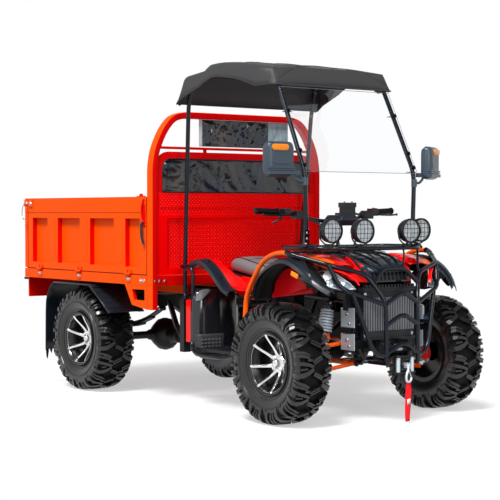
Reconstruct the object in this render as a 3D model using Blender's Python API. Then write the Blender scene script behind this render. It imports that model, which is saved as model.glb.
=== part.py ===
"""Utility quad bike with a tipping drop-side cargo bed, a cab roof and a bull bar.

Lengths are metres. X points forward, Y to the rider's left and Z up. Every place below is given from
the rear axle's centre line on the ground, and one empty shifts the whole vehicle so that its box is
centred on the origin.
"""
import math

import bmesh
import bpy
from mathutils import Matrix, Vector

# Stance
WHEELBASE = 1.915
FRONT_TRACK = 1.09
REAR_TRACK = 1.08
NOSE_OVERHANG = 0.399
TAIL_OVERHANG = 0.753

# Wheels
TYRE_RADIUS = 0.3175
LUG_DEPTH = 0.020
LUG_PITCHES = 14
FRONT_TYRE_WIDTH = 0.195
REAR_TYRE_WIDTH = 0.235
BEAD_INSET = 0.022
RIM_SEAT_RADIUS = 0.150
RIM_FLANGE_RADIUS = 0.166
RIM_FLANGE_WIDTH = 0.007
RIM_WALL = 0.009
HUB_RECESS = 0.080
HUB_RADIUS = 0.050
HUB_THICKNESS = 0.020
SPOKE_COUNT = 8
AXLE_STUB_RADIUS = 0.014
STUB_BORE_RADIUS = 0.0150

# Fits
TOUCH = 0.0003
PANEL_SEAM = 0.0008
RUNNING_GAP = 0.006

# Chassis
RAIL_SPREAD = 0.30
RAIL_WIDTH = 0.040
RAIL_HEIGHT = 0.060
RAIL_TOP_Z = 0.600
RAIL_REAR_X = -0.575
CAB_FRAME_X = 0.857
SLEEVE_WIDTH = 0.045
SLEEVE_SPREAD = 0.425
SLEEVE_TOP_Z = 0.597
SLEEVE_FOOT_Z = 0.290
LOWER_TUBE_SPREAD = 0.170
LOWER_TUBE_Z = 0.300
NOSE_TUBE_SPREAD = 0.085
FRAME_TUBE_RADIUS = 0.0125
MOUNT_PLATE_X = 2.120
MOUNT_PLATE_THICKNESS = 0.006

# Rear axle
AXLE_TUBE_RADIUS = 0.024
DIFFERENTIAL_RADIUS = 0.100
DRUM_RADIUS = 0.095
LEAF_HALF_LENGTH = 0.420
LEAF_WIDTH = 0.045
LEAF_THICKNESS = 0.012
LEAF_CENTRE_Z = 0.405
LEAF_EYE_Z = 0.515
LEAF_EYE_RADIUS = 0.014

# Front suspension
KINGPIN_SPREAD = 0.430
UPRIGHT_HALF = 0.018
LOWER_BALL_Z = 0.245
UPPER_BALL_Z = 0.390
LOWER_PIVOT_Z = 0.300
UPPER_PIVOT_Z = 0.425
DRIVE_Z = 0.362
DRIVE_HOUSING_RADIUS = 0.046
ARM_PIVOT_SPREAD = 0.1145
ARM_PIVOT_RADIUS = 0.016
ARM_TUBE_RADIUS = 0.011
ARM_HALF_SPAN = 0.100
SHOCK_TOP = (1.946, 0.240, 0.622)
SHOCK_FOOT = (1.962, 0.325, 0.322)
SPRING_RADIUS = 0.034
SPRING_WIRE = 0.0055
SPRING_TURNS = 5

# Steering
STEM_TOP = (1.700, 0.0, 1.050)
STEM_FOOT = (1.865, 0.0, 0.420)
STEM_RADIUS = 0.011
STEM_BORE_RADIUS = 0.0115
GRIP_HALF_WIDTH = 0.487
GRIP_X = 1.625
GRIP_Z = 1.110
BAR_RADIUS = 0.011
GRIP_RADIUS = 0.017

# Cargo bed
BED_REAR_X = -0.734
BED_FRONT_X = 0.813
BED_HALF_WIDTH = 0.624
PANEL_THICKNESS = 0.038
PANEL_TOP_Z = 1.1935
PANEL_RECESS = 0.034
BED_RAIL_TOP_Z = 0.735
BED_RAIL_FOOT_Z = 0.6775
BED_FLOOR_Z = 0.715
BED_FLOOR_THICKNESS = 0.020
PANEL_GAP = 0.006
LONGERON_FOOT_Z = 0.620
TIP_HINGE_X = -0.620
TIP_HINGE_Z = 0.615
TIP_PIN_RADIUS = 0.009
TIP_BORE_RADIUS = 0.0098
TIP_EYE_RADIUS = 0.022
SIDE_HINGE_OFFSET = 0.011
SIDE_HINGE_RADIUS = 0.008
POST_DEPTH = 0.058
POST_WIDTH = 0.038
POST_FOOT_Z = 0.537
HOOP_TOP_Z = 1.690
HINGE_PLACES = (-0.520, -0.020, 0.560)
TAIL_HINGE_PLACES = (-0.400, 0.400)
RIB_PLACES = ((-0.431, -0.296), (-0.018, 0.106), (0.387, 0.516))

# Cab
ROOF_POST_RADIUS = 0.0125
POST_SIDES = 8
FRONT_POST_BEND = (1.925, 0.390, 1.315)
FRONT_POST_TOP = (1.684, 0.376, 1.790)
SCREEN_ENDS = ((1.311, 0.402), (1.772, 0.392))
ROOF_THICKNESS = 0.005
MIRROR_CENTRE = (1.898, 0.540)
MIRROR_SWING = {"right": 0, "left": 30}
MIRROR_STATIONS = ((-0.032, 0.086, 1.300, 1.458), (-0.010, 0.090, 1.280, 1.476), (0.030, 0.070, 1.305, 1.450))
RACK_Z = 0.915
RACK_TUBE_RADIUS = 0.0110
LAMP_PROFILE = ((-0.055, 0.024), (-0.035, 0.053), (0.0, 0.065), (0.024, 0.066))
BAR_TUBE_RADIUS = 0.0122
MUDGUARD_INNER = 0.400
DECK_FOOT_Z = 0.318
BODY_FOOT_Z = 0.780
GUARD_TUBE_RADIUS = 0.0135
STRAP_WIDTH = 0.033

BAR_JOINT = (1.957, 0.480, 0.876)
BAR_SHOULDER = (2.115, 0.378, 0.830)
FLARE_EDGE = ((1.612, 0.640), (1.672, 0.758), (1.785, 0.834), (1.900, 0.859), (2.020, 0.823), (2.120, 0.754),
              (2.200, 0.700))
HEADLIGHT_STATIONS = ((1.995, 0.290, 0.380, 0.718, 0.788), (2.060, 0.255, 0.380, 0.6925, 0.785),
                      (2.112, 0.235, 0.348, 0.6905, 0.748), (2.150, 0.235, 0.300, 0.6905, 0.712))
FLARE_WIDTH = (0.105, 0.115, 0.120, 0.120, 0.120, 0.115, 0.100)
FLARE_OUTER = (0.520, 0.520, 0.520, 0.520, 0.520, 0.500, 0.450)

# Places worked out from the sizes above
REAR_AXLE_X = -(WHEELBASE + NOSE_OVERHANG - TAIL_OVERHANG) / 2
HINGE_Z = BED_RAIL_TOP_Z + PANEL_GAP / 2
SIDE_REAR_X = BED_REAR_X + PANEL_THICKNESS + PANEL_GAP
SIDE_FRONT_X = BED_FRONT_X - POST_DEPTH - PANEL_GAP

# Finishes as name, colour, metallic and roughness
PAINT_RED = ("body_red", (0.82, 0.012, 0.010), 0.0, 0.25)
PAINT_ORANGE = ("bed_orange", (1.0, 0.13, 0.01), 0.0, 0.35)
TUBE_BLACK = ("tube_black", (0.012, 0.016, 0.024), 0.3, 0.30)
PLASTIC_BLACK = ("plastic_black", (0.02, 0.021, 0.023), 0.0, 0.45)
RUBBER = ("tyre_rubber", (0.02, 0.02, 0.02), 0.0, 0.75)
ALLOY = ("rim_alloy", (0.55, 0.55, 0.56), 1.0, 0.25)
STEEL = ("bright_steel", (0.6, 0.6, 0.62), 1.0, 0.3)
CASTING = ("dark_casting", (0.05, 0.05, 0.055), 0.6, 0.5)
VINYL = ("seat_vinyl", (0.05, 0.05, 0.052), 0.0, 0.55)
SPRING_WHITE = ("spring_white", (0.75, 0.78, 0.82), 0.0, 0.35)
CLEAR = ("clear_sheet", (0.7, 0.8, 0.85), 0.0, 0.05)
FILM = ("window_film", (0.05, 0.06, 0.08), 0.0, 0.15)
LENS = ("lamp_lens", (0.8, 0.85, 0.9), 0.0, 0.1)
WEBBING = ("strap_webbing", (0.85, 0.02, 0.04), 0.0, 0.7)


def clear_scene():
    for thing in list(bpy.data.objects):
        bpy.data.objects.remove(thing, do_unlink=True)


def material_of(finish):
    name, colour, metallic, roughness = finish
    found = bpy.data.materials.get(name)
    if found:
        return found
    made = bpy.data.materials.new(name)
    made.use_nodes = True
    shader = made.node_tree.nodes["Principled BSDF"]
    shader.inputs["Base Color"].default_value = (*colour, 1.0)
    shader.inputs["Metallic"].default_value = metallic
    shader.inputs["Roughness"].default_value = roughness
    return made


def empty(name, place, parent=None):
    """An empty on a joint, placed by its vehicle coordinates."""
    made = bpy.data.objects.new(name, None)
    bpy.context.scene.collection.objects.link(made)
    made.empty_display_size = 0.05
    made.parent = parent
    made["place"] = tuple(place)
    made.location = Vector(place) - Vector(parent["place"]) if parent else Vector(place)
    return made


def link_mesh(name, mesh, finish=None, parent=None):
    """An object whose mesh is drawn in vehicle coordinates, hung on the empty that carries it."""
    bmesh.ops.recalc_face_normals(mesh, faces=mesh.faces)
    origin = Vector(parent["place"]) if parent else Vector((0, 0, 0))
    bmesh.ops.translate(mesh, verts=mesh.verts, vec=-origin)
    data = bpy.data.meshes.new(name)
    mesh.to_mesh(data)
    mesh.free()
    made = bpy.data.objects.new(name, data)
    bpy.context.scene.collection.objects.link(made)
    made.parent = parent
    if finish:
        data.materials.append(material_of(finish))
        data.shade_smooth()
        data.set_sharp_from_angle(angle=math.radians(35))
    return made


def combine(name, finish, parent, solids, cuts=()):
    """Weld overlapping solids into one body, then cut the openings out of it."""
    body = link_mesh(name, solids[0])
    helpers = []
    groups = []
    for operation, meshes in (("UNION", solids[1:]), ("DIFFERENCE", cuts)):
        if not meshes:
            continue
        group = bpy.data.collections.new(f"{name}_{operation.lower()}")
        bpy.context.scene.collection.children.link(group)
        groups.append(group)
        for number, mesh in enumerate(meshes):
            tool = link_mesh(f"{group.name}_{number}", mesh)
            tool.hide_render = True
            tool.display_type = "WIRE"
            helpers.append(tool)
            group.objects.link(tool)
            bpy.context.scene.collection.objects.unlink(tool)
        boolean = body.modifiers.new(operation, "BOOLEAN")
        boolean.operation = operation
        boolean.solver = "EXACT"
        boolean.operand_type = "COLLECTION"
        boolean.collection = group
    bpy.context.view_layer.update()
    evaluated = body.evaluated_get(bpy.context.evaluated_depsgraph_get())
    mesh = bmesh.new()
    mesh.from_mesh(evaluated.to_mesh())
    evaluated.to_mesh_clear()
    for thing in (body, *helpers):
        bpy.data.objects.remove(thing, do_unlink=True)
    for group in groups:
        bpy.data.collections.remove(group)
    bmesh.ops.remove_doubles(mesh, verts=mesh.verts, dist=1e-6)
    return link_mesh(name, mesh, finish, parent)


def single(name, finish, parent, mesh):
    return link_mesh(name, mesh, finish, parent)


def point_on(axis, along, across, up):
    """A point from its place along an axis and its two coordinates across it."""
    if axis == "x":
        return Vector((along, across, up))
    if axis == "y":
        return Vector((across, along, up))
    return Vector((across, up, along))


def box(low, high):
    mesh = bmesh.new()
    corners = [mesh.verts.new((x, y, z)) for x in (low[0], high[0])
               for y in (low[1], high[1]) for z in (low[2], high[2])]
    for face in ((0, 1, 3, 2), (4, 6, 7, 5), (0, 4, 5, 1), (2, 3, 7, 6), (0, 2, 6, 4), (1, 5, 7, 3)):
        mesh.faces.new([corners[index] for index in face])
    return mesh


def prism(outline, axis, start, end):
    """An outline drawn across an axis and drawn out along it."""
    mesh = bmesh.new()
    rings = [[mesh.verts.new(point_on(axis, along, *corner)) for corner in outline] for along in (start, end)]
    mesh.faces.new(rings[0])
    mesh.faces.new(reversed(rings[1]))
    close_rings(mesh, rings)
    return mesh


def close_rings(mesh, rings):
    for ring, following in zip(rings, rings[1:]):
        count = len(ring)
        for index in range(count):
            nearby = (index + 1) % count
            mesh.faces.new((ring[index], ring[nearby], following[nearby], following[index]))


def loft(sections, closed=False):
    """A skin over matching closed sections, with flat ends unless it closes on itself."""
    mesh = bmesh.new()
    rings = [[mesh.verts.new(corner) for corner in section] for section in sections]
    if closed:
        close_rings(mesh, rings + rings[:1])
    else:
        close_rings(mesh, rings)
        mesh.faces.new(rings[0])
        mesh.faces.new(reversed(rings[-1]))
    return mesh


def circle_point(axis, centre, along, radius, angle):
    """A point at an angle round an axis through the centre."""
    first = radius * math.cos(angle)
    second = radius * math.sin(angle)
    return Vector(centre) + point_on(axis, along, first, second)


def ring(axis, centre, profile, steps):
    """A closed profile of (along, radius) pairs turned round an axis."""
    sections = []
    for step in range(steps):
        angle = 2 * math.pi * step / steps
        sections.append([circle_point(axis, centre, along, radius, angle) for along, radius in profile])
    return loft(sections, closed=True)


def turned(axis, centre, profile, steps):
    """A solid of revolution from (along, radius) pairs, with flat ends."""
    sections = []
    for along, radius in profile:
        angles = (2 * math.pi * step / steps for step in range(steps))
        sections.append([circle_point(axis, centre, along, radius, angle) for angle in angles])
    return loft(sections)


def rounded_path(points, bend, steps=3):
    """The points with each inner corner eased into a short curve."""
    points = [Vector(point) for point in points]
    path = [points[0]]
    for before, corner, after in zip(points, points[1:], points[2:]):
        reach_in = min(bend, (corner - before).length * 0.45)
        reach_out = min(bend, (after - corner).length * 0.45)
        start = corner + (before - corner).normalized() * reach_in
        end = corner + (after - corner).normalized() * reach_out
        for step in range(steps + 1):
            part = step / steps
            path.append(start * (1 - part) ** 2 + corner * 2 * part * (1 - part) + end * part ** 2)
    path.append(points[-1])
    return path


def sweep(path, section):
    """A section, given as (side, up) offsets, carried along a path without twisting."""
    heading = (path[1] - path[0]).normalized()
    reference = Vector((0, 0, 1)) if abs(heading.z) < 0.9 else Vector((0, 1, 0))
    side = heading.cross(reference).normalized()
    rings = []
    for index, point in enumerate(path):
        before = path[max(index - 1, 0)]
        after = path[min(index + 1, len(path) - 1)]
        turned_heading = (after - before).normalized()
        side = side - turned_heading * side.dot(turned_heading)
        side.normalize()
        up = side.cross(turned_heading)
        rings.append([point + side * across + up * lift for across, lift in section])
    return loft(rings)


def round_section(radius, sides):
    angles = (2 * math.pi * (side + 0.5) / sides for side in range(sides))
    return [(radius * math.cos(angle), radius * math.sin(angle)) for angle in angles]


def tube(points, radius, sides=6, bend=0.035, steps=1):
    return sweep(rounded_path(points, bend, steps), round_section(radius, sides))


def bar(points, width, height, bend=0.02, steps=2):
    half, rise = width / 2, height / 2
    return sweep(rounded_path(points, bend, steps), [(-half, -rise), (half, -rise), (half, rise),
                                                     (-half, rise)])


def shell(rows, thickness):
    """A sheet through a grid of points, thickened on the side away from its normals."""
    grid = [[Vector(point) for point in row] for row in rows]
    last_row, last_column = len(grid) - 1, len(grid[0]) - 1
    offset = []
    for i, row in enumerate(grid):
        line = []
        for j, point in enumerate(row):
            along = grid[min(i + 1, last_row)][j] - grid[max(i - 1, 0)][j]
            across = row[min(j + 1, last_column)] - row[max(j - 1, 0)]
            line.append(point - along.cross(across).normalized() * thickness)
        offset.append(line)
    mesh = bmesh.new()
    outer = [[mesh.verts.new(point) for point in row] for row in grid]
    inner = [[mesh.verts.new(point) for point in row] for row in offset]
    for i in range(last_row):
        for j in range(last_column):
            mesh.faces.new((outer[i][j], outer[i + 1][j], outer[i + 1][j + 1], outer[i][j + 1]))
            mesh.faces.new((inner[i][j], inner[i][j + 1], inner[i + 1][j + 1], inner[i + 1][j]))
    border = [(0, j) for j in range(last_column)] + [(i, last_column) for i in range(last_row)]
    border += [(last_row, j) for j in range(last_column, 0, -1)] + [(i, 0) for i in range(last_row, 0, -1)]
    for (i, j), (k, m) in zip(border, border[1:] + border[:1]):
        mesh.faces.new((outer[i][j], outer[k][m], inner[k][m], inner[i][j]))
    return mesh


def mirrored(points, side):
    """Points given with Y outward, put on the left (1) or the right (-1)."""
    return [(x, side * y, z) for x, y, z in points]


def side_box(side, low, high):
    near, far = sorted((side * low[1], side * high[1]))
    return box((low[0], near, low[2]), (high[0], far, high[2]))


def side_prism(side, outline, start, end):
    return prism(outline, "y", side * start, side * end)


SIDES = {"right": -1, "left": 1}


def tyre_profile(width):
    """Half of the section as (across, radius) pairs, from the crown to the bead seat."""
    half = width / 2
    crown = TYRE_RADIUS - LUG_DEPTH
    return [(0.0, crown), (0.5 * half, crown - 0.002), (half - 0.012, crown - 0.012),
            (half, crown - 0.040), (half - 0.003, 0.215), (half - BEAD_INSET, 0.174),
            (half - BEAD_INSET, (RIM_SEAT_RADIUS + TOUCH) / math.cos(math.pi / (2 * LUG_PITCHES)))]


def tyre(name, centre, width, side, parent):
    """A carcass turned in wedges, with shoulder lugs on both sides and a bar across the crown."""
    half_profile = tyre_profile(width)
    loop = [(-across, radius) for across, radius in reversed(half_profile[1:])] + half_profile
    columns = LUG_PITCHES * 2
    pitch = 2 * math.pi / columns
    mesh = bmesh.new()

    def place(column, row, lift=0.0, shrink=(0.0, 0.0)):
        across, radius = loop[row]
        skew = 0.9 * (1 - abs(across) / (width / 2)) * side
        angle = pitch * (column + shrink[0] + skew)
        return circle_point("y", centre, across * (1 - shrink[1]), radius + lift, angle)

    grid = [[mesh.verts.new(place(column, row)) for row in range(len(loop))] for column in range(columns)]
    last = len(loop) - 1
    crown = len(loop) // 2
    shoulder_rows = ((crown - 3, crown - 1), (crown + 1, crown + 3))
    raised = {}
    for column in range(columns):
        if column % 2 == 0:
            raised[column, shoulder_rows[0][0]] = shoulder_rows[0]
            raised[column, crown] = (crown, crown + 1)
        else:
            raised[column, shoulder_rows[1][0]] = shoulder_rows[1]
            raised[column, crown - 1] = (crown - 1, crown)
    for column in range(columns):
        following = (column + 1) % columns
        row = 0
        while row < last:
            if (column, row) in raised:
                row = raise_lug(mesh, grid, place, column, following, raised[column, row], crown)
            else:
                mesh.faces.new((grid[column][row], grid[following][row],
                                grid[following][row + 1], grid[column][row + 1]))
                row += 1
        mesh.faces.new((grid[column][last], grid[following][last], grid[following][0], grid[column][0]))
    return single(name, RUBBER, parent, mesh)


def raise_lug(mesh, grid, place, column, following, rows, crown):
    """One tread block over the given rows of a wedge. Returns the row after it."""
    first, last = rows
    tops = []
    for edge, inward in ((column, 0.14), (column + 1, -0.14)):
        line = []
        for row in range(first, last + 1):
            outer = row == first and first < crown - 1 or row == last and last > crown + 1
            lift = LUG_DEPTH * (0.30 if outer else 1.0)
            line.append(mesh.verts.new(place(edge, row, lift, (inward, 0.0))))
        tops.append(line)
    low = [grid[column][row] for row in range(first, last + 1)]
    high = [grid[following][row] for row in range(first, last + 1)]
    count = last - first
    for step in range(count):
        mesh.faces.new((tops[0][step], tops[1][step], tops[1][step + 1], tops[0][step + 1]))
        mesh.faces.new((low[step], tops[0][step], tops[0][step + 1], low[step + 1]))
        mesh.faces.new((high[step], high[step + 1], tops[1][step + 1], tops[1][step]))
    mesh.faces.new((low[0], high[0], tops[1][0], tops[0][0]))
    mesh.faces.new((low[count], tops[0][count], tops[1][count], high[count]))
    return last


def rim(name, centre, width, side, parent):
    """A deep barrel with a flange at each lip, a recessed hub and slim spokes that curve in to it."""
    steps = 14
    seat = width / 2 - BEAD_INSET + TOUCH
    lip = seat + RIM_FLANGE_WIDTH
    inner = RIM_SEAT_RADIUS - RIM_WALL
    profile = [(-lip, inner), (-lip, RIM_FLANGE_RADIUS), (-seat, RIM_FLANGE_RADIUS), (-seat, RIM_SEAT_RADIUS),
               (seat, RIM_SEAT_RADIUS), (seat, RIM_FLANGE_RADIUS), (lip, RIM_FLANGE_RADIUS), (lip, inner)]
    barrel = ring("y", centre, profile, steps)
    face = side * (lip - HUB_RECESS)
    hub = turned("y", centre, [(face - side * HUB_THICKNESS, HUB_RADIUS), (face, HUB_RADIUS),
                               (face + side * 0.006, HUB_RADIUS * 0.6)], steps)
    bore = turned("y", centre, [(face - side * 2 * HUB_THICKNESS, STUB_BORE_RADIUS),
                                (face - side * 0.004, STUB_BORE_RADIUS)], 12)
    spokes = []
    path = [(0.144, lip - 0.003), (0.100, lip - 0.030), (HUB_RADIUS - 0.006, lip - HUB_RECESS - 0.006)]
    for number in range(SPOKE_COUNT):
        angle = 2 * math.pi * (number + 0.5) / SPOKE_COUNT
        sections = []
        for (radius, across), half_width in zip(path, (0.010, 0.007, 0.011)):
            spread = half_width / radius
            sections.append([circle_point("y", centre, side * (across + rise), radius, angle + turn)
                             for turn, rise in ((-spread, -0.008), (spread, -0.008),
                                                (spread, 0.002), (-spread, 0.002))])
        spokes.append(loft(sections))
    return combine(name, ALLOY, parent, [barrel, hub, *spokes], [bore])


def wheels(chassis, knuckles):
    for place, side in SIDES.items():
        front = (WHEELBASE, side * FRONT_TRACK / 2, TYRE_RADIUS)
        hub = empty(f"wheel_front_{place}", front, knuckles[place])
        tyre(f"tyre_front_{place}", front, FRONT_TYRE_WIDTH, side, hub)
        rim(f"rim_front_{place}", front, FRONT_TYRE_WIDTH, side, hub)
        rear = (0.0, side * REAR_TRACK / 2, TYRE_RADIUS)
        hub = empty(f"wheel_rear_{place}", rear, chassis)
        tyre(f"tyre_rear_{place}", rear, REAR_TYRE_WIDTH, side, hub)
        rim(f"rim_rear_{place}", rear, REAR_TYRE_WIDTH, side, hub)


def hub_face(track, width):
    """How far out the hub's outer face stands."""
    return track / 2 + width / 2 - BEAD_INSET + TOUCH + RIM_FLANGE_WIDTH - HUB_RECESS


def leaf_spring(side):
    """Three leaves as one bowed pack with a rolled eye at each end."""
    near = RAIL_SPREAD - LEAF_WIDTH / 2
    far = RAIL_SPREAD + LEAF_WIDTH / 2
    count = 8
    top, foot = [], []
    for step in range(count + 1):
        x = LEAF_HALF_LENGTH * (2 * step / count - 1)
        part = abs(x) / LEAF_HALF_LENGTH
        height = LEAF_CENTRE_Z + (LEAF_EYE_Z - LEAF_CENTRE_Z) * part ** 2
        top.append((x, height + LEAF_THICKNESS / 2))
        foot.append((x, height - LEAF_THICKNESS / 2 - 0.016 * max(0.0, 1 - part * 1.4)))
    pack = side_prism(side, top + foot[::-1], near, far)
    rolled = [(side * near, LEAF_EYE_RADIUS), (side * far, LEAF_EYE_RADIUS)]
    eyes = [turned("y", (x, 0, LEAF_EYE_Z), rolled, 8) for x in (-LEAF_HALF_LENGTH, LEAF_HALF_LENGTH)]
    clamp = side_box(side, (-0.045, near - 0.008, TYRE_RADIUS), (0.045, far + 0.008, LEAF_CENTRE_Z + 0.016))
    return [pack, *eyes, clamp]


def rear_axle(chassis):
    face = hub_face(REAR_TRACK, REAR_TYRE_WIDTH)
    inner = face - HUB_THICKNESS
    centre = (0, 0, TYRE_RADIUS)
    drum = inner - 0.012
    solids = [turned("y", centre, [(-0.30, AXLE_TUBE_RADIUS), (0.30, AXLE_TUBE_RADIUS)], 12)]
    housing = [(-0.10, 0.035), (-0.062, 0.075), (-0.03, DIFFERENTIAL_RADIUS), (0.03, DIFFERENTIAL_RADIUS),
               (0.062, 0.075), (0.10, 0.035)]
    solids.append(turned("y", centre, housing, 12))
    solids.append(turned("x", centre, [(0.04, 0.055), (0.13, 0.045), (0.21, 0.028)], 10))
    for side in SIDES.values():
        solids.append(turned("y", centre, [(side * 0.28, AXLE_TUBE_RADIUS),
                                           (side * (drum - 0.05), AXLE_TUBE_RADIUS),
                                           (side * (drum - 0.045), DRUM_RADIUS), (side * drum, DRUM_RADIUS),
                                           (side * (drum + 0.002), AXLE_STUB_RADIUS),
                                           (side * (face - 0.0045), AXLE_STUB_RADIUS)], 12))
        solids += leaf_spring(side)
    combine("rear_axle", CASTING, chassis, solids)


def rear_mudguard(place, side, chassis):
    """A folded plastic guard over the rear wheel with a rubber flap behind."""
    outline = [(-0.402, 0.260), (-0.398, 0.480), (-0.375, 0.585), (-0.300, 0.660), (0.140, 0.660),
               (0.375, 0.500)]
    inner, outer = MUDGUARD_INNER, 0.657
    rows = [[(x, side * y, z) for y in (inner, 0.5 * (inner + outer), outer)] for x, z in outline]
    guard = shell(rows if side > 0 else [row[::-1] for row in rows], 0.005)
    web = side_prism(side, [(-0.373, 0.584), (-0.299, 0.657), (0.140, 0.657), (0.300, 0.548), (0.29, 0.540),
                            (-0.36, 0.540)], inner, inner + 0.005)
    combine(f"rear_mudguard_{place}", PLASTIC_BLACK, chassis, [guard, web])


def chassis_frame(chassis):
    rail_foot = RAIL_TOP_Z - RAIL_HEIGHT
    solids = []
    cuts = []
    frame_rear = CAB_FRAME_X - SLEEVE_WIDTH / 2
    for side in SIDES.values():
        near, far = RAIL_SPREAD - RAIL_WIDTH / 2, RAIL_SPREAD + RAIL_WIDTH / 2
        solids.append(side_box(side, (RAIL_REAR_X, near, rail_foot), (frame_rear + 0.01, far, RAIL_TOP_Z)))
        for x in (-LEAF_HALF_LENGTH, LEAF_HALF_LENGTH):
            solids.append(side_box(side, (x - 0.03, near + 0.002, LEAF_EYE_Z + LEAF_EYE_RADIUS + TOUCH),
                                   (x + 0.03, far - 0.002, rail_foot + 0.01)))
        eye = [(TIP_HINGE_X + TIP_EYE_RADIUS * math.cos(angle),
                TIP_HINGE_Z + TIP_EYE_RADIUS * math.sin(angle))
               for angle in (math.radians(70 + 40 * step) for step in range(6))]
        bracket = eye + [(RAIL_REAR_X + 0.03, rail_foot + 0.003), (RAIL_REAR_X + 0.03, RAIL_TOP_Z - 0.003)]
        solids.append(side_prism(side, bracket, RAIL_SPREAD - 0.010, RAIL_SPREAD + 0.010))
        solids.append(turned("y", (TIP_HINGE_X, 0, TIP_HINGE_Z),
                             [(side * (RAIL_SPREAD - 0.030), TIP_PIN_RADIUS),
                              (side * (RAIL_SPREAD + 0.030), TIP_PIN_RADIUS)], 12))
        solids.append(side_box(side, (frame_rear, SLEEVE_SPREAD - SLEEVE_WIDTH / 2, SLEEVE_FOOT_Z),
                               (frame_rear + SLEEVE_WIDTH, SLEEVE_SPREAD + SLEEVE_WIDTH / 2, SLEEVE_TOP_Z)))
        solids.append(bar(mirrored([(0.520, RAIL_SPREAD + 0.01, rail_foot + 0.02), (0.700, 0.38, 0.43),
                                    (CAB_FRAME_X, 0.41, 0.315)], side), 0.026, 0.026))
        solids.append(tube(mirrored([(0.66, RAIL_SPREAD - 0.01, RAIL_TOP_Z - 0.02),
                                     (1.00, LOWER_TUBE_SPREAD - 0.02, 0.665),
                                     (1.42, LOWER_TUBE_SPREAD - 0.02, 0.665),
                                     (1.66, 0.13, 0.720), (1.84, 0.14, 0.745), (2.00, 0.16, 0.745),
                                     (2.075, LOWER_TUBE_SPREAD, 0.60), (2.09, LOWER_TUBE_SPREAD, 0.38)],
                                    side), FRAME_TUBE_RADIUS))
        solids.append(tube(mirrored([(CAB_FRAME_X, LOWER_TUBE_SPREAD, 0.310),
                                     (1.00, LOWER_TUBE_SPREAD, LOWER_TUBE_Z),
                                     (1.60, LOWER_TUBE_SPREAD, LOWER_TUBE_Z),
                                     (1.74, NOSE_TUBE_SPREAD, LOWER_TUBE_Z),
                                     (2.068, NOSE_TUBE_SPREAD, LOWER_TUBE_Z),
                                     (2.092, LOWER_TUBE_SPREAD - 0.01, 0.400)],
                                    side), FRAME_TUBE_RADIUS))
        for x in (1.78, 2.04):
            solids.append(tube(mirrored([(x, NOSE_TUBE_SPREAD, LOWER_TUBE_Z - 0.002),
                                         (x, 0.100, UPPER_PIVOT_Z),
                                         (x - 0.01, 0.135, 0.745)], side), FRAME_TUBE_RADIUS * 0.8))
        solids.append(side_box(side, (2.078, LOWER_TUBE_SPREAD - 0.025, 0.385),
                               (MOUNT_PLATE_X, 0.240, 0.600)))
        solids.append(tube(mirrored([(1.30, 0.150, 0.665), (1.30, 0.165, 0.30)], side),
                           FRAME_TUBE_RADIUS * 0.9))
        shock_x, shock_y, shock_z = SHOCK_TOP
        seat_z = shock_z + 0.014 + TOUCH
        solids.append(side_box(side, (shock_x - 0.020, 0.140, seat_z),
                               (shock_x + 0.020, shock_y + 0.018, seat_z + 0.014)))
        solids.append(side_box(side, (shock_x - 0.015, 0.120, seat_z), (shock_x + 0.015, 0.160, 0.740)))
        solids += body_brackets(side)
    cross = ((CAB_FRAME_X, SLEEVE_SPREAD, 0.310, 0.018), (frame_rear + 0.004, SLEEVE_SPREAD, 0.570, 0.018),
             (-0.50, RAIL_SPREAD, 0.570, 0.018), (0.25, RAIL_SPREAD, 0.570, 0.018))
    for x, reach, z, half in cross:
        solids.append(box((x - half, -reach, z - half), (x + half, reach, z + half)))
    for x in (1.24, 1.52):
        solids.append(box((x - 0.012, -LOWER_TUBE_SPREAD, LOWER_TUBE_Z - 0.006),
                          (x + 0.012, LOWER_TUBE_SPREAD, LOWER_TUBE_Z + 0.006)))
    solids.append(box((2.085, -LOWER_TUBE_SPREAD, 0.395), (MOUNT_PLATE_X, LOWER_TUBE_SPREAD, 0.430)))
    seat_z = DRIVE_Z - DRIVE_HOUSING_RADIUS * math.sin(math.radians(72)) - TOUCH
    solids.append(box((1.902, -NOSE_TUBE_SPREAD, LOWER_TUBE_Z), (1.928, NOSE_TUBE_SPREAD, seat_z)))
    for x in (1.80, 2.02):
        solids.append(box((x - 0.010, -NOSE_TUBE_SPREAD, LOWER_TUBE_Z - 0.005),
                          (x + 0.010, NOSE_TUBE_SPREAD, LOWER_TUBE_Z + 0.005)))
    top, foot = Vector(STEM_TOP), Vector(STEM_FOOT)
    direction = (top - foot).normalized()
    for height in (0.745, 0.440):
        centre = foot + direction * ((height - foot.z) / direction.z)
        solids.append(tube([centre - direction * 0.02, centre + direction * 0.02], 0.024))
        cuts.append(tube([centre - direction * 0.04, centre + direction * 0.04],
                         STEM_BORE_RADIUS / math.cos(math.pi / 12), 12))
        end_x, reach = (centre.x, 0.140) if height > 0.6 else (1.780, 0.100)
        for side in SIDES.values():
            solids.append(tube([centre + Vector((0, side * 0.016, 0)), (end_x, side * reach, height)],
                               FRAME_TUBE_RADIUS * 0.8))
    combine("chassis_frame", TUBE_BLACK, chassis, solids, cuts)


def body_brackets(side):
    """The tabs on the frame under the bodywork, the decks, the lamps and the rear mudguards."""
    tabs = [((x, 0.310, 0.572), (x + 0.040, MUDGUARD_INNER - TOUCH, 0.588)) for x in (-0.300, 0.080)]
    tabs += [((x, 0.165, 0.302), (x + 0.060, 0.250, DECK_FOOT_Z - TOUCH)) for x in (1.120, 1.360)]
    tabs.append(((1.830, 0.130, 0.742), (1.870, 0.165, BODY_FOOT_Z - TOUCH)))
    tabs.append(((2.085, 0.222, 0.590), (2.105, 0.262, 0.690)))
    tabs.append(((1.226, 0.135, 0.665), (1.250, 0.165, 0.6886)))
    return [side_box(side, low, high) for low, high in tabs]


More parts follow.
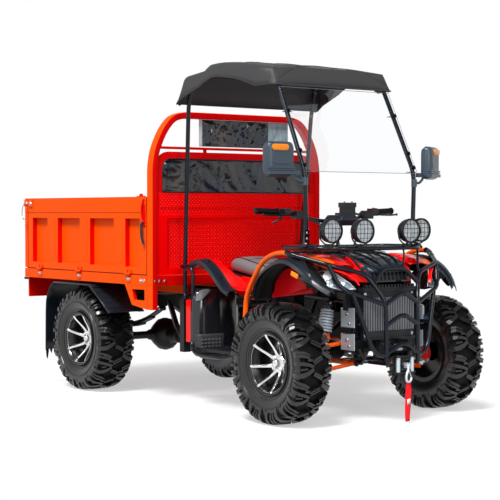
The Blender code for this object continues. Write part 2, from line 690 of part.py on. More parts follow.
def engine_block(chassis):
    low_z = LOWER_TUBE_Z + 0.006 + TOUCH
    crankcase = [(1.19, low_z), (1.56, low_z), (1.60, 0.38), (1.58, 0.46), (1.50, 0.50), (1.44, 0.64),
                 (1.30, 0.62), (1.26, 0.50), (1.19, 0.46)]
    single("engine_block", CASTING, chassis, prism(crankcase, "y", -0.125, 0.125))


def arm(side, pivot_z, ball_z, ball_height, elbow_x):
    """A welded A-arm: a pivot tube along the frame and two legs to one ball joint.

    The front leg bends out at the elbow, round the shock absorber.
    """
    pivot = ARM_PIVOT_SPREAD
    reach = ARM_HALF_SPAN + 0.008
    solids = [tube(mirrored([(WHEELBASE - reach, pivot, pivot_z), (WHEELBASE + reach, pivot, pivot_z)], side),
                   ARM_PIVOT_RADIUS)]
    elbow_y = SHOCK_TOP[1] + 0.062
    part = (elbow_y - pivot) / (KINGPIN_SPREAD - pivot)
    elbow = (elbow_x, elbow_y, pivot_z + (ball_z - pivot_z) * part)
    end_y = KINGPIN_SPREAD - 0.012
    rear = [(WHEELBASE - ARM_HALF_SPAN, pivot, pivot_z), (WHEELBASE - 0.010, end_y, ball_z)]
    front = [(WHEELBASE + ARM_HALF_SPAN, pivot, pivot_z), elbow, (WHEELBASE + 0.010, end_y, ball_z)]
    for leg in (rear, front):
        solids.append(tube(mirrored(leg, side), ARM_TUBE_RADIUS))
    solids.append(turned("z", (WHEELBASE, side * KINGPIN_SPREAD, ball_z),
                         [(-ball_height / 2, 0.019), (ball_height / 2, 0.019)], 10))
    return solids


def suspension(chassis):
    for place, side in SIDES.items():
        lower = arm(side, LOWER_PIVOT_Z, LOWER_BALL_Z, 0.024, WHEELBASE + 0.055)
        foot = Vector(SHOCK_FOOT)
        lower.append(side_box(side, (WHEELBASE - 0.02, foot.y - 0.025, 0.258),
                              (foot.x + 0.022, foot.y + 0.02, 0.270)))
        lower.append(side_box(side, (foot.x - 0.018, foot.y - 0.012, 0.262),
                              (foot.x + 0.018, foot.y + 0.012, foot.z - 0.014 - TOUCH)))
        combine(f"lower_arm_{place}", PAINT_ORANGE, chassis, lower)
        combine(f"upper_arm_{place}", PAINT_ORANGE, chassis,
                arm(side, UPPER_PIVOT_Z, UPPER_BALL_Z, 0.020, SHOCK_FOOT[0] + SPRING_RADIUS + 0.032))
        shock(place, side, chassis)


def shock(place, side, chassis):
    """A coil-over damper: an eye at each end, the damper rod, two spring seats and the coil."""
    top = Vector(mirrored([SHOCK_TOP], side)[0])
    foot = Vector(mirrored([SHOCK_FOOT], side)[0])
    axis = (top - foot).normalized()
    length = (top - foot).length
    solids = [tube([foot, top], 0.011, 8)]
    for end, seat in ((foot, 0.04), (top, length - 0.03)):
        solids.append(turned("x", end, [(-0.014, 0.014), (0.014, 0.014)], 8))
        centre = foot + axis * seat
        solids.append(tube([centre - axis * 0.005, centre + axis * 0.005], SPRING_RADIUS + SPRING_WIRE, 12))
    across = axis.cross(Vector((1, 0, 0))).normalized()
    second = axis.cross(across)
    per_turn = 6
    count = SPRING_TURNS * per_turn
    start, end = 0.040, length - 0.030
    coil = []
    for step in range(count + 1):
        angle = 2 * math.pi * step / per_turn
        along = start + (end - start) * step / count
        turn = across * math.cos(angle) + second * math.sin(angle)
        coil.append(foot + axis * along + turn * SPRING_RADIUS)
    solids.append(sweep(coil, round_section(SPRING_WIRE, 3)))
    combine(f"front_shock_{place}", SPRING_WHITE, chassis, solids)


def half_shafts(chassis):
    """The front final drive with a shaft and its boots to each side."""
    centre = (WHEELBASE, 0, DRIVE_Z)
    wheel_line = (WHEELBASE, 0, TYRE_RADIUS)
    housing = [(-0.045, 0.030), (-0.03, DRIVE_HOUSING_RADIUS), (0.03, DRIVE_HOUSING_RADIUS), (0.045, 0.030)]
    solids = [turned("y", centre, housing, 10)]
    for side in SIDES.values():
        solids.append(turned("y", centre, [(side * 0.04, 0.018), (side * 0.136, 0.018), (side * 0.142, 0.034),
                                           (side * 0.200, 0.028), (side * 0.215, 0.012)], 8))
        solids.append(tube(mirrored([(WHEELBASE, 0.205, DRIVE_Z), (WHEELBASE, 0.370, TYRE_RADIUS)], side),
                           0.010))
        solids.append(turned("y", wheel_line, [(side * 0.345, 0.014), (side * 0.360, 0.026),
                                               (side * (KINGPIN_SPREAD - UPRIGHT_HALF - 3 * RUNNING_GAP),
                                                0.030)],
                             8))
    combine("front_half_shafts", PLASTIC_BLACK, chassis, solids)


def knuckles(chassis):
    made = {}
    for place, side in SIDES.items():
        pivot = (WHEELBASE, side * KINGPIN_SPREAD, TYRE_RADIUS)
        made[place] = empty(f"knuckle_{place}_joint", pivot, chassis)
        face = hub_face(FRONT_TRACK, FRONT_TYRE_WIDTH)
        low = LOWER_BALL_Z + 0.024
        high = UPPER_BALL_Z - 0.019
        pins = turned("z", (WHEELBASE, side * KINGPIN_SPREAD, 0),
                      [(LOWER_BALL_Z + 0.012 + TOUCH, 0.008), (UPPER_BALL_Z - 0.010 - TOUCH, 0.008)], 8)
        upright = side_box(side, (WHEELBASE - 0.022, KINGPIN_SPREAD - UPRIGHT_HALF, low),
                           (WHEELBASE + 0.022, KINGPIN_SPREAD + UPRIGHT_HALF, high))
        spindle = turned("y", (WHEELBASE, 0, TYRE_RADIUS),
                         [(side * (KINGPIN_SPREAD + 0.004), 0.030), (side * (KINGPIN_SPREAD + 0.03), 0.030),
                          (side * (KINGPIN_SPREAD + 0.032), 0.070), (side * (KINGPIN_SPREAD + 0.038), 0.070),
                          (side * (KINGPIN_SPREAD + 0.040), AXLE_STUB_RADIUS),
                          (side * (face - 0.0045), AXLE_STUB_RADIUS)], 12)
        lever = bar(mirrored([(WHEELBASE, KINGPIN_SPREAD - 0.005, 0.345),
                              (WHEELBASE - 0.095, KINGPIN_SPREAD - 0.020, 0.345)], side), 0.018, 0.012)
        combine(f"knuckle_{place}", CASTING, made[place], [upright, pins, spindle, lever])
    return made


def handlebar(chassis):
    pivot = empty("steering_joint", STEM_TOP, chassis)
    solids = [tube([STEM_TOP, STEM_FOOT], STEM_RADIUS, 12)]
    solids.append(tube(mirrored([(GRIP_X, GRIP_HALF_WIDTH, GRIP_Z), (1.655, 0.30, 1.10), (1.705, 0.12, 1.055),
                                 (1.705, -0.12, 1.055), (1.655, -0.30, 1.10),
                                 (GRIP_X, -GRIP_HALF_WIDTH, GRIP_Z)], 1),
                       BAR_RADIUS))
    solids.append(box((1.735, -0.050, 1.065), (1.825, 0.075, 1.160)))
    solids.append(box((1.690, -0.035, 1.030), (1.770, 0.035, 1.078)))
    for side in SIDES.values():
        inner = Vector(mirrored([(1.645, 0.355, 1.103)], side)[0])
        outer = Vector(mirrored([(GRIP_X, GRIP_HALF_WIDTH, GRIP_Z)], side)[0])
        solids.append(tube([inner, outer + (outer - inner).normalized() * 0.004], GRIP_RADIUS))
        solids.append(tube(mirrored([(1.668, 0.300, 1.098), (1.70, 0.330, 1.092), (1.685, 0.450, 1.090)],
                                    side),
                           0.006))
        solids.append(side_box(side, (1.640, 0.262, 1.085), (1.680, 0.330, 1.120)))
    combine("handlebar", TUBE_BLACK, pivot, solids)


def front_rack(chassis):
    """The front carrier with its four round lamps on stalks."""
    solids = []
    for side in SIDES.values():
        solids.append(tube(mirrored([(1.640, 0.200, RACK_Z - 0.005), (1.680, 0.375, RACK_Z),
                                     (1.960, 0.385, RACK_Z),
                                     (2.095, 0.265, RACK_Z - 0.004), (2.105, -0.01, RACK_Z - 0.004)], side),
                           RACK_TUBE_RADIUS))
        solids.append(bar(mirrored([(1.925, 0.355, RACK_Z + 0.008), (1.925, 0.400, RACK_Z + 0.008)], side),
                          0.05, 0.012))
        solids.append(tube(mirrored([(1.655, 0.150, RACK_Z - 0.003), (2.100, 0.150, RACK_Z - 0.003)], side),
                           RACK_TUBE_RADIUS * 0.7))
        solids.append(tube(mirrored([(1.75, 0.150, RACK_Z - 0.004), (1.75, 0.142, 0.7577)], side), 0.008))
        for x, y, z, foot_x in ((2.045, 0.315, 1.006, 2.040), (2.125, 0.165, 1.004, 2.099)):
            solids.append(tube(mirrored([(foot_x, y, RACK_Z - 0.006), (x - 0.01, y, z - 0.045)], side),
                               0.009))
            solids.append(turned("x", (x, side * y, z), LAMP_PROFILE, 12))
    solids.append(tube([(1.85, -0.38, RACK_Z - 0.002), (1.85, 0.38, RACK_Z - 0.002)], RACK_TUBE_RADIUS * 0.7))
    solids.append(tube([(1.641, -0.205, RACK_Z - 0.005), (1.641, 0.205, RACK_Z - 0.005)], RACK_TUBE_RADIUS,
                       8))
    combine("front_rack", TUBE_BLACK, chassis, solids)


def bull_bar(chassis):
    radius = BAR_TUBE_RADIUS
    solids = []
    for side in SIDES.values():
        solids.append(tube(mirrored([BAR_JOINT, BAR_SHOULDER, (2.180, 0.184, 0.779),
                                     (2.252, 0.110, 0.640), (2.256, 0.110, 0.320)], side), radius, 6, 0.05,
                                     2))
        solids.append(tube(mirrored([(2.108, 0.380, 0.832), (2.148, 0.351, 0.735), (2.175, 0.325, 0.700),
                                     (2.252, 0.108, 0.620)], side), radius))
        solids.append(tube(mirrored([(2.193, 0.285, 0.680), (2.240, 0.198, 0.400), (2.252, 0.160, 0.360),
                                     (2.254, 0.108, 0.358)], side), radius))
        solids.append(tube(mirrored([(2.208, 0.152, 0.732), (2.186, 0.078, 0.806), (2.186, -0.01, 0.808)],
                                    side),
                           radius))
        for foot_z, apex_z in ((0.626, 0.676), (0.513, 0.562), (0.362, 0.410)):
            solids.append(tube(mirrored([(2.255, 0.110, foot_z), (2.262, 0.020, apex_z),
                                         (2.262, -0.008, apex_z)], side), radius))
        solids.append(side_box(side, (MOUNT_PLATE_X + TOUCH, 0.196, 0.440),
                               (MOUNT_PLATE_X + 0.014, 0.236, 0.560)))
        solids.append(tube(mirrored([(MOUNT_PLATE_X + 0.008, 0.216, 0.520), (2.212, 0.236, 0.520)], side),
                           radius * 0.8))
        solids.append(tube(mirrored([(2.090, 0.262, RACK_Z - RACK_TUBE_RADIUS - 0.005), (2.120, 0.225, 0.850),
                                     (2.178, 0.190, 0.782)], side), 0.007, 6))
    combine("bull_bar", TUBE_BLACK, chassis, solids)


def guard_tubes(chassis):
    for place, side in SIDES.items():
        joint = Vector(BAR_JOINT)
        heading = (Vector(BAR_SHOULDER) - joint).normalized()
        main = tube(mirrored([joint - heading * TOUCH, joint - heading * 0.030, (1.877, 0.500, 0.892),
                              (1.783, 0.500, 0.879), (1.695, 0.500, 0.835), (1.606, 0.500, 0.724),
                              (1.556, 0.500, 0.640), (1.548, 0.500, 0.520),
                              (1.490, 0.500, 0.380), (1.470, 0.500, 0.296)], side), GUARD_TUBE_RADIUS, 6,
                              0.05, 2)
        branch = tube(mirrored([(1.556, 0.500, 0.642), (1.516, 0.300, 0.641), (1.500, 0.190, 0.650)], side),
                      GUARD_TUBE_RADIUS * 0.85)
        combine(f"guard_tube_{place}", PAINT_ORANGE, chassis, [main, branch])


def winch(chassis):
    solids = [box((MOUNT_PLATE_X + TOUCH, -0.085, 0.335), (2.150, 0.085, 0.430))]
    drum = [(-0.100, 0.034), (-0.060, 0.036), (0.060, 0.036), (0.100, 0.034)]
    solids.append(turned("y", (2.205, 0, 0.385), drum, 12))
    solids.append(box((2.140, -0.080, 0.340), (2.262, 0.080, 0.352)))
    solids.append(box((2.256, -0.070, 0.262), (2.268, 0.070, 0.352)))
    for y in (-0.048, 0.048):
        solids.append(turned("z", (2.277, y, 0.307), [(-0.036, 0.011), (0.036, 0.011)], 8))
    for z in (0.276, 0.338):
        solids.append(turned("y", (2.277, 0, z), [(-0.050, 0.008), (0.050, 0.008)], 8))
    solids.append(tube([(2.284, 0, 0.308), (2.300, 0, 0.300), (2.305, 0, 0.270), (2.308, -0.018, 0.236),
                        (2.306, 0.002, 0.216), (2.304, 0.020, 0.226)], 0.007, 6, 0.02))
    solids.append(tube([(2.262, 0, 0.308), (2.290, 0, 0.306)], 0.010, 6))
    combine("winch", STEEL, chassis, solids)
    strap = []
    for x, middle, z in ((2.306, 0.0, 0.2136 - TOUCH), (2.304, -0.001, 0.12), (2.302, 0.0, 0.05),
                         (2.306, 0.001, 0.012)):
        strap.append([(x, middle - STRAP_WIDTH / 2, z), (x, middle + STRAP_WIDTH / 2, z)])
    single("winch_strap", WEBBING, chassis, shell(strap, 0.003))


def radiator(chassis):
    front = 2.160
    rear = MOUNT_PLATE_X + TOUCH
    solids = [box((rear, -0.188, 0.432), (rear + 0.016, 0.188, 0.700))]
    solids.append(box((rear, -0.188, 0.690), (front, 0.188, 0.700)))
    solids.append(box((rear, -0.188, 0.432), (front, 0.188, 0.442)))
    count = 14
    for number in range(count + 1):
        y = -0.184 + 0.368 * number / count
        solids.append(box((rear + 0.01, y - 0.004, 0.436), (front - 0.004, y + 0.004, 0.696)))
    combine("radiator_grille", PLASTIC_BLACK, chassis, solids)


def front_fenders(chassis):
    """The moulded front bodywork: a nose with a fender over each wheel, and the darker flares."""
    for place, side in SIDES.items():
        rows = []
        for (x, z), width, outer in zip(FLARE_EDGE, FLARE_WIDTH, FLARE_OUTER):
            row = [(x, side * (outer - width), z + 0.004), (x, side * (outer - width * 0.4), z + 0.006),
                   (x, side * (outer - 0.004), z - 0.002), (x, side * outer, z - 0.024)]
            rows.append(row)
        flare = shell(rows if side > 0 else [row[::-1] for row in rows], 0.004)
        single(f"front_flare_{place}", PLASTIC_BLACK, chassis, flare)
    solids = []
    stations = ((1.800, 0.190, BODY_FOOT_Z, 0.885), (1.900, 0.215, BODY_FOOT_Z, 0.885),
                (2.020, 0.225, 0.770, 0.870),
                (2.100, 0.205, 0.745, 0.835), (2.150, 0.140, 0.735, 0.800))
    sections = []
    for x, half, low, high in stations:
        sections.append([(x, -half, low), (x, half, low), (x, half, high - 0.05),
                         (x, half * 0.7, high - 0.01),
                         (x, 0, high), (x, -half * 0.7, high - 0.01), (x, -half, high - 0.05)])
    solids.append(loft(sections))
    for side in SIDES.values():
        rows = []
        for (x, z), width, outer in zip(FLARE_EDGE[1:5], FLARE_WIDTH[1:5], FLARE_OUTER[1:5]):
            edge = outer - width - PANEL_SEAM
            rows.append([(x, side * 0.170, z + 0.010), (x, side * (edge - 0.08), z + 0.014),
                         (x, side * edge, z + 0.004)])
        solids.append(shell(rows if side > 0 else [row[::-1] for row in rows], 0.006))
    combine("front_body", PAINT_RED, chassis, solids)
    for place, side in SIDES.items():
        sections = []
        for x, near, far, low, high in HEADLIGHT_STATIONS:
            sections.append(mirrored([(x, near, low), (x, far, low), (x, far, high), (x, near, high)], side))
        single(f"headlight_{place}", LENS, chassis, loft(sections))


def tank_and_seat(chassis):
    stations = ((1.290, 0.110, 0.690, 0.745), (1.400, 0.150, 0.690, 0.800), (1.520, 0.165, 0.712, 0.872),
                (1.610, 0.140, 0.745, 0.900))
    sections = []
    for x, half, low, high in stations:
        middle = 0.5 * (low + high)
        sections.append([(x, -half, low), (x, half, low), (x, half, middle), (x, half * 0.7, high - 0.012),
                         (x, 0, high), (x, -half * 0.7, high - 0.012), (x, -half, middle)])
    single("tank_cover", PAINT_RED, chassis, loft(sections))
    stations = ((0.905, 0.130, 0.752, 0.826), (0.950, 0.155, 0.7372, 0.842), (1.080, 0.160, 0.7197, 0.826),
                (1.200, 0.150, 0.7017, 0.800), (1.282, 0.120, 0.6927, 0.770))
    sections = []
    for x, half, low, high in stations:
        sections.append([(x, -half * 0.92, low), (x, half * 0.92, low), (x, half, 0.5 * (low + high)),
                         (x, half * 0.8, high - 0.008), (x, 0, high), (x, -half * 0.8, high - 0.008),
                         (x, -half, 0.5 * (low + high))])
    single("seat", VINYL, chassis, loft(sections))


def rear_fender(chassis):
    """The seat's own fender moulding, from knee to knee under the seat."""
    stations = ((0.960, 0.790, 0.735), (1.060, 0.822, 0.722), (1.160, 0.835, 0.706), (1.235, 0.818, 0.696),
                (1.300, 0.770, 0.688), (1.345, 0.690, 0.684))
    rows = []
    for x, edge, middle in stations:
        rows.append([(x, -0.470, edge - 0.015), (x, -0.440, edge), (x, -0.320, edge - 0.012),
                     (x, -0.180, middle),
                     (x, 0.180, middle), (x, 0.320, edge - 0.012), (x, 0.440, edge),
                     (x, 0.470, edge - 0.015)])
    single("rear_fender", PAINT_RED, chassis, shell(rows, 0.005))


def leg_guards(chassis):
    """The moulded guard behind each leg with the foot deck and the bent tube round it."""
    for place, side in SIDES.items():
        rows = []
        for z, x in ((0.670, 1.075), (0.600, 1.068), (0.420, 1.062), (0.405, 1.075), (0.330, 1.085)):
            rows.append([(x - 0.015, side * 0.500, z), (x, side * 0.430, z), (x + 0.006, side * 0.300, z),
                         (x, side * 0.200, z)])
        guard = shell(rows if side < 0 else [row[::-1] for row in rows], 0.006)
        deck = side_box(side, (1.060, 0.185 + TOUCH, DECK_FOOT_Z), (1.440, 0.490, DECK_FOOT_Z + 0.016))
        hoop = tube(mirrored([(CAB_FRAME_X + 0.030, 0.470, 0.790), (1.010, 0.500, 0.795),
                              (1.052, 0.505, 0.740),
                              (1.058, 0.505, 0.400), (1.062, 0.520, 0.325), (1.160, 0.545, 0.300),
                              (1.380, 0.545, 0.300), (1.440, 0.500, 0.320), (1.440, 0.440, 0.326)], side),
                              0.0105)
        combine(f"leg_guard_{place}", PLASTIC_BLACK, chassis, [guard, deck, hoop])


def roof(chassis):
    """A crowned moulding with a raised middle, side skirts and a deeper rear skirt."""
    stations = ((0.912, 0.526, 0.500, 1.722, 1.722), (0.968, 0.520, 0.490, 1.752, 1.878),
                (1.135, 0.510, 0.480, 1.812, 1.901), (1.170, 0.508, 0.465, 1.830, 1.932),
                (1.290, 0.500, 0.455, 1.854, 1.936), (1.420, 0.480, 0.445, 1.836, 1.922),
                (1.560, 0.450, 0.420, 1.785, 1.900), (1.655, 0.430, 0.400, 1.790, 1.882),
                (1.703, 0.415, 0.395, 1.788, 1.792))
    rows = []
    for index, (x, foot, shoulder, low, high) in enumerate(stations):
        crown = 0.0 if index in (0, len(stations) - 1) else 0.012
        rows.append([(x, -foot, low), (x, -shoulder, high), (x, -shoulder * 0.5, high + crown),
                     (x, 0, high + crown),
                     (x, shoulder * 0.5, high + crown), (x, shoulder, high), (x, foot, low)])
    single("roof", PLASTIC_BLACK, chassis, shell(rows, ROOF_THICKNESS))


def cab_posts(chassis):
    for place, side in SIDES.items():
        rear = tube(mirrored([(CAB_FRAME_X, SLEEVE_SPREAD, SLEEVE_TOP_Z + TOUCH),
                              (CAB_FRAME_X, SLEEVE_SPREAD, 0.750),
                              (0.938, 0.455, 1.720), (0.985, 0.455, 1.8721)], side), ROOF_POST_RADIUS,
                              POST_SIDES)
        single(f"rear_post_{place}", TUBE_BLACK, chassis, rear)
        foot_z = RACK_Z + 0.014 + 3 * TOUCH
        front = tube(mirrored([(1.925, 0.377, foot_z), FRONT_POST_BEND, FRONT_POST_TOP,
                               (1.6390, 0.366, 1.8741)],
                              side), ROOF_POST_RADIUS, POST_SIDES)
        single(f"front_post_{place}", TUBE_BLACK, chassis, front)


def windscreen(chassis):
    """A flat sheet clamped against the front of the two front posts."""
    x, _, z = FRONT_POST_BEND
    top_x, _, top_z = FRONT_POST_TOP
    slope = Vector((top_x - x, 0, top_z - z)).normalized()
    lift = Vector((slope.z, 0, -slope.x)) * (ROOF_POST_RADIUS * math.cos(math.pi / POST_SIDES) + TOUCH)
    rows = []
    for end_z, half in SCREEN_ENDS:
        end_x = x + (top_x - x) * (end_z - z) / (top_z - z)
        rows.append([Vector((end_x, y, end_z)) + lift for y in (-half, 0.0, half)])
    single("windscreen", CLEAR, chassis, shell(rows, 0.003))


def mirrors(chassis):
    for place, side in SIDES.items():
        swing = Matrix.Translation((MIRROR_CENTRE[0], side * MIRROR_CENTRE[1], 0)) \
            @ Matrix.Rotation(math.radians(MIRROR_SWING[place]), 4, "Z")
        sections = []
        for depth, half, low, high in MIRROR_STATIONS:
            corners = [(-half, low), (half, low), (half, high), (-half, high)]
            sections.append([swing @ Vector((depth, y, z)) for y, z in corners])
        head = loft(sections)
        stay = tube(mirrored([(1.925, 0.4005, 1.265), (1.925, 0.430, 1.265), (1.912, 0.485, 1.320)], side),
                    0.007)
        combine(f"mirror_{place}", PLASTIC_BLACK, chassis, [head, stay])


def bed_frame(bed):
    """Floor, rim rails, longerons, tip hinge lugs, tail board and front corner gussets."""
    half = BED_HALF_WIDTH
    inner = half - PANEL_THICKNESS
    rail_end = BED_FRONT_X - POST_DEPTH - TOUCH
    solids = [box((BED_REAR_X + 0.004, -half + 0.004, BED_FLOOR_Z - BED_FLOOR_THICKNESS),
                  (rail_end - 0.004, half - 0.004, BED_FLOOR_Z))]
    cuts = []
    for side in SIDES.values():
        solids.append(side_box(side, (BED_REAR_X, inner, BED_RAIL_FOOT_Z), (rail_end, half, BED_RAIL_TOP_Z)))
        near, far = RAIL_SPREAD - 0.030, RAIL_SPREAD + 0.030
        solids.append(side_box(side, (TIP_HINGE_X + 0.06, near + 0.008, LONGERON_FOOT_Z),
                               (0.700, far - 0.008, BED_FLOOR_Z - 0.01)))
        solids.append(side_box(side, (TIP_HINGE_X - 0.03, near, 0.655),
                               (TIP_HINGE_X + 0.08, far, BED_FLOOR_Z - 0.01)))
        for start in (RAIL_SPREAD - 0.024, RAIL_SPREAD + 0.016):
            lug = [(TIP_HINGE_X + 0.020 * math.cos(angle), TIP_HINGE_Z + 0.020 * math.sin(angle))
                   for angle in (math.radians(180 + 45 * step) for step in range(5))]
            lug += [(TIP_HINGE_X + 0.020, 0.66), (TIP_HINGE_X - 0.020, 0.66)]
            solids.append(side_prism(side, lug, start, start + 0.008))
        cuts.append(turned("y", (TIP_HINGE_X, 0, TIP_HINGE_Z),
                           [(side * 0.25, TIP_BORE_RADIUS), (side * 0.35, TIP_BORE_RADIUS)], 12))
        gusset = [(0.505, BED_RAIL_FOOT_Z + 0.01), (0.591, 0.558), (rail_end, POST_FOOT_Z),
                  (rail_end, BED_RAIL_FOOT_Z + 0.01)]
        solids.append(side_prism(side, gusset, half - 0.022, half - 0.0004))
        window = [(0.591, 0.650), (0.729, 0.653), (0.729, 0.586), (0.615, 0.588)]
        cuts.append(side_prism(side, window, half - 0.05, half + 0.02))
        for x in HINGE_PLACES:
            solids.append(side_box(side, (x - 0.018, half - 0.004, 0.690), (x + 0.018, half + 0.004, 0.733)))
            solids.append(turned("x", (x, side * (half + SIDE_HINGE_OFFSET), HINGE_Z),
                                 [(-0.010, SIDE_HINGE_RADIUS), (0.010, SIDE_HINGE_RADIUS)], 6))
            solids.append(side_box(side, (x - 0.010, half - 0.002, 0.722),
                                   (x + 0.010, half + 0.008, HINGE_Z - 0.001)))
    solids.append(box((BED_REAR_X, -half, BED_RAIL_FOOT_Z), (BED_REAR_X + PANEL_THICKNESS, half,
                                                             BED_RAIL_TOP_Z)))
    solids.append(box((BED_REAR_X + 0.002, -0.600, POST_FOOT_Z + 0.01),
                      (BED_REAR_X + 0.014, 0.600, BED_RAIL_FOOT_Z + 0.01)))
    for y in TAIL_HINGE_PLACES:
        solids.append(box((BED_REAR_X - 0.004, y - 0.018, 0.690), (BED_REAR_X + 0.004, y + 0.018, 0.733)))
        solids.append(turned("y", (BED_REAR_X - SIDE_HINGE_OFFSET, y, HINGE_Z),
                             [(-0.010, SIDE_HINGE_RADIUS), (0.010, SIDE_HINGE_RADIUS)], 6))
        solids.append(box((BED_REAR_X - 0.008, y - 0.010, 0.722),
                          (BED_REAR_X + 0.002, y + 0.010, HINGE_Z - 0.001)))
    for x in (-0.35, 0.05, 0.45):
        solids.append(box((x - 0.02, -0.60, 0.684), (x + 0.02, 0.60, BED_FLOOR_Z - 0.01)))
    combine("bed_frame", PAINT_ORANGE, bed, solids, cuts)


def drop_sides(bed):
    """A pressed panel each side: a frame, a recessed skin and three ribs."""
    for place, side in SIDES.items():
        pivot = (0.0, side * (BED_HALF_WIDTH + SIDE_HINGE_OFFSET), HINGE_Z)
        hinge = empty(f"drop_side_{place}_joint", pivot, bed)
        outer, inner = BED_HALF_WIDTH, BED_HALF_WIDTH - PANEL_THICKNESS
        foot = BED_RAIL_TOP_Z + PANEL_GAP
        panel = side_box(side, (SIDE_REAR_X, inner, foot), (SIDE_FRONT_X, outer, PANEL_TOP_Z))
        cuts = []
        edges = [-0.628] + [edge for rib in RIB_PLACES for edge in rib] + [0.678]
        for start, end in zip(edges[::2], edges[1::2]):
            cuts.append(recess(side, start, end, 0.780, 1.066))
        leaves = []
        for x in HINGE_PLACES:
            for step in (-1, 1):
                centre = x + step * (0.020 + TOUCH)
                leaves.append(turned("x", (centre, side * (BED_HALF_WIDTH + SIDE_HINGE_OFFSET), HINGE_Z),
                                     [(-0.010, SIDE_HINGE_RADIUS), (0.010, SIDE_HINGE_RADIUS)], 6))
                leaves.append(side_box(side, (centre - 0.009, outer - 0.002, HINGE_Z + 0.001),
                                       (centre + 0.009, outer + 0.008, HINGE_Z + 0.026)))
        combine(f"drop_side_{place}", PAINT_ORANGE, hinge, [panel, *leaves], cuts)


def recess(side, start, end, low, high):
    """A tapered pocket pressed into the outer face of a panel."""
    slope = 0.016
    outer = BED_HALF_WIDTH
    deep = outer - PANEL_RECESS
    rings = []
    for y, inset in ((outer + 0.01, -slope * 0.3), (deep, slope)):
        rings.append([(start + inset, side * y, low + inset), (end - inset, side * y, low + inset),
                      (end - inset, side * y, high - inset), (start + inset, side * y, high - inset)])
    return loft(rings)


def tailgate(bed):
    pivot = (BED_REAR_X - SIDE_HINGE_OFFSET, 0.0, HINGE_Z)
    hinge = empty("tailgate_joint", pivot, bed)
    foot = BED_RAIL_TOP_Z + PANEL_GAP
    half = BED_HALF_WIDTH
    panel = box((BED_REAR_X, -half, foot), (BED_REAR_X + PANEL_THICKNESS, half, PANEL_TOP_Z))
    cuts = []
    slope = 0.016
    for start, end in ((-0.52, -0.20), (-0.13, 0.13), (0.20, 0.52)):
        rings = []
        for x, inset in ((BED_REAR_X - 0.01, -slope * 0.3), (BED_REAR_X + PANEL_RECESS, slope)):
            rings.append([(x, start + inset, 0.780 + inset), (x, end - inset, 0.780 + inset),
                          (x, end - inset, 1.066 - inset), (x, start + inset, 1.066 - inset)])
        cuts.append(loft(rings))
    leaves = []
    for y in TAIL_HINGE_PLACES:
        for step in (-1, 1):
            centre = y + step * (0.020 + TOUCH)
            leaves.append(turned("y", (BED_REAR_X - SIDE_HINGE_OFFSET, centre, HINGE_Z),
                                 [(-0.010, SIDE_HINGE_RADIUS), (0.010, SIDE_HINGE_RADIUS)], 6))
            leaves.append(box((BED_REAR_X - 0.008, centre - 0.009, HINGE_Z + 0.001),
                              (BED_REAR_X + 0.002, centre + 0.009, HINGE_Z + 0.026)))
    combine("tailgate", PAINT_ORANGE, hinge, [panel, *leaves], cuts)


def hoop_outline():
    """The hoop's outer line from the right foot over the top to the left foot."""
    right = [(-BED_HALF_WIDTH, POST_FOOT_Z), (-BED_HALF_WIDTH, 1.360), (-0.598, 1.470), (-0.536, 1.585),
             (-0.462, 1.664), (-0.385, HOOP_TOP_Z)]
    return right + [(-y, z) for y, z in reversed(right)]


def headboard(bed):
    rear = BED_FRONT_X - POST_DEPTH
    outer = hoop_outline()
    width = POST_WIDTH
    inner = [(-BED_HALF_WIDTH + width, POST_FOOT_Z), (-BED_HALF_WIDTH + width, 1.352), (-0.562, 1.452),
             (-0.506, 1.556), (-0.440, 1.629), (-0.376, HOOP_TOP_Z - width)]
    inner = inner + [(-y, z) for y, z in reversed(inner)]
    hoop = prism(outer + inner[::-1], "x", rear, BED_FRONT_X)
    reach = BED_HALF_WIDTH - width
    radius = 0.090
    top = 1.455
    corner = [(reach - radius + radius * math.sin(angle) + 0.004, top - radius + radius * math.cos(angle))
              for angle in (math.radians(30 * step) for step in range(4))]
    plate_outline = [(-y, z) for y, z in corner[::-1]] + corner
    plate_outline = [(-reach - 0.004, BED_RAIL_FOOT_Z)] + plate_outline + [(reach + 0.004, BED_RAIL_FOOT_Z)]
    plate = prism(plate_outline, "x", 0.783, 0.801)
    window = prism([(-0.547, 1.218), (0.547, 1.218), (0.547, 1.345), (0.515, 1.395), (0.470, 1.414),
                    (-0.470, 1.414), (-0.515, 1.395), (-0.547, 1.345)], "x", 0.75, 0.83)
    sill = box((0.775, -reach - 0.004, BED_RAIL_FOOT_Z), (BED_FRONT_X - 0.002, reach + 0.004, 0.735))
    bar_flat = box((0.783, -0.570, 1.470), (0.803, 0.570, 1.486))
    combine("headboard", PAINT_RED, bed, [hoop, plate, sill, bar_flat], [window])
    lower = prism([(-0.547 + TOUCH, 1.218 + TOUCH), (0.547 - TOUCH, 1.218 + TOUCH), (0.547 - TOUCH, 1.345),
                   (0.5145, 1.3943), (0.4695, 1.4137), (-0.4695, 1.4137), (-0.5145, 1.3943),
                   (-0.547 + TOUCH, 1.345)], "x", 0.790, 0.794)
    single("window_lower", FILM, bed, lower)
    upper = box((0.790, -0.300, 1.486 + TOUCH), (0.794, 0.300, HOOP_TOP_Z - width - TOUCH))
    single("window_upper", FILM, bed, upper)


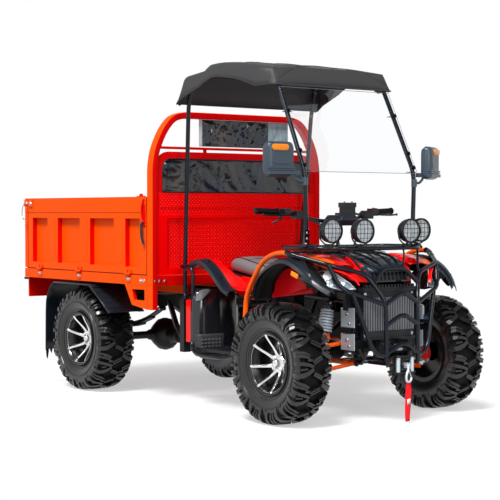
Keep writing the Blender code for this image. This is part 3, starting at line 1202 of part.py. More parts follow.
def build():
    clear_scene()
    datum = empty("rear_axle_datum", (0, 0, 0))
    datum.location.x = REAR_AXLE_X
    chassis = datum
    made = knuckles(chassis)
    chassis_frame(chassis)
    engine_block(chassis)
    rear_axle(chassis)
    suspension(chassis)
    half_shafts(chassis)
    wheels(chassis, made)
    for place, side in SIDES.items():
        rear_mudguard(place, side, chassis)
    handlebar(chassis)
    front_rack(chassis)
    bull_bar(chassis)
    guard_tubes(chassis)
    winch(chassis)
    radiator(chassis)
    front_fenders(chassis)
    tank_and_seat(chassis)
    rear_fender(chassis)
    leg_guards(chassis)
    roof(chassis)
    cab_posts(chassis)
    windscreen(chassis)
    mirrors(chassis)
    bed = empty("bed_tip_joint", (TIP_HINGE_X, 0.0, TIP_HINGE_Z), chassis)
    bed_frame(bed)
    headboard(bed)
    drop_sides(bed)
    tailgate(bed)
    bpy.context.view_layer.update()


build()
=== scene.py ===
"""Looks of the utility quad bike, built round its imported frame.

Shapes are drawn in vehicle coordinates: X forward from the rear axle, Y to the rider's left and Z up
from the ground, in metres. One shift puts them into the frame's own coordinates.
"""
import math
import random

import bmesh
import bpy
from mathutils import Matrix, Vector, noise


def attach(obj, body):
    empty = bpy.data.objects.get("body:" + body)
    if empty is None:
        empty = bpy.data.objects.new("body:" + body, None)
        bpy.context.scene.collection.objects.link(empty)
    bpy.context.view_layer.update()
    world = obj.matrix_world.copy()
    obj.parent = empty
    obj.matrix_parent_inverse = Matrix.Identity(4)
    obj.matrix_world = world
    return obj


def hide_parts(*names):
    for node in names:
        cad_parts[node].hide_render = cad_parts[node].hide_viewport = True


SHIFT = Vector((-0.7805, 0, 0))
SIDES = {"right": -1, "left": 1}
WHEELBASE = 1.915
TYRE_RADIUS = 0.3175


# Shapes as lists of points and faces
def joined(shapes):
    points, faces = [], []
    for more_points, more_faces in shapes:
        start = len(points)
        points += more_points
        faces += [tuple(start + index for index in face) for face in more_faces]
    return points, faces


def loft(sections, caps=True, closed=False):
    """A skin over matching closed sections."""
    count = len(sections[0])
    rows = len(sections)
    faces = []
    for row in range(rows if closed else rows - 1):
        here, there = row * count, ((row + 1) % rows) * count
        for step in range(count):
            after = (step + 1) % count
            faces.append((here + step, here + after, there + after, there + step))
    if caps and not closed:
        faces.append(tuple(range(count)))
        faces.append(tuple(range((rows - 1) * count, rows * count))[::-1])
    return [Vector(point) for section in sections for point in section], faces


def grid(rows):
    """An open sheet through rows of points."""
    width = len(rows[0])
    faces = []
    for row in range(len(rows) - 1):
        for step in range(width - 1):
            start = row * width + step
            faces.append((start, start + 1, start + width + 1, start + width))
    return [Vector(point) for line in rows for point in line], faces


def box(low, high):
    corners = [Vector((x, y, z)) for x in (low[0], high[0]) for y in (low[1], high[1]) for z in (low[2],
                                                                                                 high[2])]
    return corners, [(0, 1, 3, 2), (4, 6, 7, 5), (0, 4, 5, 1), (2, 3, 7, 6), (0, 2, 6, 4), (1, 5, 7, 3)]


def on_axis(axis, along, first, second):
    if axis == "x":
        return Vector((along, first, second))
    if axis == "y":
        return Vector((first, along, second))
    return Vector((first, second, along))


def prism(outline, axis, start, end):
    return loft([[on_axis(axis, along, *corner) for corner in outline] for along in (start, end)])


def turned(axis, centre, profile, steps=32, hollow=False):
    """A profile of (along, radius) pairs turned round an axis; hollow profiles close on themselves."""
    rings = []
    for along, radius in profile:
        angles = (2 * math.pi * step / steps for step in range(steps))
        rings.append([Vector(centre) + on_axis(axis, along, radius * math.cos(angle),
                                               radius * math.sin(angle))
                      for angle in angles])
    return loft(rings, closed=hollow)


def eased(points, bend, steps):
    """The points with each inner corner eased into a curve."""
    points = [Vector(point) for point in points]
    path = [points[0]]
    for before, corner, after in zip(points, points[1:], points[2:]):
        start = corner + (before - corner).normalized() * min(bend, (corner - before).length * 0.48)
        end = corner + (after - corner).normalized() * min(bend, (after - corner).length * 0.48)
        for step in range(steps + 1):
            part = step / steps
            path.append(start * (1 - part) ** 2 + corner * 2 * part * (1 - part) + end * part ** 2)
    path.append(points[-1])
    return path


def sweep(path, section, closed=False, caps=True):
    """A section of (side, up) offsets carried along a path without twisting."""
    heading = (path[1] - path[0]).normalized()
    reference = Vector((0, 0, 1)) if abs(heading.z) < 0.9 else Vector((0, 1, 0))
    side = heading.cross(reference).normalized()
    rings = []
    last = len(path) - 1
    for index, point in enumerate(path):
        before = path[index - 1] if closed or index else point
        after = path[(index + 1) % len(path)] if closed or index < last else point
        heading = (after - before).normalized()
        side = (side - heading * side.dot(heading)).normalized()
        up = side.cross(heading)
        rings.append([point + side * across + up * lift for across, lift in section])
    return loft(rings, caps=caps, closed=closed)


def round_section(radius, sides=14):
    return [(radius * math.cos(2 * math.pi * side / sides), radius * math.sin(2 * math.pi * side / sides))
            for side in range(sides)]


def tube(points, radius, bend=0.035, steps=5, sides=14):
    return sweep(eased(points, bend, steps), round_section(radius, sides))


def flat_bar(points, width, height, bend=0.02, steps=4):
    half, rise = width / 2, height / 2
    section = [(-half, -rise), (half, -rise), (half, rise), (-half, rise)]
    return sweep(eased(points, bend, steps), section)


def ball(centre, radius, squash=1.0, steps=12):
    profile = [(radius * squash * math.sin(math.pi * (k / 6 - 0.5)),
                radius * math.cos(math.pi * (k / 6 - 0.5)) + 1e-5)
               for k in range(7)]
    return turned("z", centre, profile, steps)


def bolt(place, direction, radius=0.006, sides=6, washer=True):
    """A hex head on its washer, standing on a surface."""
    direction = Vector(direction).normalized()
    start = Vector(place)
    parts = []
    if washer:
        parts.append(sweep([start, start + direction * radius * 0.22], round_section(radius * 1.55, 14)))
    parts.append(sweep([start, start + direction * radius * 0.95], round_section(radius, sides)))
    parts.append(sweep([start, start + direction * radius * 1.1], round_section(radius * 0.7, 10)))
    return joined(parts)


def outward(points, side):
    """Points given with Y outward, put on the left (1) or the right (-1)."""
    return [(x, side * y, z) for x, y, z in points]


def side_box(side, low, high):
    near, far = sorted((side * low[1], side * high[1]))
    return box((low[0], near, low[2]), (high[0], far, high[2]))


def moved(shape, matrix):
    return [matrix @ point for point in shape[0]], shape[1]


def piece(name, shape, finish, body, stands_for=(), smooth=38, bevel=0.0, levels=0, thick=0.0):
    """One object of the part, riding on a body of the frame."""
    name = name.replace(" ", "_")
    data = bpy.data.meshes.new(name)
    data.from_pydata([point + SHIFT for point in shape[0]], [], shape[1])
    mesh = bmesh.new()
    mesh.from_mesh(data)
    bmesh.ops.remove_doubles(mesh, verts=mesh.verts, dist=1e-6)
    bmesh.ops.recalc_face_normals(mesh, faces=mesh.faces)
    mesh.to_mesh(data)
    mesh.free()
    data.materials.append(finish)
    data.shade_smooth()
    data.set_sharp_from_angle(angle=math.radians(smooth))
    made = bpy.data.objects.new(name, data)
    bpy.context.scene.collection.objects.link(made)
    if thick:
        solid = made.modifiers.new("thickness", "SOLIDIFY")
        solid.thickness = thick
        solid.offset = 0.0
    if bevel:
        edge = made.modifiers.new("edges", "BEVEL")
        edge.width = bevel
        edge.segments = 2
        edge.limit_method = "ANGLE"
        edge.angle_limit = math.radians(35)
        edge.harden_normals = True
    if levels:
        soften = made.modifiers.new("soften", "SUBSURF")
        soften.levels = levels
        soften.render_levels = levels
    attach(made, body)
    for node in stands_for:
        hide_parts(node)
    return made


def two_tone(made, finish, chosen):
    """Gives a second finish to the faces that the test picks by centre and normal."""
    made.data.materials.append(finish)
    for face in made.data.polygons:
        if chosen(face.center - SHIFT, face.normal):
            face.material_index = 1


# Finishes
def shader_of(name, colour, metallic=0.0, roughness=0.4, **sockets):
    made = bpy.data.materials.new(name)
    made.use_nodes = True
    shader = made.node_tree.nodes["Principled BSDF"]
    shader.inputs["Base Color"].default_value = (*colour, 1.0)
    shader.inputs["Metallic"].default_value = metallic
    shader.inputs["Roughness"].default_value = roughness
    for socket, value in sockets.items():
        shader.inputs[socket.replace("_", " ")].default_value = value
    return made


def add_bump(material, scale, strength, distance=0.001, detail=3.0, stretch=(1, 1, 1), kind="NOISE"):
    """A fine surface relief in object coordinates."""
    nodes, links = material.node_tree.nodes, material.node_tree.links
    place = nodes.new("ShaderNodeTexCoord")
    mapping = nodes.new("ShaderNodeMapping")
    mapping.inputs["Scale"].default_value = stretch
    if kind == "NOISE":
        texture = nodes.new("ShaderNodeTexNoise")
        texture.inputs["Detail"].default_value = detail
        out = texture.outputs["Fac"]
    else:
        texture = nodes.new("ShaderNodeTexVoronoi")
        out = texture.outputs["Distance"]
    texture.inputs["Scale"].default_value = scale
    bump = nodes.new("ShaderNodeBump")
    bump.inputs["Strength"].default_value = strength
    bump.inputs["Distance"].default_value = distance
    links.new(place.outputs["Object"], mapping.inputs["Vector"])
    links.new(mapping.outputs["Vector"], texture.inputs["Vector"])
    links.new(out, bump.inputs["Height"])
    links.new(bump.outputs["Normal"], material.node_tree.nodes["Principled BSDF"].inputs["Normal"])
    return material


def vary_colour(material, scale, low, high, detail=4.0, stretch=(1, 1, 1)):
    """Lets the colour drift between two shades."""
    nodes, links = material.node_tree.nodes, material.node_tree.links
    place = nodes.new("ShaderNodeTexCoord")
    mapping = nodes.new("ShaderNodeMapping")
    mapping.inputs["Scale"].default_value = stretch
    texture = nodes.new("ShaderNodeTexNoise")
    texture.inputs["Scale"].default_value = scale
    texture.inputs["Detail"].default_value = detail
    ramp = nodes.new("ShaderNodeValToRGB")
    ramp.color_ramp.elements[0].position = 0.3
    ramp.color_ramp.elements[1].position = 0.7
    ramp.color_ramp.elements[0].color = (*low, 1)
    ramp.color_ramp.elements[1].color = (*high, 1)
    links.new(place.outputs["Object"], mapping.inputs["Vector"])
    links.new(mapping.outputs["Vector"], texture.inputs["Vector"])
    links.new(texture.outputs["Fac"], ramp.inputs["Fac"])
    links.new(ramp.outputs["Color"], nodes["Principled BSDF"].inputs["Base Color"])
    return material


def finishes():
    """The part's colours. Painted and moulded surfaces keep a low specular level so that they stay deep."""
    made = {
        "orange": shader_of("bed paint", (0.92, 0.083, 0.0010), 0.0, 0.36, Specular_IOR_Level=0.04),
        # Red paint, also used as painted shade: the bed's forward faces take it as a darker, redder copy of
        # the orange bed paint.
        "red": shader_of("red paint and painted shade", (0.70, 0.0010, 0.0014), 0.0, 0.30, Specular_IOR_Level=0.05),
        "board_red": shader_of("board paint", (0.93, 0.0004, 0.0008), 0.0, 0.34, Specular_IOR_Level=0.03),
        "gloss_red": shader_of("red bodywork", (0.90, 0.0030, 0.0024), 0.0, 0.18, Specular_IOR_Level=0.25),
        "arm": shader_of("orange tubes", (0.95, 0.110, 0.0010), 0.0, 0.26, Specular_IOR_Level=0.22),
        "tube": shader_of("black tubes", (0.0022, 0.0046, 0.0100), 0.0, 0.20, Specular_IOR_Level=0.30),
        "frame": shader_of("frame paint", (0.0030, 0.0034, 0.0042), 0.0, 0.36, Specular_IOR_Level=0.28),
        "plastic": add_bump(shader_of("black moulding", (0.0070, 0.0086, 0.0115), 0.0, 0.36,
                                      Specular_IOR_Level=0.36), 900, 0.25, 0.0004),
        "flare": add_bump(shader_of("flare moulding", (0.0085, 0.0125, 0.0190), 0.0, 0.28,
                                    Specular_IOR_Level=0.40), 900, 0.2, 0.0004),
        "roof": add_bump(shader_of("roof moulding", (0.036, 0.036, 0.038), 0.0, 0.52,
                                   Specular_IOR_Level=0.30), 600, 0.5, 0.0006),
        "rubber": add_bump(shader_of("tyre rubber", (0.0080, 0.0082, 0.0086), 0.0, 0.27,
                                     Specular_IOR_Level=0.55), 240, 0.10, 0.0005),
        # A darker copy of the tyre rubber: painted shade for the carcass between the lugs.
        "groove": shader_of("painted groove shade", (0.0022, 0.0022, 0.0024), 0.0, 0.6, Specular_IOR_Level=0.12),
        "flap": shader_of("flap rubber", (0.0030, 0.0030, 0.0034), 0.0, 0.5, Specular_IOR_Level=0.18),
        "alloy": shader_of("machined alloy", (0.74, 0.74, 0.75), 1.0, 0.16),
        "black_alloy": shader_of("black alloy", (0.0045, 0.0045, 0.0050), 0.0, 0.26, Specular_IOR_Level=0.45),
        "steel": shader_of("zinc steel", (0.52, 0.53, 0.55), 1.0, 0.24),
        "bright": shader_of("bright plate", (0.60, 0.66, 0.71), 0.6, 0.34, Specular_IOR_Level=0.4),
        "casting": add_bump(shader_of("cast metal", (0.016, 0.017, 0.019), 0.3, 0.40,
                                      Specular_IOR_Level=0.40), 300, 0.4, 0.0006),
        "silver_casting": add_bump(shader_of("alloy casting", (0.36, 0.37, 0.39), 0.9, 0.36), 300, 0.4,
                                   0.0006),
        "vinyl": add_bump(shader_of("seat vinyl", (0.150, 0.156, 0.164), 0.0, 0.42, Specular_IOR_Level=0.50),
                          700, 0.4, 0.0005, kind="CELLS"),
        "white": shader_of("spring paint", (0.56, 0.63, 0.70), 0.1, 0.24, Specular_IOR_Level=0.5),
        "amber": shader_of("amber lens", (0.90, 0.24, 0.004), 0.0, 0.18, Specular_IOR_Level=0.35),
        "red_lens": shader_of("red reflector", (0.75, 0.012, 0.006), 0.0, 0.15, Specular_IOR_Level=0.35),
        # A paler red for the studs: painted sheen, with real gloss from its higher specular level.
        "red_sheen": shader_of("stud paint and painted sheen", (0.98, 0.028, 0.026), 0.0, 0.28, Specular_IOR_Level=0.60),
        "lip_grey": add_bump(shader_of("pale moulding", (0.115, 0.120, 0.128), 0.0, 0.40,
                                       Specular_IOR_Level=0.5), 700, 0.2, 0.0005),
        # A darker copy of the bed orange: painted shade for the strips in the hinge gaps.
        "shaded_orange": shader_of("painted gap shade", (0.30, 0.020, 0.002), 0.0, 0.5, Specular_IOR_Level=0.2),
        # A brighter copy of the red bodywork: painted light for the inner panel and rail that lie in the
        # flare's shade.
        "lit_red": shader_of("inner panel paint", (1.0, 0.004, 0.010), 0.0, 0.30, Specular_IOR_Level=0.15),
        "hood": shader_of("hood moulding", (0.012, 0.020, 0.030), 0.0, 0.16, Specular_IOR_Level=0.6),
        "film": film_with_painted_reflections(),
        "film_hem": shader_of("film hem", (0.62, 0.64, 0.66), 0.0, 0.25, Specular_IOR_Level=0.4),
        "lamp_white": shader_of("lamp bowl", (0.66, 0.69, 0.71), 0.0, 0.30, Specular_IOR_Level=0.6),
        "lamp_grey": add_bump(shader_of("headlamp bowl", (0.24, 0.34, 0.41), 0.35, 0.22,
                                        Specular_IOR_Level=0.6), 60, 0.7, 0.004),
        "mirror_shell": add_bump(shader_of("mirror moulding", (0.030, 0.050, 0.072), 0.0, 0.34,
                                           Specular_IOR_Level=0.45), 900, 0.2, 0.0004),
        "clear_film": shader_of("clear film", (0.30, 0.40, 0.46), 0.0, 0.10, Specular_IOR_Level=0.5),
        "lens": shader_of("lamp glass", (0.94, 0.96, 0.97), 0.0, 0.04, Transmission_Weight=0.92, IOR=1.3),
        "mirror": shader_of("mirror glass", (0.88, 0.90, 0.92), 1.0, 0.02),
        "webbing": add_bump(shader_of("strap webbing", (0.90, 0.010, 0.020), 0.0, 0.7,
                                      Specular_IOR_Level=0.2), 420, 0.6, 0.0006),
        "tag": shader_of("white tag", (0.80, 0.80, 0.79), 0.0, 0.6),
        "blue": shader_of("blue band", (0.004, 0.13, 0.55), 0.0, 0.25, Specular_IOR_Level=0.4),
        "cable": shader_of("cable sleeve", (0.0030, 0.0030, 0.0035), 0.0, 0.40, Specular_IOR_Level=0.30),
        "gloss_black": shader_of("glossy black panel", (0.0115, 0.0125, 0.0165), 0.0, 0.14,
                                 Specular_IOR_Level=0.60),
        "fin": shader_of("radiator fin", (0.24, 0.25, 0.27), 0.3, 0.35),
        "glass": sheet_glass(),
        "screen_edge": shader_of("screen edge", (0.10, 0.13, 0.17), 0.0, 0.2),
    }
    return made


def film_with_painted_reflections():
    """Limp dark film: long soft folds of colour in near-black and navy, with warm grey in them as painted
    reflections.
    """
    made = shader_of("dark film", (0.012, 0.016, 0.024), 0.0, 0.10, Specular_IOR_Level=0.60)
    vary_colour(made, 4.2, (0.004, 0.006, 0.011), (0.070, 0.062, 0.060), detail=4.0, stretch=(1, 1.0, 0.8))
    ramp = next(node for node in made.node_tree.nodes if node.type == "VALTORGB").color_ramp
    ramp.elements[0].position, ramp.elements[1].position = 0.30, 0.74
    for position, colour in ((0.44, (0.006, 0.016, 0.034)), (0.54, (0.018, 0.019, 0.022)),
                             (0.62, (0.046, 0.043, 0.043))):
        ramp.elements.new(position).color = (*colour, 1)
    return made


def sheet_glass():
    """A clear sheet with a cool tint, see-through without bending what lies behind."""
    made = bpy.data.materials.new("clear screen")
    made.use_nodes = True
    shader = made.node_tree.nodes["Principled BSDF"]
    shader.inputs["Base Color"].default_value = (0.62, 0.78, 0.90, 1)
    shader.inputs["Roughness"].default_value = 0.03
    shader.inputs["IOR"].default_value = 1.06
    shader.inputs["Specular IOR Level"].default_value = 0.0
    shader.inputs["Transmission Weight"].default_value = 1.0
    shader.inputs["Alpha"].default_value = 0.075
    return made


# Wheels
TYRE_PITCHES = 12
CARCASS = ((0.0, 0.2975), (0.030, 0.2972), (0.060, 0.2962), (0.080, 0.2925), (0.0925, 0.284), (0.0975, 0.270),
           (0.0985, 0.250), (0.0970, 0.228), (0.0925, 0.206), (0.0860, 0.190), (0.0800, 0.178),
           (0.0765, 0.170), (0.0745, 0.160), (0.0755, 0.1515))


class Carcass:
    """The tyre's surface, reached by the distance round its section and the distance round its tread."""

    def __init__(self, centre, width, side):
        self.centre = Vector(centre)
        self.side = side
        scale = width / 0.195
        self.profile = [Vector((across * scale, radius)) for across, radius in CARCASS]
        self.reach = [0.0]
        for near, far in zip(self.profile, self.profile[1:]):
            self.reach.append(self.reach[-1] + (far - near).length)

    def at(self, along, round_tread, lift):
        distance = min(abs(along), self.reach[-1] - 1e-5)
        step = next(k for k in range(len(self.reach) - 1) if self.reach[k + 1] >= distance)
        part = (distance - self.reach[step]) / (self.reach[step + 1] - self.reach[step])
        near, far = self.profile[step], self.profile[step + 1]
        slopes = []
        for k in (step, step + 1):
            before, after = self.profile[max(k - 1, 0)], self.profile[min(k + 1, len(self.profile) - 1)]
            slopes.append(Vector((-(after.y - before.y), after.x - before.x)).normalized())
        slopes[0] = Vector((0, 1)) if step == 0 else slopes[0]
        normal = (slopes[0] * (1 - part) + slopes[1] * part).normalized()
        spot = near * (1 - part) + far * part + normal * lift
        angle = round_tread / 0.30
        across = math.copysign(spot.x, along)
        return self.centre + Vector((spot.y * math.cos(angle), across, spot.y * math.sin(angle)))

    def bar(self, path, groove=0.0):
        """A tread bar through (along, round, height, width) points, grooved down its top where asked."""
        shape = [(-0.5, None), (-0.45, 0.0), (0.45, 0.0), (0.5, None)]
        if groove:
            shape = [(-0.5, None), (-0.45, 0.0), (-0.14, 0.0), (-0.10, groove), (0.10, groove), (0.14, 0.0),
                     (0.45, 0.0), (0.5, None)]
        sections = []
        for index, (along, spread, height, width) in enumerate(path):
            before, after = path[max(index - 1, 0)], path[min(index + 1, len(path) - 1)]
            heading = Vector((after[0] - before[0], after[1] - before[1])).normalized()
            square = Vector((-heading.y, heading.x))
            section = []
            for offset, drop in shape:
                spot = Vector((along, spread)) + square * width * offset
                section.append(self.at(spot.x, spot.y,
                                       -0.003 if drop is None else height - min(drop, height)))
            sections.append(section)
        return loft(sections)


# Tread bars as (along, round, height, width) points and the depth of the groove in their tops
TREAD_BARS = (
    (((0.030, -0.004, 0.0205, 0.020), (0.058, -0.021, 0.0205, 0.023), (0.084, -0.034, 0.0200, 0.026),
      (0.099, -0.038, 0.0175, 0.027), (0.111, -0.040, 0.0140, 0.027), (0.130, -0.041, 0.0085, 0.024),
      (0.146, -0.041, 0.0035, 0.019)), 0.0),
    (((0.030, 0.008, 0.0205, 0.016), (0.058, 0.019, 0.0205, 0.018), (0.084, 0.025, 0.0200, 0.020),
      (0.099, 0.027, 0.0175, 0.021), (0.111, 0.028, 0.0140, 0.021), (0.130, 0.028, 0.0075, 0.018)), 0.0),
    (((0.048, 0.057, 0.0205, 0.024), (0.078, 0.070, 0.0200, 0.034), (0.096, 0.074, 0.0180, 0.036),
      (0.108, 0.076, 0.0145, 0.035), (0.126, 0.077, 0.0065, 0.028)), 0.0060),
    (((0.030, 0.026, 0.0205, 0.022), (0.002, 0.040, 0.0205, 0.024), (-0.026, 0.052, 0.0205, 0.022)), 0.0050),
    (((0.036, 0.040, 0.0205, 0.013), (0.062, 0.042, 0.0200, 0.013)), 0.0),
    (((0.060, -0.002, 0.0120, 0.010), (0.092, -0.006, 0.0120, 0.012)), 0.0),
    (((0.138, -0.010, 0.0030, 0.010), (0.148, 0.000, 0.0030, 0.010), (0.138, 0.010, 0.0030, 0.010)), 0.0))


def tread_pitch(carcass, start, pitch):
    """The bars of one pitch: forked and plain lugs over each shoulder and slanted bars across the centre."""
    bars = []
    for side in (-1, 1):
        shift = start + (0.0 if side == carcass.side else pitch * 0.5)
        for path, groove in TREAD_BARS:
            bars.append(carcass.bar([(side * s, shift + t, h, w) for s, t, h, w in path], groove))
    return bars


def tyre(name, centre, width, side, body, node, kit):
    carcass = Carcass(centre, width, side)
    steps = 90
    outer = [tuple(point) for point in carcass.profile]
    loop = [(-x, r) for x, r in outer[:0:-1]] + outer
    loop += [(x * 0.86, r + 0.004) for x, r in (loop[-1], loop[0])]
    shapes = [turned("y", centre, loop, steps, hollow=True)]
    pitch = 2 * math.pi * 0.30 / TYRE_PITCHES
    for number in range(TYRE_PITCHES):
        shapes += tread_pitch(carcass, number * pitch, pitch)
    for radius, across in ((0.234, 0.0982), (0.228, 0.0972), (0.186, 0.0845), (0.1745, 0.0790)):
        scale = width / 0.195
        bead = [Vector(centre) + Vector((radius * math.cos(a), side * across * scale, radius * math.sin(a)))
                for a in (2 * math.pi * k / steps for k in range(steps))]
        shapes.append(sweep(bead, round_section(0.0020, 6), closed=True))
    made = piece(name, joined(shapes), kit["rubber"], body, [node], smooth=24)

    # The carcass between the lugs takes the darker rubber as painted shade.
    def shaded_between_lugs(place, normal):
        reach = place - Vector(centre)
        return abs(reach.y) < width * 0.46 and math.hypot(reach.x, reach.z) < 0.2995 and abs(normal.y) < 0.8

    two_tone(made, kit["groove"], shaded_between_lugs)


def spoke(centre, side, lip, angle):
    """One slim machined blade that leaves the lip flat, dives to the hub and widens there."""
    path = ((0.1530, lip - 0.0010, 0.0095), (0.144, lip - 0.004, 0.0082), (0.128, lip - 0.014, 0.0072),
            (0.106, lip - 0.031, 0.0072), (0.082, lip - 0.049, 0.0085), (0.060, lip - 0.061, 0.0105),
            (0.036, lip - 0.068, 0.0135))
    sections = []
    for radius, across, half in path:
        turn = angle + 0.16 * ((0.153 - radius) / 0.117) ** 1.4
        radial = Vector((math.cos(turn), 0, math.sin(turn)))
        along = Vector((-math.sin(turn), 0, math.cos(turn)))
        middle = Vector(centre) + radial * radius + Vector((0, side * across, 0))
        sections.append([middle + along * half * x + Vector((0, side * y, 0)) for x, y in
                         ((-1, -0.014), (1, -0.014), (1, -0.004), (0.25, 0.001), (-0.25, 0.001),
                          (-1, -0.004))])
    return loft(sections)


def rim(name, centre, width, side, body, node, kit, phase):
    lip = width / 2 - 0.022 + 0.0073
    well = [(-lip, 0.143), (-lip, 0.166), (-lip + 0.007, 0.166), (-lip + 0.009, 0.150), (lip - 0.009, 0.150),
            (lip - 0.007, 0.166), (lip, 0.166), (lip + 0.0026, 0.1635), (lip + 0.0030, 0.1600),
            (lip + 0.0018, 0.1540),
            (lip - 0.006, 0.1500), (lip - 0.012, 0.1465), (lip - 0.030, 0.1435), (lip - 0.034, 0.1400),
            (lip - 0.070, 0.1360), (-lip + 0.010, 0.134)]
    barrel = turned("y", centre, [(side * across, radius) for across, radius in well], 64, hollow=True)
    disc = turned("y", centre, [(side * (lip - 0.092), 0.137), (side * (lip - 0.086), 0.137),
                                (side * (lip - 0.082), 0.060), (side * (lip - 0.092), 0.040)], 48)
    piece(f"{name} barrel", joined([barrel, disc]), kit["black_alloy"], body, [node])
    shapes = [spoke(centre, side, lip, 2 * math.pi * (number + phase) / 8) for number in range(8)]
    hub = [(lip - 0.092, 0.052), (lip - 0.070, 0.052), (lip - 0.064, 0.047), (lip - 0.062, 0.030),
           (lip - 0.066, 0.026)]
    shapes.append(turned("y", centre, [(side * across, radius) for across, radius in hub], 32))
    for number in range(4):
        angle = math.pi * (number + 0.5) / 2
        place = Vector(centre) + Vector((0.0385 * math.cos(angle), side * (lip - 0.0625),
                                         0.0385 * math.sin(angle)))
        shapes.append(bolt(place, (0, side, 0), 0.0075))
    piece(f"{name} spokes", joined(shapes), kit["alloy"], body)
    ring = [Vector(centre) + Vector((0.1492 * math.cos(a), side * (lip - 0.0060), 0.1492 * math.sin(a)))
            for a in (2 * math.pi * k / 72 for k in range(72))]
    piece(f"{name} lip line", sweep(ring, round_section(0.0009, 6), closed=True), kit["alloy"], body)
    cap = turned("y", centre, [(side * (lip - 0.068), 0.024), (side * (lip - 0.052), 0.022),
                               (side * (lip - 0.046), 0.017), (side * (lip - 0.045), 0.002)], 24)
    valve_place = Vector(centre) + Vector((0.0, side * (lip - 0.006), -0.134))
    valve = sweep([valve_place, valve_place + Vector((0, side * 0.016, 0.014))], round_section(0.004, 8))
    rivets = []
    for number in range(8):
        angle = 2 * math.pi * (number + 0.8) / 8
        place = Vector(centre) + Vector((0.112 * math.cos(angle), side * (lip - 0.084),
                                         0.112 * math.sin(angle)))
        rivets.append(bolt(place, (0, side, 0), 0.0055))
    piece(f"{name} cap", cap, kit["alloy"], body)
    piece(f"{name} rivets", joined([valve, *rivets]), kit["black_alloy"], body)


# Each axle's end, X, track and tyre width
AXLES = (("front", WHEELBASE, 1.09, 0.195), ("rear", 0.0, 1.08, 0.235))


def wheels(kit):
    for place, side in SIDES.items():
        for end, x, track, width in AXLES:
            centre = (x, side * track / 2, TYRE_RADIUS)
            body = f"wheel_{end}_{place}"
            tyre(f"{end} {place} tyre", centre, width, side, body, f"tyre_{end}_{place}", kit)
            rim(f"{end} {place} rim", centre, width, side, body, f"rim_{end}_{place}", kit,
                0.2 if end == "front" else 0.6)


# Cargo bed
BED_REAR_X, BED_HALF = -0.734, 0.624
PANEL_TOP = 1.1935
HINGES = (-0.520, -0.020, 0.560)
RIBS = ((-0.431, -0.296), (-0.018, 0.106), (0.387, 0.516))


def stepped(first, second, depth_of, thickness, spot):
    """A sheet pressed to a depth in each cell of a grid, with upright walls between and a flat back."""
    points, faces = [], []

    def quad(*corners):
        faces.append(tuple(range(len(points), len(points) + 4)))
        points.extend(Vector(spot(*corner)) for corner in corners)

    columns, lines = len(first) - 1, len(second) - 1

    def depth(column, line):
        inside = 0 <= column < columns and 0 <= line < lines
        return depth_of(column, line) if inside else thickness

    for column in range(-1, columns):
        for line in range(-1, lines):
            here = depth(column, line)
            if column >= 0 and line >= 0:
                a, b, c, d = first[column], first[column + 1], second[line], second[line + 1]
                quad((a, c, here), (b, c, here), (b, d, here), (a, d, here))
                quad((a, c, thickness), (b, c, thickness), (b, d, thickness), (a, d, thickness))
            if line >= 0 and depth(column + 1, line) != here:
                a, c, d, there = first[column + 1], second[line], second[line + 1], depth(column + 1, line)
                quad((a, c, here), (a, d, here), (a, d, there), (a, c, there))
            if column >= 0 and depth(column, line + 1) != here:
                a, b, c, there = first[column], first[column + 1], second[line + 1], depth(column, line + 1)
                quad((a, c, here), (b, c, here), (b, c, there), (a, c, there))
    return points, faces


PANEL_FOOT, RECESS_FOOT, RECESS_TOP, HEM_FOOT = 0.741, 0.780, 1.066, 1.103
PANEL_DEEP = 0.0365


# The faces turned forward, which take the red paint as painted shade on the orange bed.
def shaded_front_faces(_, normal):
    return normal.x > 0.5


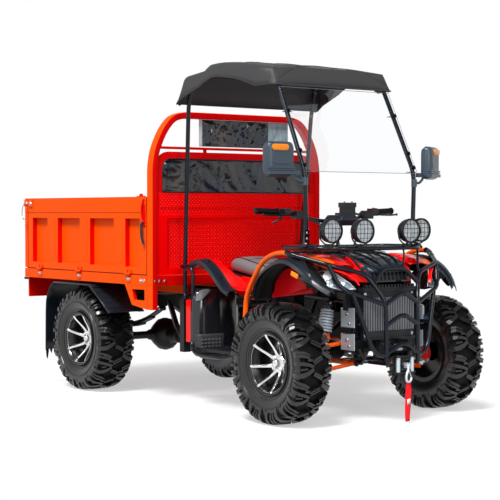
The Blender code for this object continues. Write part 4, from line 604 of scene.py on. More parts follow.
def dress_drop_side(place, side, kit):
    """The pressed side panel, its hem, the strips on its ribs and its latch lever."""
    body = f"drop_side_{place}"
    edges = [-0.628] + [edge for rib in RIBS for edge in rib] + [0.678]
    across = [-0.690] + edges + [0.749]
    up = [PANEL_FOOT, RECESS_FOOT, RECESS_TOP, HEM_FOOT, PANEL_TOP]

    def pressed(column, line):
        if line == 1 and column % 2 == 1:
            return PANEL_DEEP - 0.0030
        return (0.0016, 0.0016, 0.0030, 0.0)[line]

    sheet = stepped(across, up, pressed, 0.038, lambda x, z, deep: (x, side * (BED_HALF + 0.0004 - deep), z))
    made = piece(f"{place} side panel", sheet, kit["orange"], body, [f"drop_side_{place}"], bevel=0.0022)
    # Forward faces of the panel are painted red as painted shade.
    two_tone(made, kit["red"], shaded_front_faces)
    strips = []
    for near, far in RIBS:
        middle, half = (near + far) / 2, (far - near) * 0.26
        outline = [(middle - half, 0.800), (middle + half * 0.5, 0.800), (middle + half, 0.826),
                   (middle + half, 1.050), (middle - half, 1.050)]
        strips.append(prism(outline, "y", side * (BED_HALF - 0.002), side * (BED_HALF + 0.0008)))
    piece(f"{place} rib strips", joined(strips), kit["orange"], body, bevel=0.0012)
    knuckles = []
    for x in HINGES:
        for step in (-0.020, 0.020):
            knuckles.append(turned("x", (x + step, side * (BED_HALF + 0.011), 0.738),
                                   [(-0.009, 0.0078), (0.009, 0.0078)], 14))
            knuckles.append(side_box(side, (x + step - 0.0085, BED_HALF - 0.001, 0.739),
                                     (x + step + 0.0085, BED_HALF + 0.0065, 0.7625)))
    made = piece(f"{place} side hinge leaves", joined(knuckles), kit["orange"], body, bevel=0.001)
    # Forward faces of the hinge leaves are painted red as painted shade.
    two_tone(made, kit["red"], shaded_front_faces)
    latch = [tube(outward([(0.722, BED_HALF + 0.004, 1.052), (0.722, BED_HALF + 0.016, 1.040),
                           (0.724, BED_HALF + 0.019, 1.000), (0.730, BED_HALF + 0.019, 0.950),
                           (0.741, BED_HALF + 0.013, 0.918)], side), 0.0075, 0.03)]
    piece(f"{place} latch lever", joined(latch), kit["plastic"], body)
    plate = [side_box(side, (0.706, BED_HALF - 0.001, 1.020), (0.742, BED_HALF + 0.004, 1.150)),
             tube(outward([(0.733, BED_HALF + 0.006, 1.180), (0.716, BED_HALF + 0.010, 1.140),
                           (0.712, BED_HALF + 0.010, 1.100), (0.722, BED_HALF + 0.008, 1.048)], side),
                           0.0050, 0.03), turned("y", (0.722, 0, 1.048),
                    [(side * (BED_HALF - 0.001), 0.012), (side * (BED_HALF + 0.009), 0.011)], 16)]
    piece(f"{place} latch plate", joined(plate), kit["red"], body, bevel=0.001)
    knob = [turned("z", (0.664, side * (BED_HALF - 0.020), 0),
                   [(PANEL_TOP, 0.012), (PANEL_TOP + 0.012, 0.012), (PANEL_TOP + 0.018, 0.008)], 16),
            side_box(side, (0.630, BED_HALF - 0.030, PANEL_TOP),
                     (0.700, BED_HALF - 0.010, PANEL_TOP + 0.005))]
    piece(f"{place} side knob", joined(knob), kit["red"], body, bevel=0.001)


def dress_corner_latch(place, side, kit):
    """The latch at the top rear corner, with its bolt and the wire handle that hangs from it."""
    y = BED_HALF + 0.004
    bracket = [side_box(side, (-0.734, BED_HALF - 0.001, 1.150), (-0.640, y, 1.176)),
               side_box(side, (-0.7395, BED_HALF - 0.060, 1.140), (-0.733, y, 1.182)),
               side_box(side, (-0.665, BED_HALF - 0.001, 1.135), (-0.620, y + 0.003, 1.185))]
    piece(f"{place} corner latch", joined(bracket), kit["orange"], "tailgate", bevel=0.0015)
    bolts = [bolt((-0.642, side * (y + 0.003), 1.160), (0, side, 0), 0.009),
             bolt((-0.700, side * y, 1.163), (0, side, 0), 0.0055)]
    piece(f"{place} corner latch bolts", joined(bolts), kit["steel"], "tailgate")
    loop = tube(outward([(-0.739, BED_HALF - 0.030, 1.160), (-0.752, BED_HALF - 0.028, 1.120),
                         (-0.752, BED_HALF - 0.026, 1.060), (-0.744, BED_HALF - 0.022, 1.030),
                         (-0.741, BED_HALF - 0.010, 1.020)], side), 0.0032, 0.02)
    piece(f"{place} latch wire", loop, kit["orange"], "tailgate")
    tip = tube(outward([(-0.744, BED_HALF - 0.022, 1.034), (-0.741, BED_HALF - 0.008, 1.016)], side), 0.0052)
    piece(f"{place} latch tip", tip, kit["plastic"], "tailgate")


def dress_bed_frame(kit):
    bolts, brackets, stops = [], [], []
    for side in SIDES.values():
        for x in HINGES:
            for step in (-0.0105, 0.0105):
                bolts.append(bolt((x + step, side * (BED_HALF + 0.0035), 0.7105), (0, side, 0), 0.0058))
            brackets.append(side_box(side, (x - 0.024, BED_HALF - 0.002, 0.6985),
                                     (x + 0.024, BED_HALF + 0.0036, 0.7225)))
        for x in (0.692, 0.722):
            bolts.append(bolt((x, side * BED_HALF, 0.7045), (0, side, 0), 0.0072))
        stops.append(side_box(side, (-0.729, BED_HALF - 0.002, 0.6625), (-0.688, BED_HALF + 0.010, 0.6765)))
        brackets.append(side_box(side, (0.560, BED_HALF - 0.024, 0.6745), (0.755, BED_HALF + 0.0012, 0.6785)))
        bolts.append(bolt((0.665, side * (BED_HALF - 0.012), 0.5560), (0, 0, -1), 0.008))
    piece("rail hinge plates", joined(brackets), kit["orange"], "bed", bevel=0.001)
    piece("rail bolts", joined(bolts), kit["steel"], "bed")
    piece("bump stops", joined(stops), kit["flap"], "bed", bevel=0.003)
    ribs = []
    for x in range(12):
        place = -0.66 + 0.118 * x
        ribs.append(box((place, -0.575, 0.7145), (place + 0.045, 0.575, 0.7185)))
    piece("floor ribs", joined(ribs), kit["orange"], "bed", bevel=0.0015)


def dress_tailgate(kit):
    """The pressed tailgate with its own hem and hinge leaves."""
    across = [-0.6235, -0.520, -0.200, -0.130, 0.130, 0.200, 0.520, 0.6235]
    up = [PANEL_FOOT, RECESS_FOOT, RECESS_TOP, HEM_FOOT, PANEL_TOP]

    def pressed(column, line):
        if line == 1 and column % 2 == 1:
            return PANEL_DEEP - 0.0030
        return (0.0016, 0.0016, 0.0030, 0.0)[line]

    sheet = stepped(across, up, pressed, 0.038, lambda y, z, deep: (BED_REAR_X - 0.0004 + deep, y, z))
    made = piece("tailgate panel", sheet, kit["orange"], "tailgate", ["tailgate"], bevel=0.0022)
    # Forward faces of the tailgate are painted red as painted shade.
    two_tone(made, kit["red"], shaded_front_faces)
    knuckles = []
    for y in (-0.4, 0.4):
        for step in (-0.020, 0.020):
            knuckles.append(turned("y", (BED_REAR_X - 0.011, y + step, 0.738),
                                   [(-0.009, 0.0078), (0.009, 0.0078)], 14))
            knuckles.append(box((BED_REAR_X - 0.0065, y + step - 0.0085, 0.739),
                                (BED_REAR_X + 0.001, y + step + 0.0085, 0.7625)))
    piece("tailgate hinge leaves", joined(knuckles), kit["orange"], "tailgate", bevel=0.001)


HOOP = ((-0.605, 0.537), (-0.605, 1.372), (-0.587, 1.468), (-0.537, 1.574), (-0.474, 1.650), (-0.400, 1.671))


def hoop_path():
    right = [Vector((0.784, y, z)) for y, z in HOOP]
    line = right + [Vector((0.784, -y, z)) for y, z in reversed(HOOP)]
    return eased(line, 0.046, 6)


def hoop(kit):
    """The square tube that runs up one side, over the top and down the other."""
    section = []
    half_deep, half_wide, round_off = 0.029, 0.019, 0.005
    for quarter, (a, b) in enumerate(((1, 1), (-1, 1), (-1, -1), (1, -1))):
        for step in range(4):
            angle = math.pi / 2 * (quarter + step / 3)
            section.append((a * (half_deep - round_off) + round_off * math.cos(angle),
                            b * (half_wide - round_off) + round_off * math.sin(angle)))
    path = hoop_path()
    rings = []
    for index, point in enumerate(path):
        heading = (path[min(index + 1, len(path) - 1)] - path[max(index - 1, 0)]).normalized()
        up = Vector((1, 0, 0)).cross(heading).normalized()
        rings.append([point + Vector((deep, 0, 0)) + up * wide for deep, wide in section])
    made = piece("hoop", loft(rings), kit["red"], "bed", ["headboard"])
    # Side and top faces take the orange as painted light and forward faces keep the red as painted shade: one
    # paint in two tones by how light falls.
    two_tone(made, kit["orange"], lambda centre, normal: abs(normal.x) < 0.75 and
             (abs(centre.y) > 0.612 or normal.z > 0.3 or abs(normal.y) > 0.5 and centre.y * normal.y > 0))


def rounded_outline(half, low, high, radius, steps=8):
    """A board's outline with its two top corners rounded, as (y, z) pairs."""
    line = [(-half, low), (half, low)]
    for sign in (1, -1):
        centre_y, centre_z = sign * (half - radius), high - radius
        for step in range(steps + 1):
            angle = math.pi / 2 * (step / steps if sign > 0 else 1 + step / steps)
            line.append((centre_y + radius * math.cos(angle), centre_z + radius * math.sin(angle)))
    return line


def board_with_window(kit):
    """The headboard's frame round its lower window."""
    outer = rounded_outline(0.588, 1.205, 1.456, 0.092)
    inner = rounded_outline(0.547, 1.218, 1.414, 0.060)
    count = len(outer)
    rings = []
    for index in range(count):
        (oy, oz), (iy, iz) = outer[index], inner[index]
        rings.append([(0.783, oy, oz), (0.801, oy, oz), (0.801, iy, iz), (0.799, iy, iz), (0.783, iy, iz)])
    piece("window board", loft(rings, closed=True), kit["red"], "bed", bevel=0.0012)
    bead = sweep([Vector((0.802, y, z)) for y, z in inner], round_section(0.0035, 8), closed=True)
    piece("window seal", bead, kit["plastic"], "bed")


def pressed_board(kit):
    """The tread-plate panel below the window: a wide shallow pocket under a swage, with raised studs in a
    paler red as painted sheen.
    """
    across = [-0.586, -0.512, 0.512, 0.586]
    up = [0.737, 0.778, 1.067, 1.087, 1.128, 1.2165]

    def pressed(column, line):
        if column == 1 and line == 1:
            return 0.0125
        return 0.0030 if line == 3 else 0.0

    sheet = stepped(across, up, pressed, 0.020, lambda y, z, deep: (0.8045 - deep, y, z))
    piece("pressed board", sheet, kit["board_red"], "bed", bevel=0.0030)
    studs = []
    pitch, line_pitch = 0.0240, 0.0120
    for low, high, x, reach in ((0.790, 1.056, 0.7922, 0.496), (1.137, 1.206, 0.8046, 0.572),
                                (1.093, 1.122, 0.8016, 0.572)):
        count = int((high - low) / line_pitch + 0.5)
        for row in range(count + 1):
            z = low + (high - low) * row / max(count, 1)
            for column in range(48):
                y = -0.5625 + pitch * column + (pitch / 2 if row % 2 else 0)
                if abs(y) < reach:
                    studs.append(stud(x, y, z, 1 if row % 2 else -1))
    piece("tread pattern", joined(studs), kit["red_sheen"], "bed", smooth=60)
    sill = box((0.7715, -0.590, 0.6775), (0.8115, 0.590, 0.7345))
    piece("front sill", sill, kit["red"], "bed", bevel=0.002)
    bolts = [bolt((0.8118, y, 0.7050), (1, 0, 0), 0.0075) for side in SIDES.values()
             for y in (side * 0.572, side * 0.536)]
    bolts += [bolt((0.8132, side * 0.605, z), (1, 0, 0), 0.006) for side in SIDES.values() for z in (0.705,)]
    piece("front sill bolts", joined(bolts), kit["steel"], "bed")


DIAGONAL = 0.7071
STUD_HALF_LENGTH, STUD_HALF_WIDTH, STUD_HEIGHT = 0.0072, 0.0020, 0.0011


def stud(x, y, z, lean):
    """One lozenge of the tread pattern, turned to the left or the right."""
    along = Vector((0, DIAGONAL, DIAGONAL * lean)) * STUD_HALF_LENGTH
    across = Vector((0, -DIAGONAL * lean, DIAGONAL)) * STUD_HALF_WIDTH
    base = Vector((x, y, z))
    ring = [base + along, base + across, base - along, base - across]
    top = base + Vector((STUD_HEIGHT, 0, 0))
    ridge = [top + along * 0.45, top - along * 0.45]
    return ring + ridge, [(0, 1, 4), (1, 2, 5, 4), (2, 3, 5), (3, 0, 4, 5)]


def crinkled(name, y_span, z_span, x, finish, stands_for, seed, strength=0.0022):
    """A limp clear film with creases, a few of them long."""
    rows = []
    columns, lines = 110, 26
    random.seed(seed)
    folds = [(random.uniform(*y_span), random.uniform(*z_span), random.uniform(0, math.pi),
              random.uniform(0.0045, 0.013), random.uniform(-1.0, 1.0)) for _ in range(70)]
    for line in range(lines + 1):
        z = z_span[0] + (z_span[1] - z_span[0]) * line / lines
        row = []
        for column in range(columns + 1):
            y = y_span[0] + (y_span[1] - y_span[0]) * column / columns
            bend = noise.noise(Vector((y * 3, z * 5, seed))) * 2.4
            lift = noise.noise(Vector((y * 9, z * 14, seed))) * 0.9
            lift += 1.1 * math.sin(19 * y + 30 * z + 2 * bend) + 0.40 * math.sin(53 * y + 41 * z + 3 * bend)
            for fold_y, fold_z, angle, width, depth in folds:
                dy, dz = y - fold_y, z - fold_z
                across = dy * math.sin(angle) + dz * math.cos(angle)
                along = dy * math.cos(angle) - dz * math.sin(angle)
                if abs(along) < 0.10:
                    lift += depth * math.exp(-(across / width) ** 2) * (1 - (along / 0.10) ** 2)
            edge = min(1.0, (y - y_span[0]) / 0.03, (y_span[1] - y) / 0.03, (z - z_span[0]) / 0.02,
                       (z_span[1] - z) / 0.02)
            row.append((x + strength * lift * max(edge, 0.0), y, z))
        rows.append(row)
    return piece(name, grid(rows), finish, "bed", stands_for, smooth=60, thick=0.0006)


def shade_strips(kit):
    """Dark orange strips inside the hinge gaps as painted shade, and the wire handles at the rear ends of the
    drop sides.
    """
    strips = []
    for place, side in SIDES.items():
        # Dark orange strips fill the hinge gaps as painted shade.
        strips.append(side_box(side, (BED_REAR_X + 0.010, 0.598, 0.7340), (0.775, 0.6125, 0.7402)))
        wire = [(-0.668, 0.6520, 1.176), (-0.700, 0.6545, 1.150), (-0.718, 0.6550, 1.110),
                (-0.716, 0.6550, 1.072), (-0.690, 0.6545, 1.052), (-0.668, 0.6525, 1.058)]
        piece(f"{place} corner wire", tube(outward(wire, side), 0.0032, 0.02, 5, 10), kit["steel"],
              f"drop_side_{place}")
    strips.append(box((BED_REAR_X + 0.012, -0.600, 0.7340), (BED_REAR_X + 0.026, 0.600, 0.7402)))
    piece("gap seals", joined(strips), kit["shaded_orange"], "bed")


def windows(kit):
    crinkled("lower window film", (-0.546, 0.546), (1.2185, 1.4135), 0.7915, kit["film"], ["window_lower"],
             3, 0.0042)
    crinkled("upper window film", (-0.262, 0.232), (1.4915, 1.6500), 0.792, kit["film"], ["window_upper"],
             8, 0.0042)
    crinkled("clear window film", (0.232, 0.385), (1.4915, 1.6500), 0.792, kit["clear_film"], [], 12, 0.0014)
    crinkled("window film hem", (-0.283, -0.259), (1.4915, 1.6500), 0.7932, kit["film_hem"], [], 15, 0.0010)
    rail = box((0.783, -0.572, 1.4705), (0.803, 0.572, 1.4855))
    feet = [box((0.786, y - 0.010, 1.452), (0.800, y + 0.010, 1.472)) for y in (-0.24, 0.24)]
    piece("window rail", joined([rail, *feet]), kit["red"], "bed", bevel=0.003)


def cargo(kit):
    paint_node("bed_frame", kit["orange"], 0.0022)
    # Forward faces of the bed frame are painted red as painted shade.
    two_tone(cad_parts["bed_frame"], kit["red"], shaded_front_faces)
    for place, side in SIDES.items():
        dress_drop_side(place, side, kit)
        dress_corner_latch(place, side, kit)
    dress_bed_frame(kit)
    dress_tailgate(kit)
    hoop(kit)
    board_with_window(kit)
    pressed_board(kit)
    windows(kit)
    shade_strips(kit)


def paint_node(node, finish, bevel=0.0):
    """Gives a node of the frame its finish and softens its edges."""
    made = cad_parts[node]
    made.data.materials.clear()
    made.data.materials.append(finish)
    for face in made.data.polygons:
        face.material_index = 0
    if bevel:
        edge = made.modifiers.new("edges", "BEVEL")
        edge.width = bevel
        edge.segments = 2
        edge.limit_method = "ANGLE"
        edge.angle_limit = math.radians(35)
        edge.harden_normals = True
    return made


# Cab
ROOF_STATIONS = ((0.912, 0.526, 0.500, 1.722, 1.722), (0.930, 0.524, 0.497, 1.732, 1.800),
                 (0.955, 0.522, 0.493, 1.746, 1.866), (0.975, 0.520, 0.490, 1.756, 1.881),
                 (1.060, 0.515, 0.485, 1.786, 1.891), (1.135, 0.510, 0.480, 1.812, 1.901),
                 (1.150, 0.509, 0.473, 1.820, 1.917), (1.170, 0.508, 0.465, 1.830, 1.933),
                 (1.230, 0.504, 0.460, 1.853, 1.937), (1.290, 0.500, 0.455, 1.854, 1.937),
                 (1.420, 0.480, 0.445, 1.836, 1.923), (1.500, 0.465, 0.435, 1.812, 1.911),
                 (1.560, 0.450, 0.420, 1.787, 1.901), (1.655, 0.430, 0.400, 1.790, 1.883),
                 (1.690, 0.420, 0.397, 1.789, 1.825), (1.704, 0.415, 0.395, 1.788, 1.791))


def roof_height(x, y):
    """The roof's outer height over a place on its top."""
    for near, far in zip(ROOF_STATIONS, ROOF_STATIONS[1:]):
        if near[0] <= x <= far[0]:
            part = (x - near[0]) / (far[0] - near[0])
            shoulder = near[2] * (1 - part) + far[2] * part
            high = near[4] * (1 - part) + far[4] * part
            rise = 0.012 * min(1.0, max(0.0, (shoulder - abs(y)) / (shoulder * 0.5)))
            return high + rise
    return 1.88


def roof(kit):
    rows = []
    for index, (x, foot, shoulder, low, high) in enumerate(ROOF_STATIONS):
        crown = 0.0 if index in (0, len(ROOF_STATIONS) - 1) else 0.012
        side = [(foot, low), (foot - 0.2 * (foot - shoulder), low + 0.3 * (high - low)),
                (foot - 0.62 * (foot - shoulder), low + 0.72 * (high - low)),
                (shoulder + 0.004, high - 0.008), (shoulder - 0.010, high),
                (shoulder * 0.8, high + crown * 0.55),
                (shoulder * 0.5, high + crown), (shoulder * 0.2, high + crown)]
        rows.append([(x, -y, z) for y, z in side] + [(x, y, z) for y, z in reversed(side)])
    outer = piece("roof shell", grid(rows), kit["roof"], "chassis", ["roof"], smooth=30, thick=0.005)
    outer.modifiers["thickness"].offset = -1.0
    hem = []
    for side in SIDES.values():
        hem.append(tube([(x, side * (foot - 0.003), low + 0.003) for x, foot, _, low, _ in ROOF_STATIONS[3:]],
                        0.004, 0.01, 1, 8))
    hem.append(tube([(0.915, y, 1.7245) for y in (-0.495, 0.0, 0.495)], 0.004, 0.01, 1, 8))
    hem.append(tube([(1.703, y, 1.791) for y in (-0.412, 0.0, 0.412)], 0.0045, 0.01, 1, 8))
    piece("roof hem", joined(hem), kit["roof"], "chassis")
    marks = []
    for side in SIDES.values():
        wedge = [(1.628, 0.150), (1.690, 0.385), (1.655, 0.392), (1.600, 0.300)]
        marks.append(raised_frame(outward_pairs(wedge, side), 0.007))
        triangle = [(1.30, 0.24), (1.43, 0.30), (1.33, 0.33)]
        marks.append(raised_frame(outward_pairs(triangle, side), 0.006))
    piece("roof pressings", joined(marks), kit["roof"], "chassis")
    ribs = []
    for y in (-0.30, -0.10, 0.10, 0.30):
        line = [(x, y, roof_height(x, y) + 0.001) for x in (1.19, 1.30, 1.42, 1.52, 1.60)]
        ribs.append(tube(line, 0.0035, 0.03, 2, 8))
    piece("roof ribs", joined(ribs), kit["roof"], "chassis")


def outward_pairs(pairs, side):
    return [(x, side * y) for x, y in pairs]


def raised_frame(outline, width):
    """A raised border that follows an outline over the roof."""
    path = []
    for (x, y), (after_x, after_y) in zip(outline, outline[1:] + outline[:1]):
        for step in range(4):
            part = step / 4
            spot = (x + (after_x - x) * part, y + (after_y - y) * part)
            path.append(Vector((spot[0], spot[1], roof_height(*spot) + 0.0012)))
    return sweep(path, round_section(width / 2, 8), closed=True)


FRONT_POST = ((1.925, 0.377, 0.9299), (1.925, 0.390, 1.315), (1.684, 0.376, 1.790), (1.639, 0.366, 1.872))
REAR_POST = ((0.857, 0.425, 0.5975), (0.857, 0.425, 0.750), (0.938, 0.455, 1.720), (0.985, 0.455, 1.869))


def posts(kit):
    for place, side in SIDES.items():
        rear = [tube(outward(REAR_POST, side), 0.0125, 0.06, 6)]
        rear.append(turned("z", (0.857, side * 0.425, 0),
                           [(0.597, 0.0165), (0.622, 0.0165), (0.626, 0.0135)], 16))
        piece(f"{place} rear post", joined(rear), kit["tube"], "chassis", [f"rear_post_{place}"])
        front = [tube(outward(FRONT_POST, side), 0.0125, 0.07, 8)]
        front.append(flat_bar(outward([(1.925, 0.352, 0.9335), (1.925, 0.402, 0.9335)], side), 0.052, 0.005))
        front.append(side_box(side, (1.938, 0.372, 0.935), (1.943, 0.402, 1.010)))
        for height in (1.325, 1.640):
            x = 1.925 - 0.241 * (height - 1.315) / 0.475 - 0.004
            front.append(flat_bar(outward([(x - 0.006, 0.352, height), (x + 0.006, 0.398, height)], side),
                                  0.03, 0.004))
        piece(f"{place} front post", joined(front), kit["tube"], "chassis", [f"front_post_{place}"])
        bolts = [bolt((1.944, side * 0.388, z), (1, 0, 0), 0.006) for z in (0.965, 0.995)]
        bolts += [bolt((1.925 + dx, side * y, 0.936), (0, 0, 1), 0.006) for dx,
                  y in ((-0.016, 0.360), (0.018, 0.397))]
        piece(f"{place} post bolts", joined(bolts), kit["steel"], "chassis")


def screen_point(height, y, lift):
    """A place on the windscreen's back face, lifted forward from it."""
    part = (height - 1.315) / 0.475
    slope = Vector((-0.241, 0, 0.475)).normalized()
    normal = Vector((slope.z, 0, -slope.x))
    return Vector((1.925 - 0.241 * part, y, height)) + normal * (0.0118 + lift)


def windscreen(kit):
    ends = ((1.3115, 0.402), (1.7715, 0.392))
    heights = (1.3115, 1.40, 1.55, 1.70, 1.7715)

    def half(height):
        return 0.402 - 0.010 * (height - 1.3115) / 0.46

    rows = [[screen_point(height, y * half(height), 0.0017) for y in (-1, -0.5, 0.0, 0.5,
                                                                      1)] for height in heights]
    piece("screen sheet", grid(rows), kit["glass"], "chassis", ["windscreen"], thick=0.003)
    edge = []
    for height, reach in ends:
        edge.append(tube([screen_point(height, y, 0.0017) for y in (-reach, 0.0, reach)], 0.0016, 0.01, 1, 6))
    for side in SIDES.values():
        edge.append(tube([screen_point(z, side * half(z), 0.0017) for z in heights], 0.0012, 0.01, 1, 6))
    piece("screen edge", joined(edge), kit["screen_edge"], "chassis")
    fixings = []
    for side in SIDES.values():
        for height in (1.345, 1.425, 1.640):
            y = 0.390 - 0.014 * (height - 1.315) / 0.475
            start = screen_point(height, side * y, 0.0032)
            fixings.append(bolt(start, (0.89, 0, 0.45), 0.0080))
            fixings.append(sweep([start, start + Vector((0.89, 0, 0.45)) * 0.0015], round_section(0.013, 16)))
    piece("screen fixings", joined(fixings), kit["tube"], "chassis")


MIRROR_X, MIRROR_Y = 1.898, 0.540
MIRROR_SWING = {"right": 0, "left": 30}


def mirror_place(place, side):
    """The turn and the place of a mirror's own coordinates: depth forward, then left, then up."""
    return Matrix.Translation((MIRROR_X, side * MIRROR_Y, 0)) @ Matrix.Rotation(
        math.radians(MIRROR_SWING[place]), 4, "Z")


def rounded_plate(half, low, high, radius, depth, steps=5):
    """A ring with rounded corners at one depth of the mirror's head."""
    ring = []
    for quarter, (a, b) in enumerate(((1, 1), (-1, 1), (-1, -1), (1, -1))):
        centre_y = a * (half - radius)
        centre_z = high - radius if b > 0 else low + radius
        for step in range(steps + 1):
            angle = math.pi / 2 * (quarter + step / steps)
            ring.append(Vector((depth, centre_y + radius * math.cos(angle),
                                centre_z + radius * math.sin(angle))))
    return ring


def mirrors(kit):
    """Each mirror's housing with face panel, ribbed band across its foot, reflector and glass."""
    for place, side in SIDES.items():
        put = mirror_place(place, side)
        head = [(-0.031, 0.083, 1.302, 1.456), (-0.026, 0.087, 1.298, 1.460), (-0.010, 0.088, 1.286, 1.472),
                (0.010, 0.086, 1.290, 1.470), (0.022, 0.080, 1.296, 1.463), (0.028, 0.071, 1.306, 1.452)]
        shapes = [moved(loft([rounded_plate(half, low, high, 0.026, depth) for depth, half, low,
                              high in head]), put)]
        panel = [rounded_plate(0.064, 1.352, 1.446, 0.016, 0.0275),
                 rounded_plate(0.062, 1.354, 1.444, 0.015, 0.0310)]
        shapes.append(moved(loft(panel), put))
        for low, high, reach in ((1.300, 1.318, 0.0345), (1.3205, 1.328, 0.0325), (1.3305, 1.338, 0.0325)):
            shapes.append(moved(box((0.000, -0.0875, low), (reach, 0.0875, high)), put))
        stay = [(1.925, 0.4005, 1.265), (1.926, 0.430, 1.265), (1.918, 0.462, 1.290), (1.912, 0.485, 1.320)]
        shapes.append(tube(outward(stay, side), 0.0075))
        shapes.append(side_box(side, (1.904, 0.420, 1.298), (1.926, 0.490, 1.322)))
        shapes.append(turned("z", (1.925, side * 0.390, 0), [(1.244, 0.0160), (1.286, 0.0160)], 20))
        piece(f"{place} mirror housing", joined(shapes), kit["mirror_shell"], "chassis", [f"mirror_{place}"],
              bevel=0.0015)
        amber = [rounded_plate(0.054, 1.425, 1.457, 0.0155, depth) for depth in (0.0285, 0.0338)]
        amber.append(rounded_plate(0.050, 1.429, 1.453, 0.0115, 0.0352))
        shift = Matrix.Translation((0, 0.014 * side, 0))
        piece(f"{place} mirror reflector", moved(loft(amber), put @ shift), kit["amber"], "chassis",
              smooth=50)
        glass = [rounded_plate(0.076, 1.310, 1.450, 0.022, depth) for depth in (-0.0310, -0.0330)]
        piece(f"{place} mirror glass", moved(loft(glass), put), kit["mirror"], "chassis")


# Handlebar
BAR_LINE = ((1.625, 0.487, 1.110), (1.655, 0.300, 1.100), (1.705, 0.120, 1.055), (1.705, -0.120, 1.055),
            (1.655, -0.300, 1.100), (1.625, -0.487, 1.110))


def handlebar(kit):
    stem = tube([(1.7, 0, 1.05), (1.865, 0, 0.42)], 0.011, sides=16)
    shapes = [stem, tube(BAR_LINE, 0.011, 0.05, 6)]
    for side in SIDES.values():
        shapes.append(side_box(side, (1.688, 0.020, 1.028), (1.722, 0.050, 1.072)))
        shapes.append(tube(outward([(1.676, 0.285, 1.094), (1.700, 0.318, 1.090), (1.708, 0.350, 1.088),
                                    (1.694, 0.420, 1.086), (1.682, 0.478, 1.090)], side), 0.0055, 0.03, 5,
                                    10))
        shapes.append(ball(outward([(1.682, 0.480, 1.090)], side)[0], 0.0075))
        shapes.append(turned("y", (1.668, 0, 1.098), [(side * 0.285, 0.017), (side * 0.312, 0.017)], 18))
    piece("bars and levers", joined(shapes), kit["tube"], "steering", ["handlebar"])
    grips = []
    for side in SIDES.values():
        inner = Vector(outward([(1.6425, 0.355, 1.1045)], side)[0])
        outer = Vector(outward([(1.625, 0.487, 1.110)], side)[0])
        steps = 26
        for number in range(steps):
            start = inner + (outer - inner) * number / steps
            end = inner + (outer - inner) * (number + 0.62) / steps
            grips.append(sweep([start, end], round_section(0.0172, 18)))
        grips.append(sweep([inner, outer], round_section(0.0155, 18)))
        for spot, size in ((inner, 0.022), (outer, 0.0195)):
            push = (outer - inner).normalized() * 0.004
            grips.append(sweep([spot - push, spot + push], round_section(size, 20)))
    piece("grips", joined(grips), kit["flap"], "steering")
    switches = []
    for side in SIDES.values():
        switches.append(side_box(side, (1.640, 0.290, 1.082), (1.690, 0.336, 1.124)))
        switches.append(side_box(side, (1.632, 0.300, 1.094), (1.644, 0.326, 1.114)))
        switches.append(side_box(side, (1.660, 0.215, 1.066), (1.718, 0.275, 1.104)))
        switches.append(side_box(side, (1.666, 0.220, 1.103), (1.712, 0.270, 1.112)))
    switches.append(side_box(-1, (1.656, 0.338, 1.060), (1.672, 0.352, 1.096)))
    switches.append(tube([(1.664, -0.345, 1.085), (1.655, -0.362, 1.055), (1.640, -0.385, 1.045)], 0.006))
    piece("switch boxes", joined(switches), kit["plastic"], "steering", bevel=0.003)
    pod = [box((1.745, -0.002, 1.080), (1.798, 0.070, 1.132)),
           box((1.741, -0.006, 1.130), (1.802, 0.074, 1.156))]
    pod.append(box((1.700, 0.005, 1.060), (1.750, 0.055, 1.100)))
    pod.append(tube([(1.755, 0.070, 1.105), (1.735, 0.110, 1.098), (1.700, 0.180, 1.090)], 0.007))
    for y in (0.006, 0.060):
        pod.append(bolt((1.780, y, 1.157), (0, 0, 1), 0.005))
    piece("instrument pod", joined(pod), kit["plastic"], "steering", bevel=0.006)
    dial = sweep([Vector((1.7410, 0.034, 1.112)), Vector((1.7380, 0.034, 1.112))], round_section(0.019, 28))
    piece("instrument glass", dial, kit["black_alloy"], "steering")
    cover = loft([[(x, y, 1.030) for x, y in ((1.735, -0.085), (1.835, -0.060), (1.835, 0.045),
                                              (1.735, 0.060))],
                  [(x, y, 1.062) for x, y in ((1.728, -0.100), (1.850, -0.075), (1.850, 0.050),
                                              (1.728, 0.070))],
                  [(x, y, 1.088) for x, y in ((1.735, -0.080), (1.838, -0.060), (1.838, 0.040),
                                              (1.735, 0.052))]])
    piece("column cover", cover, kit["flare"], "steering", bevel=0.006)
    button = side_box(1, (1.664, 0.308, 1.1235), (1.676, 0.320, 1.129))
    piece("stop button", button, kit["red_lens"], "steering", bevel=0.002)
    cables = []
    for side, reach in ((-1, 0.0), (-1, 0.02), (1, 0.0), (1, 0.025)):
        cables.append(tube(outward([(1.700, 0.245 - reach, 1.075), (1.750, 0.200 - reach, 1.060),
                                    (1.800, 0.120 - reach, 1.000), (1.800, 0.060, 0.930),
                                    (1.790, 0.040, 0.880)], side), 0.0036, 0.08, 8, 8))
    piece("bar cables", joined(cables), kit["cable"], "chassis")


